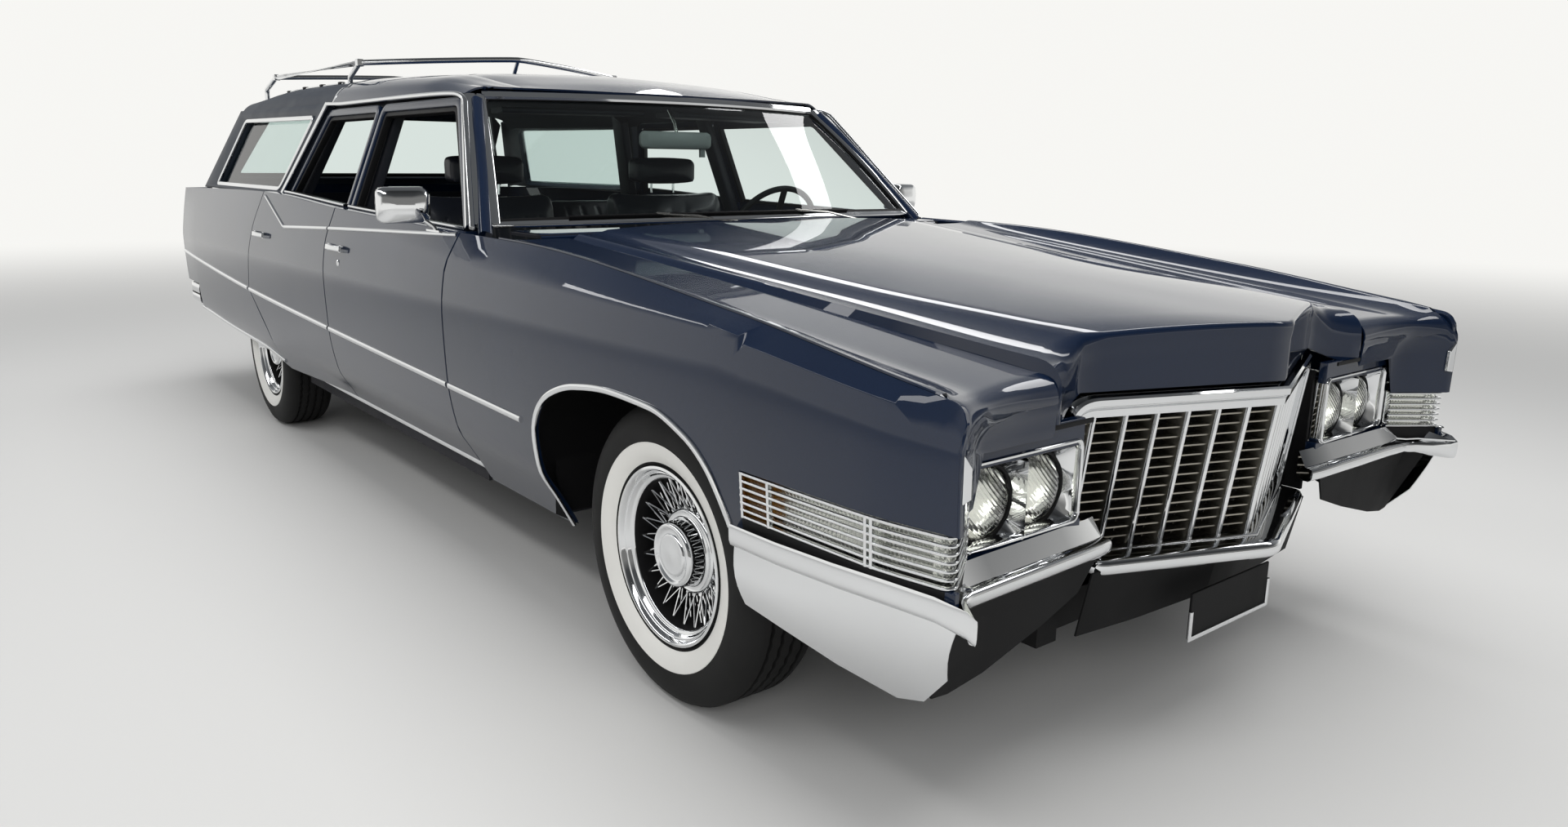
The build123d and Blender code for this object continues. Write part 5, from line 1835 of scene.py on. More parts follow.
@dataclass
class SideLamps:
    """Lamps that wrap the fender's front corner, behind level bright bars."""

    low_z: float = 0.549
    high_z: float = 0.641
    rear_x: float = 2.332
    turn_x: float = 2.822
    front_x: float = 2.838
    inner: Flat = (2.748, 0.814)
    split_x: float = 2.672
    amber_x: float = 2.4137
    bars: int = 7

    def line(self, z: float, side: int, depth: float) -> tuple[list[Point], list[Point]]:
        """Level line round the corner at one height, and the directions away from the body.

        Args:
            z: Height.
            side: 1 for left, -1 for right.
            depth: How far it lies inside the body's face.

        Returns:
            The points and the directions.
        """
        flat = [(x, skin_side.y(x, z) - depth) for x in spread(self.rear_x, self.turn_x, 18)]
        corner = (self.front_x - depth, skin_side.y(self.front_x, z) - depth)
        path = soften([flat[-2], corner, (self.inner[0] - depth, self.inner[1])], [0.03], 6)
        points = flat[:-1] + path[1:]
        ways = []
        for i in range(len(points)):
            a, b = Vector(points[max(0, i - 1)]), Vector(points[min(len(points) - 1, i + 1)])
            run = (b - a).normalized()
            ways.append((-run.y, side * run.x, 0.0) if run.x > 0.02 else (1.0, 0.0, 0.0))
        return [(x, side * y, z) for x, y in points], ways

    def build(self) -> None:
        """Make both lamps."""
        for name, side in SIDES.items():
            for label, finish in (("amber", AMBER), ("clear", LENS)):
                rows = []
                for z in spread(self.low_z, self.high_z, 4):
                    points, _ = self.line(z, side, 0.009)
                    rows.append([p for p in points if (p[0] <= self.amber_x) == (label == "amber")
                                 or abs(p[0] - self.amber_x) < 0.006])
                piece(f"side_lamp_{label}_{name}", panel(rows, 0.004), finish,
                      replaces=["side_lamps"] if side > 0 and label == "amber" else [])
            rows = [self.line(z, side, 0.026)[0] for z in spread(self.low_z, self.high_z, 2)]
            piece(f"side_lamp_back_{name}", panel(rows, 0.003), REFLECTOR)
            bars = Shape()
            for z in spread(self.low_z + 0.003, self.high_z - 0.003, self.bars - 1):
                points, ways = self.line(z, side, 0.001)
                bars.sweep(points, ring_section(0.0055, 0.009, 0.002), ways)
            for x in (self.rear_x + 0.003, self.amber_x, self.split_x - 0.0065, self.split_x + 0.0065):
                post = [tuple(skin_side.point(x, z, side, -0.001))
                        for z in (self.low_z + 0.001, self.high_z - 0.001)]
                bars.sweep(post, ring_section(0.007, 0.01, 0.002), (0, side, 0))
            x, y = self.inner[0], self.inner[1] + 0.003
            bars.block((x - 0.008, side * (y - 0.004), self.low_z),
                       (x + 0.003, side * (y + 0.004), self.high_z))
            piece(f"side_lamp_bars_{name}", bars, CHROME, crease=50)
            rows = [self.line(z, side, -0.0015)[0] for z in (0.513, 0.5475)]
            piece(f"side_lamp_seal_{name}", panel(rows, 0.02), BLACK_TRIM)


@dataclass
class FrontBumper:
    """Wrapped bumper wings with pointed ends and a pointed bar under the grille."""

    outer: tuple[tuple[float, float, float], ...] = (
        (2.308, 0.996, 0.538), (2.45, 0.996, 0.541), (2.6, 0.988, 0.545), (2.72, 0.973, 0.547),
        (2.81, 0.957, 0.545), (2.866, 0.941, 0.535))
    inner: tuple[tuple[float, float, float], ...] = ((2.885, 0.934, 0.531), (2.872, 0.922, 0.533),
                                                     (2.838, 0.9, 0.54), (2.806, 0.878, 0.547),
                                                     (2.796, 0.84, 0.549), (2.79, 0.76, 0.548),
                                                     (2.783, 0.64, 0.546), (2.776, 0.53, 0.544),
                                                     (2.77, 0.445, 0.542), (2.762, 0.405, 0.54))

    def wing(self, side: int) -> Shape:
        """Flat top, rolled edge and underside of one wing.

        Args:
            side: 1 for left, -1 for right.

        Returns:
            The shape.
        """
        rows = []
        points = [Vector((x, y)) for x, y, _ in self.outer + self.inner]
        heights = [z for _, _, z in self.outer + self.inner]
        count = len(points)
        for i, (p, z) in enumerate(zip(points, heights)):
            a, b = points[max(0, i - 1)], points[min(count - 1, i + 1)]
            run = (b - a).normalized()
            out = Vector((-run.y, run.x))
            front = max(0.0, min(1.0, (i - 5) / 4))
            step = 0.002 + 0.034 * front
            fall = 1.0 - 0.36 * front
            narrow = 0.32 if 5 <= i <= 8 else 0.8
            dip = 0.028 * (1.0 - front)
            section = ((-0.055, -dip), (-0.028, -step - dip * 0.6), (-0.01, -step - dip * 0.15 - 0.001),
                       (-0.003, -step - 0.004), (0.0, -step - 0.011), (-0.001, -step - 0.036 * fall),
                       (-0.005, -step - 0.046 * fall), (-0.014, -step - 0.052 * fall),
                       (-0.03, -step - 0.053 * fall), (-0.04, -step - 0.044 * fall),
                       (-0.055, -step - 0.03 * fall))
            rows.append([(p.x + out.x * n * narrow, side * (p.y + out.y * n * narrow), z + up)
                         for n, up in section])
        return solid(rows)

    def skirt(self, side: int) -> Shape:
        """Bright side face below the rolled edge, leaning in to its foot.

        Args:
            side: 1 for left, -1 for right.

        Returns:
            The shape.
        """
        top = [(2.312, 0.986, 0.488), (2.45, 0.986, 0.491), (2.6, 0.978, 0.494), (2.72, 0.962, 0.497),
               (2.79, 0.95, 0.499), (2.846, 0.93, 0.5)]
        foot = [(2.338, 0.978, 0.372), (2.44, 0.962, 0.35), (2.56, 0.934, 0.318), (2.68, 0.898, 0.29),
                (2.74, 0.893, 0.306), (2.8, 0.902, 0.372)]
        rows = []
        for share in spread(0, 1, 6):
            row = []
            for a, b in zip(top, foot):
                p = Vector(a).lerp(Vector(b), share)
                row.append((p.x, side * (p.y + 0.012 * math.sin(math.pi * share)), p.z))
            rows.append(row)
        return panel(rows, 0.004)

    def build(self) -> None:
        """Make the bumper."""
        for name, side in SIDES.items():
            piece(f"bumper_wing_{name}", self.wing(side), CHROME, crease=45,
                  replaces=["front_bumper"] if side > 0 else [])
            piece(f"bumper_skirt_{name}", self.skirt(side), CHROME, bevel=0.0015)
            high = ((2.82, 0.906, 0.48), (2.782, 0.868, 0.486), (2.772, 0.76, 0.48), (2.768, 0.6, 0.478),
                    (2.76, 0.45, 0.474))
            low = ((2.748, 0.884, 0.312), (2.75, 0.846, 0.31), (2.754, 0.76, 0.326), (2.754, 0.6, 0.372),
                   (2.752, 0.49, 0.41))
            rows = [[(a[0] + (b[0] - a[0]) * share, side * (a[1] + (b[1] - a[1]) * share),
                      a[2] + (b[2] - a[2]) * share) for a, b in zip(high, low)] for share in spread(0, 1, 4)]
            piece(f"valance_{name}", panel(rows, 0.004), FRAME_PAINT)
            plan = ((2.738, 0.425), (2.758, 0.25), (2.772, 0.0))
            rows = [[(x - (0.43 - z) * 0.2, side * y, z) for x, y in plan] for z in spread(0.428, 0.285, 4)]
            piece(f"centre_valance_{name}", panel(rows, 0.004), FRAME_PAINT)
            top = [(2.878, 0.934), (2.8, 0.952), (2.745, 0.96), (2.745, 0.82), (2.79, 0.85), (2.806, 0.882)]
            piece(f"bumper_top_{name}", Shape().slab([(x, side * y, 0.516) for x, y in top], (0, 0, 0.0035)),
                  CHROME)
            bolt = ((0.0005, 0.0045), (0.006, 0.0042), (0.01, 0.0025), (0.0115, 0.0))
            piece(f"bumper_bolt_{name}", Shape().turn(bolt, (2.842, side * 0.915, 0.5515), 2, 24), CHROME)
        line = soften([(2.69, 0.412), (2.742, 0.412), (2.896, 0.0), (2.742, -0.412), (2.69, -0.412)],
                      [0.03, 0.03, 0.03], 6)
        section = ((-0.05, 0.014), (-0.014, 0.012), (-0.004, 0.009), (0.0, 0.002), (-0.001, -0.014),
                   (-0.006, -0.02), (-0.02, -0.022), (-0.05, -0.018))
        path = [(x, y, 0.4385 - 0.004 * (1 - abs(y) / 0.412)) for x, y in line]
        piece("bumper_centre", plan_bar(path, section, (2.0, 0.0)), CHROME, crease=45)
        frame_plate = Shape().block((2.796, -0.158, 0.236), (2.802, 0.158, 0.34))
        piece("plate_blank", frame_plate, FRAME_PAINT, bevel=0.002)
        edge = [(2.803, -0.158, 0.3), (2.803, -0.158, 0.238), (2.803, 0.158, 0.238), (2.803, 0.158, 0.3)]
        piece("plate_edge", Shape().sweep(edge, ring_section(0.01, 0.006, 0.002), (1, 0, 0)), CHROME)


@dataclass
class SideTrim:
    """Bright mouldings, handles and mirrors on the body's sides."""

    middle: Smooth = Smooth([(1.395, 0.563), (-0.218, 0.6), (-1.378, 0.635), (-2.79, 0.705)])
    runs: tuple[tuple[str, float, float], ...] = (("body", 1.396, 0.926), ("front_door", 0.909, -0.2),
                                                  ("rear_door", -0.218, -1.366), ("body", -1.396, -2.836))
    handles: tuple[tuple[str, float, float], ...] = (("front_door", -0.06, 0.902),
                                                     ("rear_door", -1.098, 0.891))

    housing: tuple[tuple[float, float, float, float], ...] = (
        (-0.031, 0.138, 0.093, 0.016), (-0.033, 0.146, 0.101, 0.02), (-0.028, 0.15, 0.105, 0.022),
        (0.01, 0.149, 0.104, 0.024), (0.026, 0.14, 0.096, 0.028), (0.033, 0.12, 0.078, 0.028),
        (0.036, 0.06, 0.03, 0.012))

    def handle(self, x: float, z: float, side: int) -> Shape:
        """Pull handle on two feet.

        Args:
            x: Station along the car.
            z: Height.
            side: 1 for left, -1 for right.

        Returns:
            The shape.
        """
        shape = Shape()
        for at, size in ((x + 0.066, 0.024), (x - 0.066, 0.024)):
            foot = [tuple(skin_side.point(at, z, side, out)) for out in (-0.001, 0.012)]
            shape.sweep(foot, ring_section(0.034, size, 0.01), (0, 0, 1))
        path = []
        for t in spread(-1, 1, 14):
            path.append(tuple(skin_side.point(x + 0.078 * t, z, side, 0.014 + 0.014 * (1 - t * t))))
        return shape.sweep(path, ring_section(0.02, 0.01, 0.004), [skin_side.normal(x, z, side)] * len(path))

    def mirror(self, side: int) -> tuple[Shape, Shape, Shape]:
        """Housing, arm and glass of a door mirror.

        Args:
            side: 1 for left, -1 for right.

        Returns:
            Housing, arm and glass.
        """
        place = Matrix.Translation((0.713, side * 1.016, 1.079))
        turn = place @ Matrix.Rotation(side * math.radians(12), 4, "Z")
        shell = solid([[(x, a, b) for a, b in ring_section(width, height, corner, 5)]
                       for x, width, height, corner in self.housing])
        glass = Shape().slab([(-0.0335, a, b) for a, b in ring_section(0.136, 0.091, 0.015, 5)],
                             (0.001, 0, 0))
        arm = Shape()
        path = [(0.748, side * 0.934, 1.003), (0.742, side * 0.94, 1.015), (0.73, side * 0.958, 1.03),
                (0.722, side * 0.975, 1.046)]
        arm.sweep(path, ring_section(0.046, 0.01, 0.004), (0, -side * 0.5, 0.8))
        arm.block((0.7, side * 0.925, 1.002), (0.8, side * 0.948, 1.0075))
        return shell.moved(turn), arm, glass.moved(turn)

    def build(self) -> None:
        """Make the mouldings, handles and mirrors."""
        strip = half_round(0.019, 0.0065)
        for name, side in SIDES.items():
            for number, (body, first, last) in enumerate(self.runs):
                on = body if body == "body" else f"{body}_{name}"
                line = [(x, self.middle(x)) for x in spread(first, last, 16)]
                piece(f"side_strip_{number}_{name}", skin_side.trim(line, strip, side), CHROME, on)
            lower = Smooth([(0.941, 1.003), (-0.209, 0.9625), (-0.76, 0.94)])
            front = [(x, lower(x)) for x in spread(0.905, -0.202, 16)]
            rear = [(x, lower(x)) for x in spread(-0.216, -0.745, 8)]
            rear = rear + soften([rear[-1], (-0.77, 0.9395), (-1.15, 1.05)], [0.02], 4)[1:]
            narrow = half_round(0.013, 0.0055)
            piece(f"shoulder_strip_front_{name}", skin_side.trim(front, narrow, side), CHROME,
                  f"front_door_{name}")
            piece(f"shoulder_strip_rear_{name}", skin_side.trim(rear, narrow, side), CHROME,
                  f"rear_door_{name}")
            sill = [(x, side * 0.884, 0.313) for x in spread(1.33, -0.96, 6)]
            piece(f"sill_strip_{name}", Shape().sweep(sill, ring_section(0.024, 0.01, 0.004), (0, side, 0)),
                  CHROME)
            tail_edge = Smooth([(-0.975, 0.345), (-1.2, 0.377), (-1.79, 0.391), (-2.34, 0.412),
                                (-2.545, 0.419)])
            line = [(x, tail_edge(x) + 0.009) for x in spread(-1.0, -2.54, 24)]
            piece(f"tail_strip_{name}", skin_side.trim(line, strip, side), CHROME)
            for body, x, z in self.handles:
                piece(f"{body}_handle_{name}", self.handle(x, z, side), CHROME, f"{body}_{name}", crease=50)
            lock = ((0.0005, 0.003), (0.009, 0.003), (0.0115, 0.0005), (0.0115, -0.002))
            y = side * skin_side.y(-0.037, 0.852)
            shape = Shape().turn([(r, side * p) for r, p in lock], (-0.037, y, 0.852), 1, 24)
            piece(f"door_lock_{name}", shape, CHROME, f"front_door_{name}")
            housing, arm, glass = self.mirror(side)
            piece(f"mirror_shell_{name}", housing, CHROME, f"front_door_{name}", crease=50,
                  replaces=[f"door_mirror_{name}"])
            piece(f"mirror_arm_{name}", arm, CHROME, f"front_door_{name}")
            piece(f"mirror_glass_{name}", glass, REFLECTOR, f"front_door_{name}")


@dataclass
class Windscreen:
    """Curved windscreen with its mouldings and the covers of its pillars."""

    cover: tuple[Flat, ...] = ((0.968, 0.006), (0.976, 0.013), (1.008, 0.015), (1.012, 0.011), (1.016, 0.015),
                               (1.045, 0.0165), (1.072, 0.012), (1.076, 0.0))

    def point(self, across: float, up: float, out: float = 0.0) -> Point:
        """Place on the glass, across from -1 to 1 and up from 0 to 1.

        Args:
            across: Place across.
            up: Place up the glass.
            out: How far it stands out.

        Returns:
            The place.
        """
        foot = Vector((1.098 - 0.18 * across ** 2, 0.842 * across, 1.036 - 0.012 * across ** 2))
        head = Vector((0.606 - 0.086 * across ** 2, 0.686 * across, 1.414 - 0.006 * across ** 2))
        normal = Vector((0.61, 0.16 * across, 0.78)).normalized()
        bulge = 0.022 * 4 * up * (1 - up) * (1 - 0.5 * across ** 2)
        return tuple(foot.lerp(head, up) + normal * (bulge + out))

    def edge_loop(self, wide: float, upright: float, low: float, out: float) -> list[Point]:
        """Closed line along the edge of the glass.

        Args:
            wide: How far to either side its level runs go.
            upright: Place across of its upright runs.
            low: Height of its lower run.
            out: How far it stands out of the glass.

        Returns:
            The points.
        """
        high, gap = 1 - low, 0.03
        rise = spread(low + gap, high - gap, 14)
        return ([self.point(u, low, out) for u in spread(-wide, wide, 20)]
                + [self.point(upright, v, out) for v in rise]
                + [self.point(u, high, out) for u in spread(wide, -wide, 20)]
                + [self.point(-upright, v, out) for v in reversed(rise)])

    def build(self) -> None:
        """Make the glass and its mouldings."""
        rows = [[self.point(u, v) for u in spread(-1, 1, 24)] for v in spread(0, 1, 14)]
        piece("windscreen", panel(rows, 0.005), WINDOW, replaces=["fixed_glass"])
        trim = Shape().sweep(self.edge_loop(0.985, 0.998, 0.0, 0.003), ring_section(0.024, 0.01, 0.004),
                             SCREEN_LEAN, closed=True)
        piece("screen_trim", trim, CHROME, crease=50)
        cover = Shape()
        for side in SIDES.values():
            cover.grid([[self.point(side * u, v, out) for u, out in self.cover]
                        for v in spread(-0.01, 0.985, 20)])
        piece("pillar_covers", cover.shell(flange(0.002)), CHROME, crease=50)
        line = ((0.962, 0.004), (0.968, 0.011), (1.0, 0.015), (1.03, 0.017), (1.046, 0.008))
        rows = [[self.point(u, v, out) for u in spread(-0.985, 0.985, 24)] for v, out in line]
        piece("screen_head_trim", panel(rows, 0.002), CHROME, crease=50)
        seal = Shape().sweep(self.edge_loop(0.96, 0.975, 0.03, 0.0), ring_section(0.014, 0.008, 0.003),
                             SCREEN_LEAN, closed=True)
        piece("screen_seal", seal, BLACK_TRIM)


@dataclass
class Tailgate:
    """Tailgate with its window, trim, handle and blank plate."""

    head: Flat = (-2.396, 1.492)
    belt: Flat = (-2.69, 1.062)
    foot: Flat = (-2.806, 0.642)
    half_foot: float = 0.796
    half_head: float = 0.622

    def x(self, z: float) -> float:
        """Outer face at one height."""
        a, b = (self.belt, self.head) if z > self.belt[1] else (self.foot, self.belt)
        return a[0] + (b[0] - a[0]) * (z - a[1]) / (b[1] - a[1])

    def lower(self) -> Shape:
        """Lower panel with a pressed shoulder.

        Returns:
            The shape.
        """
        rows = []
        for z in spread(self.foot[1], self.belt[1] + 0.004, 20):
            press = 0.005 * math.exp(-((z - 0.965) / 0.035) ** 2) + 0.006 * max(0.0, 1 - abs(z - 0.8) / 0.11)
            rows.append([(self.x(z) + press * (abs(y) < 0.7), y, z)
                         for y in spread(-self.half_foot, self.half_foot, 40)])
        return Shape().grid(rows).shell(lambda p, n: Vector((p.x + 0.05, p.y * 0.995, p.z)))

    def loop(self, low: Flat, high: Flat, size: float, depth: float) -> list[Point]:
        """Rounded four-cornered line on the leaning window plane.

        Args:
            low: Half width and height of its foot.
            high: Half width and height of its head.
            size: Size of its roundings.
            depth: How far in from the face.

        Returns:
            The points.
        """
        corners = ((-low[0], low[1]), (-high[0], high[1]), high, low)
        lowest = self.belt[1] + 0.001
        return [(self.x(max(p.y, lowest)) + depth, p.x, p.y) for p in closed_round(corners, size)]

    def build(self) -> None:
        """Make the tailgate."""
        piece("tailgate_lower", self.lower(), PAINT, "tailgate", bevel=0.003, replaces=["tailgate"])
        outer = self.loop((self.half_foot, self.belt[1] + 0.004), (self.half_head, self.head[1] - 0.004),
                          0.012, 0.0)
        inner = self.loop((0.735, 1.112), (0.578, 1.44), 0.04, 0.0)
        rows = []
        for share in spread(0, 1, 4):
            out = Vector((-0.004 * math.sin(math.pi * share), 0, 0))
            row = [Vector(a).lerp(Vector(b), share) + out for a, b in zip(outer, inner)]
            rows.append(row + [row[0]])
        frame_part = Shape().grid(rows).shell(lambda p, n: Vector((p.x + 0.036, p.y * 0.99, p.z - 0.012)))
        piece("tailgate_frame", frame_part, VINYL, "tailgate", bevel=0.003)
        pane = self.loop((0.741, 1.106), (0.582, 1.446), 0.04, 0.026)
        piece("tailgate_pane", Shape().slab(pane, (0.005, 0, 0)), WINDOW, "tailgate",
              replaces=["tailgate_glass"])
        away = (-0.83, 0.0, 0.56)
        seal = self.loop((0.73, 1.118), (0.573, 1.434), 0.04, 0.016)
        piece("tailgate_seal", Shape().sweep(seal, ring_section(0.018, 0.016, 0.005), away, closed=True),
              BLACK_TRIM, "tailgate")
        trim = self.loop((0.742, 1.104), (0.585, 1.448), 0.04, -0.002)
        piece("tailgate_trim", Shape().sweep(trim, ring_section(0.016, 0.01, 0.004), away, closed=True),
              CHROME, "tailgate")
        strips = Shape()
        for z, half in ((1.052, 0.79), (0.705, 0.78)):
            line = [(self.x(z) - 0.001, y, z) for y in spread(-half, half, 8)]
            strips.sweep(line, half_round(0.02, 0.006), (-1, 0, 0))
        piece("tailgate_strips", strips, CHROME, "tailgate")
        grip = Shape()
        z = 0.985
        path = [(self.x(z) - 0.003 - 0.018 * (1 - t * t), 0.095 * t, z) for t in spread(-1, 1, 14)]
        grip.sweep(path, ring_section(0.026, 0.01, 0.004), (-1, 0, 0))
        for y in (-0.086, 0.086):
            grip.sweep([(self.x(z) + 0.001, y, z), (self.x(z) - 0.008, y, z)],
                       ring_section(0.022, 0.034, 0.008), (0, 0, 1))
        piece("tailgate_handle", grip, CHROME, "tailgate", crease=50)
        lock = Shape().turn(((0.0005, -0.004), (0.011, -0.004), (0.0135, -0.001), (0.0135, 0.006)),
                            (self.x(0.925) + 0.002, 0.0, 0.925), 0, 24)
        piece("tailgate_lock", lock, CHROME, "tailgate")
        plate = Shape().block((self.x(0.8) - 0.004, -0.16, 0.745), (self.x(0.8) + 0.002, 0.16, 0.855))
        piece("rear_plate_blank", plate, FRAME_PAINT, "tailgate", bevel=0.002)
        corners = ((-0.166, 0.739), (0.166, 0.739), (0.166, 0.861), (-0.166, 0.861))
        edge = [(self.x(0.8) - 0.005, y, z) for y, z in corners]
        border = Shape().sweep(edge, ring_section(0.01, 0.007, 0.003), (-1, 0, 0), closed=True)
        piece("rear_plate_edge", border, CHROME, "tailgate")
        card = [[(self.x(z) + 0.056, y, z) for y in (-0.765, 0.0, 0.765)] for z in (0.668, 0.84, 1.02)]
        piece("tailgate_card", panel(card, 0.004), SOFT_TRIM, "tailgate", bevel=0.001)
        for name, side in SIDES.items():
            rows = []
            for z in spread(1.056, 1.486, 12):
                share = (z - self.belt[1]) / (self.head[1] - self.belt[1])
                inner = self.half_foot + (self.half_head - self.half_foot) * share + 0.007
                outer = min(glass_y(z) + 0.006, 0.72 - 1.85 * max(0.0, z - 1.428))
                x = self.x(z) + 0.006
                rows.append([(x + 0.03, side * inner, z), (x, side * inner, z),
                             (x - 0.003, side * max(inner, outer - 0.01), z),
                             (x + 0.012, side * max(inner, outer), z)])
            piece(f"rear_corner_{name}", panel(rows, 0.002), VINYL, crease=60)
        foot = ((-2.77, 0.635), (-2.808, 0.632), (-2.812, 0.54))
        sill = [[(x, y, z) for y in spread(-0.835, 0.835, 8)] for x, z in foot]
        piece("rear_sill_panel", panel(sill, 0.002), PAINT, crease=40)


@dataclass
class Tail:
    """Tail lamps in the fins, and the rear bumper."""

    lamp_low: Flat = (0.842, 0.662)
    lamp_high: Flat = (0.928, 0.978)
    face_x: float = -2.854

    def build(self) -> None:
        """Make the lamps and the bumper."""
        (y0, z0), (y1, z1) = self.lamp_low, self.lamp_high
        for name, side in SIDES.items():
            section = ring_section(y1 - y0 - 0.01, z1 - z0 - 0.01, 0.02, 5)
            rows = []
            for out, scale in ((0.0, 1.0), (0.008, 1.0), (0.0145, 0.93), (0.017, 0.7), (0.0176, 0.2)):
                rows.append([(self.face_x - out, side * ((y0 + y1) / 2 + a * scale),
                              (z0 + z1) / 2 + b * (0.5 + scale / 2)) for a, b in section])
            piece(f"tail_lens_{name}", solid(rows), RED, crease=50,
                  replaces=["tail_lamps"] if side > 0 else [])
            rim = [(self.face_x - 0.004, side * ((y0 + y1) / 2 + a * 1.05), (z0 + z1) / 2 + b * 1.01)
                   for a, b in section]
            bright = Shape().sweep(rim, ring_section(0.008, 0.014, 0.003), (-1, 0, 0), closed=True)
            for z in (z0 + 0.105, z1 - 0.105):
                bright.block((self.face_x - 0.0175, side * y0, z - 0.004),
                             (self.face_x, side * y1, z + 0.004))
            piece(f"tail_rim_{name}", bright, CHROME, crease=50)
        corners = [(-2.563, 0.984), (-2.8, 0.984), (-2.876, 0.95), (-2.901, 0.86), (-2.901, -0.86),
                   (-2.876, -0.95), (-2.8, -0.984), (-2.563, -0.984)]
        line = soften(corners, [0.07, 0.035, 0.035, 0.035, 0.035, 0.07], 4)
        path = [(x, y, 0.492) for x, y in line]
        section = ((-0.038, 0.05), (-0.01, 0.052), (-0.003, 0.046), (0.0, 0.034), (0.0, 0.006), (-0.006, 0.0),
                   (0.0, -0.006), (0.0, -0.034), (-0.006, -0.046), (-0.018, -0.052), (-0.038, -0.05))
        piece("rear_bumper_bar", plan_bar(path, section, (-2.3, 0.0)), CHROME, crease=45,
              replaces=["rear_bumper"])
        groove = ((-0.005, 0.006), (-0.0015, 0.005), (-0.001, 0.0), (-0.0015, -0.005), (-0.005, -0.006))
        piece("rear_bumper_strip", plan_bar(path, groove, (-2.3, 0.0)), BLACK_TRIM)
        arms = Shape()
        for y in (-0.56, 0.56):
            arms.block((-2.868, y - 0.022, 0.332), (-2.742, y + 0.022, 0.458))
        piece("rear_bumper_arms", arms, FRAME_PAINT, bevel=0.003)


@dataclass
class Rack:
    """Bright roof rack on leaning posts, with strips and clips on the roof."""

    y: float = 0.6
    rear: Flat = (-2.16, 1.606)
    # Padded panel on the door's inside, with an armrest.
    front: Flat = (-0.858, 1.598)
    front_bow: float = 0.235
    radius: float = 0.0125

    def build(self) -> None:
        """Make the rack."""
        roof = Roof()
        bars = Shape()
        for side in SIDES.values():
            y = side * self.y
            corners = [(-2.361, 1.486), (-2.358, 1.556), self.rear, self.front]
            path = [(x, y, z) for x, z in soften(corners, [0.02, 0.03], 6)]
            bars.tube(path, self.radius, 12)
            bars.tube([(self.front[0], y, self.front[1]), (-0.992, y, 1.548), (-1.006, y, 1.506)], 0.0105, 12)
        for (x, low), forward, rise in ((self.front, self.front_bow, 0.035), (self.rear, 0.0, 0.03)):
            path = []
            for y in spread(-self.y, self.y, 36):
                t = abs(y) / self.y
                share = 0.75 * (1 - math.sqrt(t * t + 0.001)) + 0.25 * (1 - t * t)
                path.append((x + forward * share, y, low + rise * share))
            bars.tube(path, 0.0115, 12)
        tip = self.front[0] + self.front_bow
        foot = (tip - 0.07, 0.0, roof.centre(tip - 0.07) + 0.004)
        bars.tube([(tip - 0.008, 0.0, self.front[1] + 0.03), foot], 0.009, 10)
        piece("rack_bars", bars, CHROME, crease=50, replaces=["roof_rack"])
        strips, clips, knots = Shape(), Shape(), Shape()
        for side in SIDES.values():
            line = [(x, side * 0.585, roof.shoulder(x) + 0.003) for x in spread(-2.3, -1.13, 16)]
            strips.sweep(line, ring_section(0.014, 0.006, 0.002), (0, 0, 1))
            for x in spread(-2.26, -1.17, 4):
                z = roof.shoulder(x)
                clips.block((x - 0.016, side * 0.585 - 0.011, z),
                            (x + 0.016, side * 0.585 + 0.011, z + 0.011))
            for x, z in ((-2.361, 1.492), (-1.006, 1.514)):
                knots.block((x - 0.024, side * self.y - 0.016, z - 0.008),
                            (x + 0.024, side * self.y + 0.016, z + 0.01))
            for x, z in (self.front, (self.rear[0] + 0.01, self.rear[1])):
                knots.block((x - 0.018, side * self.y - 0.0145, z - 0.0145),
                            (x + 0.014, side * self.y + 0.0145, z + 0.0145))
        piece("rack_strips", strips, CHROME)
        piece("rack_clips", clips, BLACK_TRIM, bevel=0.003)
        piece("rack_knots", knots, CHROME, bevel=0.004)


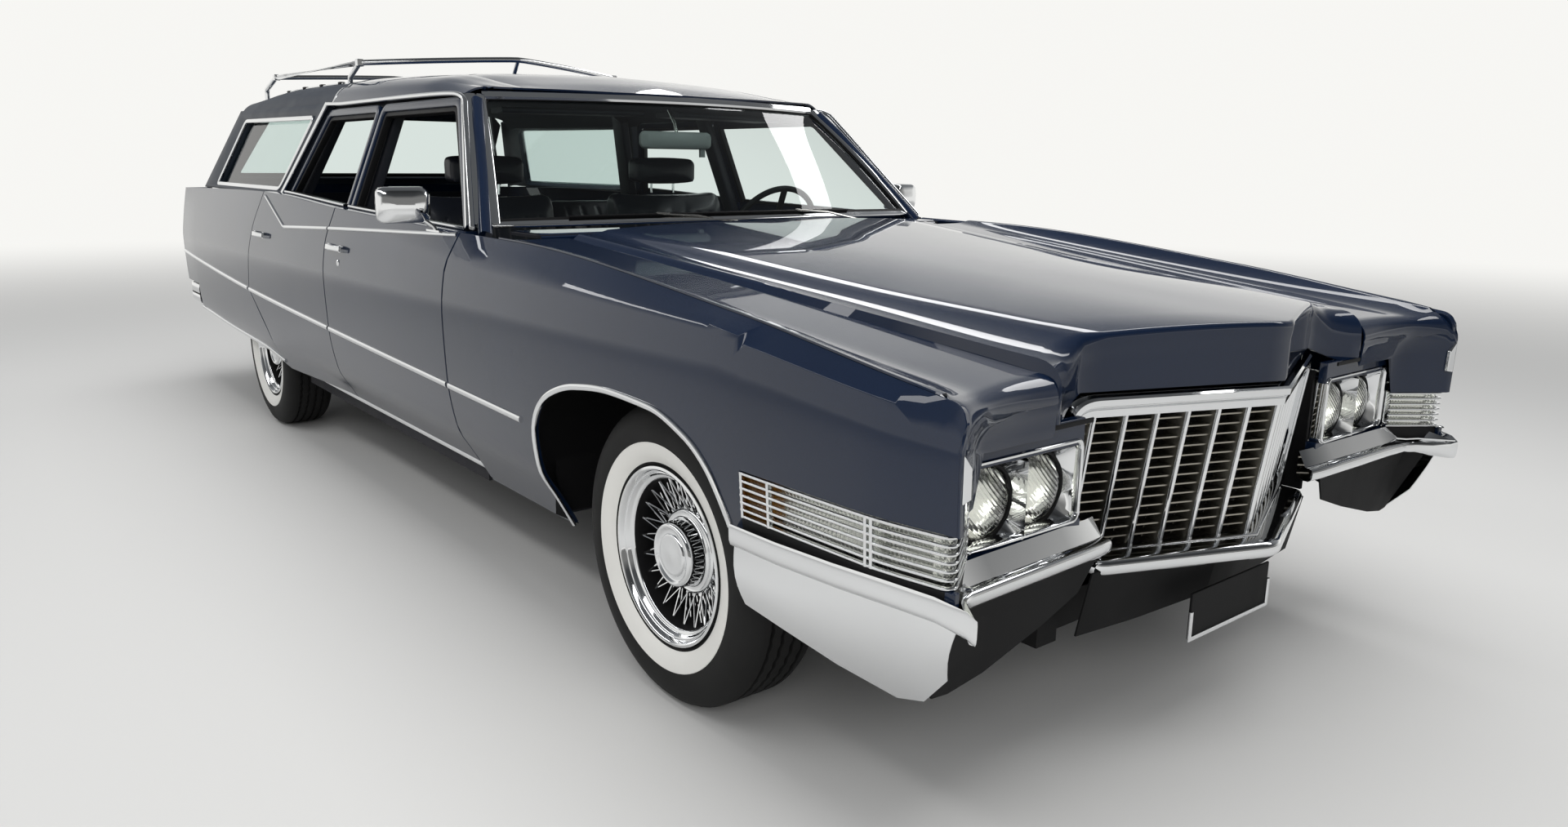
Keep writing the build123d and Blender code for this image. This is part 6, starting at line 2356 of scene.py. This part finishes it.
class Stuffing:
    """Turns a closed form into a stuffed cushion with sewn channels."""

    def __init__(self, voxel: float = 0.014, cap: float = 0.022, pressure: float = 4.0,
                 frames: int = 20) -> None:
        """Keep the settings.

        Args:
            voxel: Size of the even mesh before the swelling.
            cap: How far a point may move.
            pressure: Pressure inside.
            frames: Steps of the simulation.
        """
        self.voxel, self.cap, self.pressure, self.frames = voxel, cap, pressure, frames

    @staticmethod
    def bake(made: bpy.types.Object) -> None:
        """Put what the modifiers make of a piece in place of its mesh.

        Args:
            made: The piece.
        """
        shown = made.evaluated_get(bpy.context.evaluated_depsgraph_get())
        data = bpy.data.meshes.new_from_object(shown)
        made.modifiers.clear()
        made.data = data

    def fill(self, made: bpy.types.Object) -> None:
        """Swell the piece and smooth it.

        Args:
            made: The piece.
        """
        even = made.modifiers.new("even", "REMESH")
        even.mode = "VOXEL"
        even.voxel_size = self.voxel
        self.bake(made)
        before = [v.co.copy() for v in made.data.vertices]
        cloth = made.modifiers.new("stuffing", "CLOTH")
        cloth.settings.use_pressure = True
        cloth.settings.uniform_pressure_force = self.pressure
        cloth.settings.effector_weights.gravity = 0.0
        for step in range(1, self.frames + 1):
            bpy.context.scene.frame_set(step)
        self.bake(made)
        for vertex, start in zip(made.data.vertices, before):
            move = vertex.co - start
            if move.length > self.cap:
                vertex.co = start + move * (self.cap / move.length)
        bpy.context.scene.frame_set(1)
        smooth = made.modifiers.new("smooth", "SUBSURF")
        smooth.levels = smooth.render_levels = 1
        self.bake(made)
        made.data.shade_smooth()

    @staticmethod
    def sew(made: bpy.types.Object, places: Sequence[float], low: Point, high: Point) -> None:
        """Press sewn channels into the faces that look out.

        Args:
            made: The piece.
            places: Places of the channels across the car.
            low: Low corner of the region they run in.
            high: High corner of that region.
        """
        depth, width = 0.007, 0.008
        ways = [vertex.normal.copy() for vertex in made.data.vertices]
        for vertex, way in zip(made.data.vertices, ways):
            p = vertex.co
            if not all(low[i] <= p[i] <= high[i] for i in range(3)):
                continue
            pull = sum(math.exp(-((p.y - at) / width) ** 2) for at in places)
            vertex.co = p - way * depth * min(1.0, pull)


@dataclass
class Seats:
    """Front and rear seats as stuffed leather cushions."""

    front_pad: tuple[Flat, ...] = ((0.01, 0.425), (0.49, 0.425), (0.502, 0.56), (0.47, 0.596), (0.08, 0.545),
                                   (0.02, 0.535))
    front_back: tuple[Flat, ...] = ((-0.14, 0.47), (0.03, 0.5), (0.036, 0.56), (-0.062, 1.05),
                                    (-0.085, 1.092), (-0.14, 1.092), (-0.16, 1.055))
    rear_pad: tuple[Flat, ...] = ((-0.665, 0.43), (-0.31, 0.43), (-0.302, 0.57), (-0.335, 0.6), (-0.64, 0.56))
    rear_back: tuple[Flat, ...] = ((-0.846, 0.6), (-0.68, 0.56), (-0.668, 0.6), (-0.77, 1.01),
                                   (-0.795, 1.046), (-0.85, 1.046), (-0.866, 1.01))

    def pad(self, section: Sequence[Flat], y0: float, y1: float, inset: float = 0.022) -> Shape:
        """Closed form of one section between two planes, rounded at its ends.

        Args:
            section: Corners of the section.
            y0: Its right end.
            y1: Its left end.
            inset: How far the ends are rounded.

        Returns:
            The shape.
        """
        mid = Vector((sum(p[0] for p in section) / len(section), sum(p[1] for p in section) / len(section)))
        rows = []
        inner = spread(y0 + inset, y1 - inset, 4)
        for y, pull in ((y0, 1.0), (y0 + inset * 0.3, 0.45), *((y, 0.0) for y in inner),
                        (y1 - inset * 0.3, 0.45), (y1, 1.0)):
            row = []
            for p in section:
                to_mid = mid - Vector(p)
                q = Vector(p) + to_mid.normalized() * inset * pull
                row.append((q.x, y, q.y))
            rows.append(row)
        return solid(rows)

    def cushion(self, name: str, shape: Shape, stuffing: Stuffing,
                replaces: Sequence[str] = ()) -> bpy.types.Object:
        """Make one stuffed piece.

        Args:
            name: Its name.
            shape: Its form before the stuffing.
            stuffing: How it is stuffed.
            replaces: The nodes that it stands for.

        Returns:
            The piece.
        """
        made = piece(name, shape, LEATHER, replaces=replaces)
        stuffing.fill(made)
        return made

    def build(self) -> None:
        """Make the seats."""
        wide, small = Stuffing(), Stuffing(voxel=0.008, cap=0.012)
        for name, side in SIDES.items():
            y0, y1 = sorted((side * 0.122, side * 0.69))
            channels = spread(y0 + 0.095, y1 - 0.095, 6)
            low, high = (-1.0, y0 + 0.06, 0.0), (1.0, y1 - 0.06, 2.0)
            seat = self.cushion(f"front_cushion_{name}", self.pad(self.front_pad, y0, y1), wide,
                                ["front_seat"] if side > 0 else [])
            Stuffing.sew(seat, channels, (0.06, low[1], 0.55), (0.46, high[1], 1.0))
            back = self.cushion(f"front_back_{name}", self.pad(self.front_back, y0, y1), wide)
            Stuffing.sew(back, channels, (-0.09, low[1], 0.6), (0.1, high[1], 1.0))
            rest = self.pad(((-0.158, 1.128), (-0.078, 1.124), (-0.074, 1.205), (-0.095, 1.222),
                             (-0.15, 1.222), (-0.162, 1.2)), *sorted((side * 0.252, side * 0.548)), 0.016)
            self.cushion(f"head_rest_{name}", rest, small)
            rods = Shape()
            for y in (0.345, 0.455):
                rods.tube([(-0.118, side * y, 1.14), (-0.118, side * y, 1.08)], 0.005, 10)
            piece(f"head_rest_rods_{name}", rods, CHROME)
        arm = self.cushion("centre_armrest", self.pad(((0.05, 0.545), (0.43, 0.575), (0.44, 0.64),
                                                       (0.4, 0.664), (0.06, 0.64)), -0.105, 0.105), wide)
        Stuffing.sew(arm, [0.0], (0.1, -0.08, 0.6), (0.4, 0.08, 0.8))
        seat = self.cushion("rear_cushion", self.pad(self.rear_pad, -0.68, 0.68), wide, ["rear_seat"])
        channels = [s * y for s in (-1, 1) for y in spread(0.2, 0.6, 5)]
        Stuffing.sew(seat, channels, (-0.66, -0.62, 0.56), (-0.33, 0.62, 1.0))
        back = self.cushion("rear_back", self.pad(self.rear_back, -0.68, 0.68), wide)
        Stuffing.sew(back, channels, (-0.84, -0.62, 0.62), (-0.6, 0.62, 1.0))
        bases = Shape()
        for side in SIDES.values():
            y0, y1 = sorted((side * 0.14, side * 0.66))
            bases.block((0.03, y0, 0.303), (0.47, y1, 0.422))
            bases.block((-0.65, y0, 0.303), (-0.33, y1, 0.428))
        piece("seat_bases", bases, SOFT_TRIM, bevel=0.006)


@dataclass
class Cabin:
    """Dashboard, steering wheel, mirror, visors, header and cowl."""

    wheel_centre: Point = (0.645, 0.4, 0.94)

    def dash(self) -> None:
        """Padded top, bright band, hooded instruments and vents."""
        section = soften([(1.158, 0.705), (1.158, 0.938), (0.985, 0.982), (0.866, 0.962), (0.853, 0.925),
                          (0.862, 0.8), (0.905, 0.705)], [0.006, 0.04, 0.016, 0.012, 0.02], 4)
        rows = [[(x, y, z) for x, z in section] for y in spread(-0.787, 0.787, 12)]
        piece("dash_body", solid(rows), SOFT_TRIM, crease=40, replaces=["dashboard"])
        band = [(0.856, y, 0.88) for y in spread(-0.77, 0.77, 10)]
        piece("dash_band", Shape().sweep(band, ring_section(0.046, 0.006, 0.002), (-1, 0, 0.1)), DULL_METAL)
        dials = Shape()
        for y in (0.27, 0.4, 0.53):
            dials.turn(((0.0005, -0.002), (0.034, -0.002), (0.036, -0.006), (0.04, -0.006), (0.042, 0.004)),
                       (0.856, y, 0.88), 0, 32, (1, 1, 0, 0))
        piece("dash_dials", dials, [CHROME, BLACK_TRIM])
        vents = Shape()
        for y in (-0.66, -0.12, 0.12, 0.68):
            for z in (0.866, 0.88, 0.894):
                vents.block((0.85, y - 0.055, z - 0.003), (0.858, y + 0.055, z + 0.003))
        piece("dash_vents", vents, BLACK_TRIM)

    def wheel(self) -> None:
        """Steering wheel on its column."""
        place = Matrix.Translation(self.wheel_centre) @ Matrix.Rotation(math.radians(-65), 4, "Y") \
            @ Matrix.Rotation(math.radians(90), 4, "X")
        centre = (0.0, 0.0, 0.0)
        ring = [(0.1955 + 0.011 * math.cos(a), 0.011 * math.sin(a)) for a in spread(0, 2 * math.pi, 12)]
        rim = Shape().turn(ring, centre, 1, 72)
        for side in (-1, 1):
            path = [(side * r, y, 0.0) for r, y in ((0.055, 0.0), (0.11, -0.002), (0.16, -0.001),
                                                    (0.188, 0.0))]
            rim.sweep(path, ring_section(0.026, 0.011, 0.004), (0, 1, 0))
        pad = Shape()
        rows = []
        for y, scale in ((-0.012, 0.96), (-0.002, 1.0), (0.006, 0.95), (0.009, 0.8)):
            rows.append([(a * scale, y, b * scale) for a, b in ring_section(0.13, 0.07, 0.022, 5)])
        pad.grid(rows, around=True, ends=True)
        column = Shape().turn(((0.026, -0.32), (0.026, -0.06), (0.04, -0.02), (0.04, -0.006),
                               (0.0005, -0.006)), centre, 1, 32)
        piece("steering_rim", rim.moved(place), BLACK_TRIM, crease=50, replaces=["steering_wheel"])
        piece("steering_pad", pad.moved(place), SOFT_TRIM, crease=50)
        piece("steering_column", column.moved(place), SOFT_TRIM, crease=50)
        stalks = Shape().tube([(0.0, -0.07, 0.03), (-0.06, -0.055, 0.07), (-0.12, -0.05, 0.08)], 0.005, 8)
        piece("column_stalk", stalks.moved(place), CHROME)

    def glassware(self) -> None:
        """Inside mirror, visors and the header over the windscreen."""
        shell = Shape()
        rows = []
        for x, scale in ((0.604, 0.94), (0.606, 1.0), (0.616, 0.99), (0.624, 0.86)):
            rows.append([(x, a * scale, 1.283 + b * scale) for a, b in ring_section(0.296, 0.06, 0.022, 5)])
        shell.grid(rows, around=True, ends=True)
        shell.block((0.606, 0.1, 1.226), (0.616, 0.12, 1.258))
        piece("inside_mirror", shell, MIRROR_BACK, crease=50)
        glass = [(0.6035, a, 1.283 + b) for a, b in ring_section(0.25, 0.05, 0.016, 5)]
        piece("inside_mirror_glass", Shape().slab(glass, (0.001, 0, 0)), REFLECTOR)
        stem = Shape().tube([(0.616, 0.0, 1.3), (0.606, 0.0, 1.34), (0.56, 0.0, 1.398)], 0.006, 10)
        piece("inside_mirror_stem", stem, DULL_METAL)
        rows = []
        for u in spread(-0.96, 0.96, 20):
            y = 0.684 * u
            start = 0.598 - 0.086 * u * u
            rows.append([(start, y, 1.404), (start - 0.07, y, 1.388), (start - 0.15, y, 1.392),
                         (start - 0.2, y, 1.402)])
        piece("header_trim", panel(rows, 0.003), HEADLINER)
        for name, side in SIDES.items():
            section = ring_section(0.15, 0.018, 0.008, 4)
            path = [(0.445 - 0.05 * t * t, side * (0.07 + 0.5 * t), 1.376 - 0.004 * t)
                    for t in spread(0, 1, 8)]
            piece(f"sun_visor_{name}", Shape().sweep(path, section, (0, 0, 1)), SOFT_TRIM, crease=50)

    def cowl(self) -> None:
        """Painted panel with air slots in front of the windscreen, and the wipers."""
        line = [(0.985, 1.01), (1.118, 1.01), (1.1275, 1.001), (1.1275, 0.9725), (1.176, 0.9715)]
        rows = [[(x - 0.03 * (abs(y) / 0.79) ** 2 * (x < 1.0), y, z) for x, z in line]
                for y in spread(-0.785, 0.785, 24)]
        piece("cowl_panel", Shape().grid(rows).shell(flange(0.0015), -1.0), PAINT, crease=40)
        slots = Shape()
        for k in range(-13, 14):
            if abs(k) > 1:
                slots.block((1.04, k * 0.045 - 0.016, 1.0095), (1.104, k * 0.045 + 0.016, 1.0112))
        piece("cowl_slots", slots, BLACK_TRIM)
        screen = Windscreen()
        arms = Shape()
        blades = Shape()
        for start, reach in ((-0.1, -0.62), (0.42, -0.1)):
            pivot = (1.112, start, 1.0105)
            tip = screen.point((start + reach) / 2 / 0.83, 0.03, 0.012)
            arms.turn(((0.0005, 0.016), (0.012, 0.014), (0.014, 0.0), (0.014, -0.001)), pivot, 2, 20)
            arms.sweep([(1.112, start, 1.022), tuple(Vector(pivot).lerp(Vector(tip), 0.5)
                                                     + Vector((0, 0, 0.014))), tip],
                       ring_section(0.009, 0.005, 0.002), (0.6, 0, 0.8))
            run = [screen.point(u, 0.026, 0.007) for u in spread(start / 0.83, reach / 0.83, 10)]
            blades.sweep(run, ring_section(0.007, 0.012, 0.002), SCREEN_LEAN)
        piece("wiper_arms", arms, DULL_METAL, crease=50)
        piece("wiper_blades", blades, BLACK_TRIM)

    def build(self) -> None:
        """Make everything in front of the seats."""
        self.dash()
        self.wheel()
        self.glassware()
        self.cowl()


@dataclass
class Underhood:
    """Engine, fan and radiator hoses under the hood, and liners over the rear wheels."""

    def engine(self) -> None:
        """Engine with its covers and air cleaner."""
        lump = Shape().block((1.3, -0.17, 0.335), (2.02, 0.17, 0.56))
        for side in (-1, 1):
            lump.slab([(1.32, side * 0.1, 0.54), (2.0, side * 0.1, 0.54), (2.0, side * 0.3, 0.6),
                       (1.32, side * 0.3, 0.6)], (0, 0, 0.11))
        piece("engine_lump", lump, IRON, bevel=0.008, replaces=["engine_block"])
        covers = Shape()
        for side in (-1, 1):
            rows = []
            for x in spread(1.34, 1.98, 10):
                rows.append([(x, side * (0.205 + a), 0.72 + b) for a, b in ring_section(0.12, 0.06, 0.018,
                                                                                        4)])
            covers.grid(rows, around=True, ends=True)
        piece("valve_covers", covers, CHROME, bevel=0.003)
        cleaner = ((0.0005, 0.056), (0.01, 0.056), (0.014, 0.05), (0.165, 0.044), (0.182, 0.036),
                   (0.184, 0.006), (0.17, -0.002), (0.0005, -0.004))
        piece("air_cleaner", Shape().turn(cleaner, (1.66, 0.0, 0.778), 2, 64), PAINT, crease=50)
        fan = Shape().turn(((0.0005, 0.03), (0.04, 0.03), (0.046, 0.02), (0.046, -0.03), (0.0005, -0.03)),
                           (2.15, 0.0, 0.6), 0, 24)
        for k in range(6):
            turn = (Matrix.Translation((2.15, 0.0, 0.6)) @ Matrix.Rotation(math.pi / 3 * k, 4, "X")
                    @ Matrix.Rotation(0.5, 4, "Z"))
            fan.add(Shape().block((-0.002, -0.034, 0.04), (0.002, 0.034, 0.19)).moved(turn))
        fan.turn(((0.09, -0.006), (0.09, 0.006), (0.02, 0.006)), (2.06, 0.0, 0.48), 0, 32)
        fan.turn(((0.07, -0.006), (0.07, 0.006), (0.02, 0.006)), (2.06, 0.19, 0.62), 0, 32)
        piece("fan_and_pulleys", fan, FRAME_PAINT, crease=40)
        hoses = Shape().tube([(2.04, 0.06, 0.76), (2.14, 0.08, 0.8), (2.23, 0.12, 0.79), (2.246, 0.14, 0.78)],
                             0.022, 14)
        hoses.tube([(2.04, -0.08, 0.44), (2.15, -0.12, 0.42), (2.246, -0.18, 0.43)], 0.024, 14)
        piece("radiator_hoses", hoses, BLACK_TRIM)

    def build(self) -> None:
        """Make the engine and the liners."""
        self.engine()
        for name, side in SIDES.items():
            rows = []
            for a in spread(0.1 * math.pi, 0.9 * math.pi, 24):
                x, z = -1.408 + 0.376 * math.cos(a), 0.348 + 0.376 * math.sin(a)
                rows.append([(x, side * 0.729, z), (x, side * 0.85, z), (x, side * 0.958, z)])
            piece(f"rear_house_{name}", panel(rows, 0.0015), FRAME_PAINT)


PALE_ROOM = (0.93, 0.925, 0.9, 1)


def eye_rays(tree: bpy.types.NodeTree) -> bpy.types.Node:
    """Mask of the rays that show the background: from the camera, or by way of gloss or glass.

    Args:
        tree: Tree that takes the nodes.

    Returns:
        The node that puts the mask out.
    """
    rays = new_node(tree, "LightPath")
    first = new_node(tree, "Math", operation="MAXIMUM")
    second = new_node(tree, "Math", operation="MAXIMUM")
    wire(tree, (rays, "Is Camera Ray", first, 0), (rays, "Is Glossy Ray", first, 1), (first, 0, second, 0),
         (rays, "Is Transmission Ray", second, 1))
    return second


class Studio:
    """Camera, lights, floor and background."""

    def camera(self) -> None:
        """Place the camera where the photograph was taken from."""
        data = bpy.data.cameras.new("camera")
        data.sensor_width = 36
        data.sensor_fit = "HORIZONTAL"
        data.lens = 24.754
        data.clip_end = 200
        right, up = Vector((0.624, 0.7815, 0.0096)), Vector((-0.1829, 0.134, 0.974))
        back = Vector((0.7597, -0.6095, 0.2265))
        made = bpy.data.objects.new("camera", data)
        turn = Matrix((right, up, back)).transposed().to_4x4()
        made.matrix_world = Matrix.Translation((3.9113, -2.1477, 1.2097)) @ turn
        bpy.context.scene.collection.objects.link(made)
        bpy.context.scene.camera = made

    def floor(self) -> None:
        """Pale floor that keeps the shadow."""
        data = bpy.data.meshes.new("floor")
        size = 60.0
        data.from_pydata([(-size, -size, 0), (size, -size, 0), (size, size, 0), (-size, size, 0)], [],
                         [(0, 1, 2, 3)])
        made = bpy.data.objects.new("floor", data)
        bpy.context.scene.collection.objects.link(made)
        material = bpy.data.materials.new("pale_floor")
        material.use_nodes = True
        tree = material.node_tree
        shader = tree.nodes["Principled BSDF"]
        shader.inputs["Base Color"].default_value = (0.6, 0.595, 0.58, 1)
        shader.inputs["Roughness"].default_value = 0.75
        shader.inputs["Specular IOR Level"].default_value = 0.2
        place = new_node(tree, "TexCoord")
        far = new_node(tree, "VectorMath", operation="LENGTH")
        fade = new_node(tree, "MapRange", {"From Min": 3.0, "From Max": 15.0},
                        interpolation_type="SMOOTHSTEP")
        seen = new_node(tree, "Math", operation="MULTIPLY")
        glow = new_node(tree, "Emission", {"Color": PALE_ROOM})
        mix = new_node(tree, "MixShader")
        wire(tree, (place, "Object", far, 0), (far, "Value", fade, "Value"), (fade, "Result", seen, 0),
             (eye_rays(tree), 0, seen, 1), (seen, 0, mix, 0), (shader, 0, mix, 1), (glow, 0, mix, 2),
             (mix, 0, tree.nodes["Material Output"], "Surface"))
        data.materials.append(material)

    def world(self) -> None:
        """White walls and a darker ceiling for the eye and the gloss, even light for the rest."""
        world = bpy.data.worlds.new("room")
        bpy.context.scene.world = world
        world.use_nodes = True
        tree = world.node_tree
        tree.nodes.clear()
        output = new_node(tree, "OutputWorld")
        white = new_node(tree, "Background", {"Color": PALE_ROOM})
        seen = new_node(tree, "Background")
        light = new_node(tree, "Background", {"Color": (0.95, 0.97, 1.0, 1), "Strength": 0.5})
        way = new_node(tree, "TexCoord")
        parts = new_node(tree, "SeparateXYZ")
        ramp = new_node(tree, "ValToRGB")
        stops = ((0.0, PALE_ROOM), (0.22, PALE_ROOM), (0.4, (0.26, 0.27, 0.28, 1)),
                 (0.7, (0.12, 0.125, 0.13, 1)), (1.0, (0.1, 0.105, 0.11, 1)))
        while len(ramp.color_ramp.elements) < len(stops):
            ramp.color_ramp.elements.new(0.5)
        for stop, (place, colour) in zip(ramp.color_ramp.elements, stops):
            stop.position, stop.color = place, colour
        front = new_node(tree, "MapRange", {"From Min": 0.05, "From Max": 0.75, "To Min": 1.0,
                                            "To Max": 0.22}, interpolation_type="SMOOTHSTEP")
        rays = new_node(tree, "LightPath")
        mix = new_node(tree, "MixShader")
        last = new_node(tree, "MixShader")
        clear = new_node(tree, "Math", operation="MAXIMUM")
        wire(tree, (way, "Generated", parts, 0), (parts, "Z", ramp, 0), (parts, "X", front, "Value"),
             (ramp, "Color", seen, "Color"), (front, "Result", seen, "Strength"),
             (rays, "Is Glossy Ray", mix, 0), (light, 0, mix, 1), (seen, 0, mix, 2),
             (rays, "Is Camera Ray", clear, 0), (rays, "Is Transmission Ray", clear, 1), (clear, 0, last, 0),
             (mix, 0, last, 1), (white, 0, last, 2), (last, 0, output, "Surface"))

    def lamp(self, name: str, place: Point, aim: Point, size: Flat, power: float,
             shown: bool = False) -> None:
        """One soft lamp that looks at a point.

        Args:
            name: Its name.
            place: Where it stands.
            aim: The point that it looks at.
            size: Its width and height.
            power: Its power in watts.
            shown: Whether gloss mirrors it.
        """
        data = bpy.data.lights.new(name, "AREA")
        data.shape = "RECTANGLE"
        data.size, data.size_y = size
        data.energy = power
        made = bpy.data.objects.new(name, data)
        bpy.context.scene.collection.objects.link(made)
        made.visible_glossy = shown
        made.location = place
        made.rotation_mode = "QUATERNION"
        made.rotation_quaternion = (Vector(aim) - Vector(place)).to_track_quat("-Z", "Y")

    def build(self) -> None:
        """Make the whole studio."""
        bpy.context.scene.view_settings.view_transform = "Standard"
        self.camera()
        self.floor()
        self.world()
        self.lamp("ceiling_soft", (0.5, 0.0, 5.0), (0.5, 0.0, 0.0), (9.0, 4.0), 260)
        self.lamp("front_soft", (7.0, -4.0, 3.4), (1.5, 0.0, 0.6), (4.0, 2.4), 120)
        for name, side in SIDES.items():
            self.lamp(f"tube_{name}", (0.0, side * 3.2, 3.6), (0.0, 0.0, 0.8), (9.0, 0.5), 60, True)


class Carried:
    """Construction nodes that stay in view, with better finishes."""

    table: dict[str, Finish] = {"chassis_frame": FRAME_PAINT, "floor_pan": CARPET, "engine_block": IRON,
                                "radiator_support": FRAME_PAINT, "grille": CHROME, "headlamp_bezels": CHROME,
                                "headlamps": LENS, "side_lamps": LENS, "front_bumper": CHROME, "roof": PAINT,
                                "fixed_glass": WINDOW, "rear_bumper": CHROME, "tail_lamps": RED,
                                "rear_axle": IRON, "suspension": IRON, "exhaust": PIPE_STEEL,
                                "fuel_tank": FRAME_PAINT, "dashboard": SOFT_TRIM,
                                "steering_wheel": BLACK_TRIM, "front_seat": LEATHER, "rear_seat": LEATHER,
                                "roof_rack": CHROME, "hood": PAINT, "tailgate": PAINT,
                                "tailgate_glass": WINDOW,}
    sided: dict[str, Finish] = {"front_fender": PAINT, "quarter_panel": PAINT, "front_door": PAINT,
                                "rear_door": PAINT, "door_mirror": CHROME, "steering_knuckle": IRON,
                                "front_tyre": TYRE, "rear_tyre": TYRE, "front_wheel": CHROME,
                                "rear_wheel": CHROME,}

    def build(self) -> None:
        """Give each node its material."""
        finishes = dict(self.table)
        for name, finish in self.sided.items():
            for side in SIDES:
                finishes[f"{name}_{side}"] = finish
        for name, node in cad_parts.items():
            material = shop.material(finishes[name])
            for slot in node.material_slots:
                slot.material = material
            log.info("%s keeps its form, finish %s", name, finishes[name].name)


def main() -> None:
    """Build the studio and every sub-assembly, and note the size of the result."""
    logging.basicConfig(level=logging.INFO, format="%(name)s %(message)s")
    Studio().build()
    Carried().build()
    for part in (Seats(), FrontFender(), Hood(), Doors(), Quarter(), Roof(), Wheels(), Grille(), Headlamps(),
                 SideLamps(), FrontBumper(), SideTrim(), Windscreen(), Tailgate(), Tail(), Rack(), Cabin(),
                 Underhood()):
        part.build()


if __name__ == "__main__":
    main()
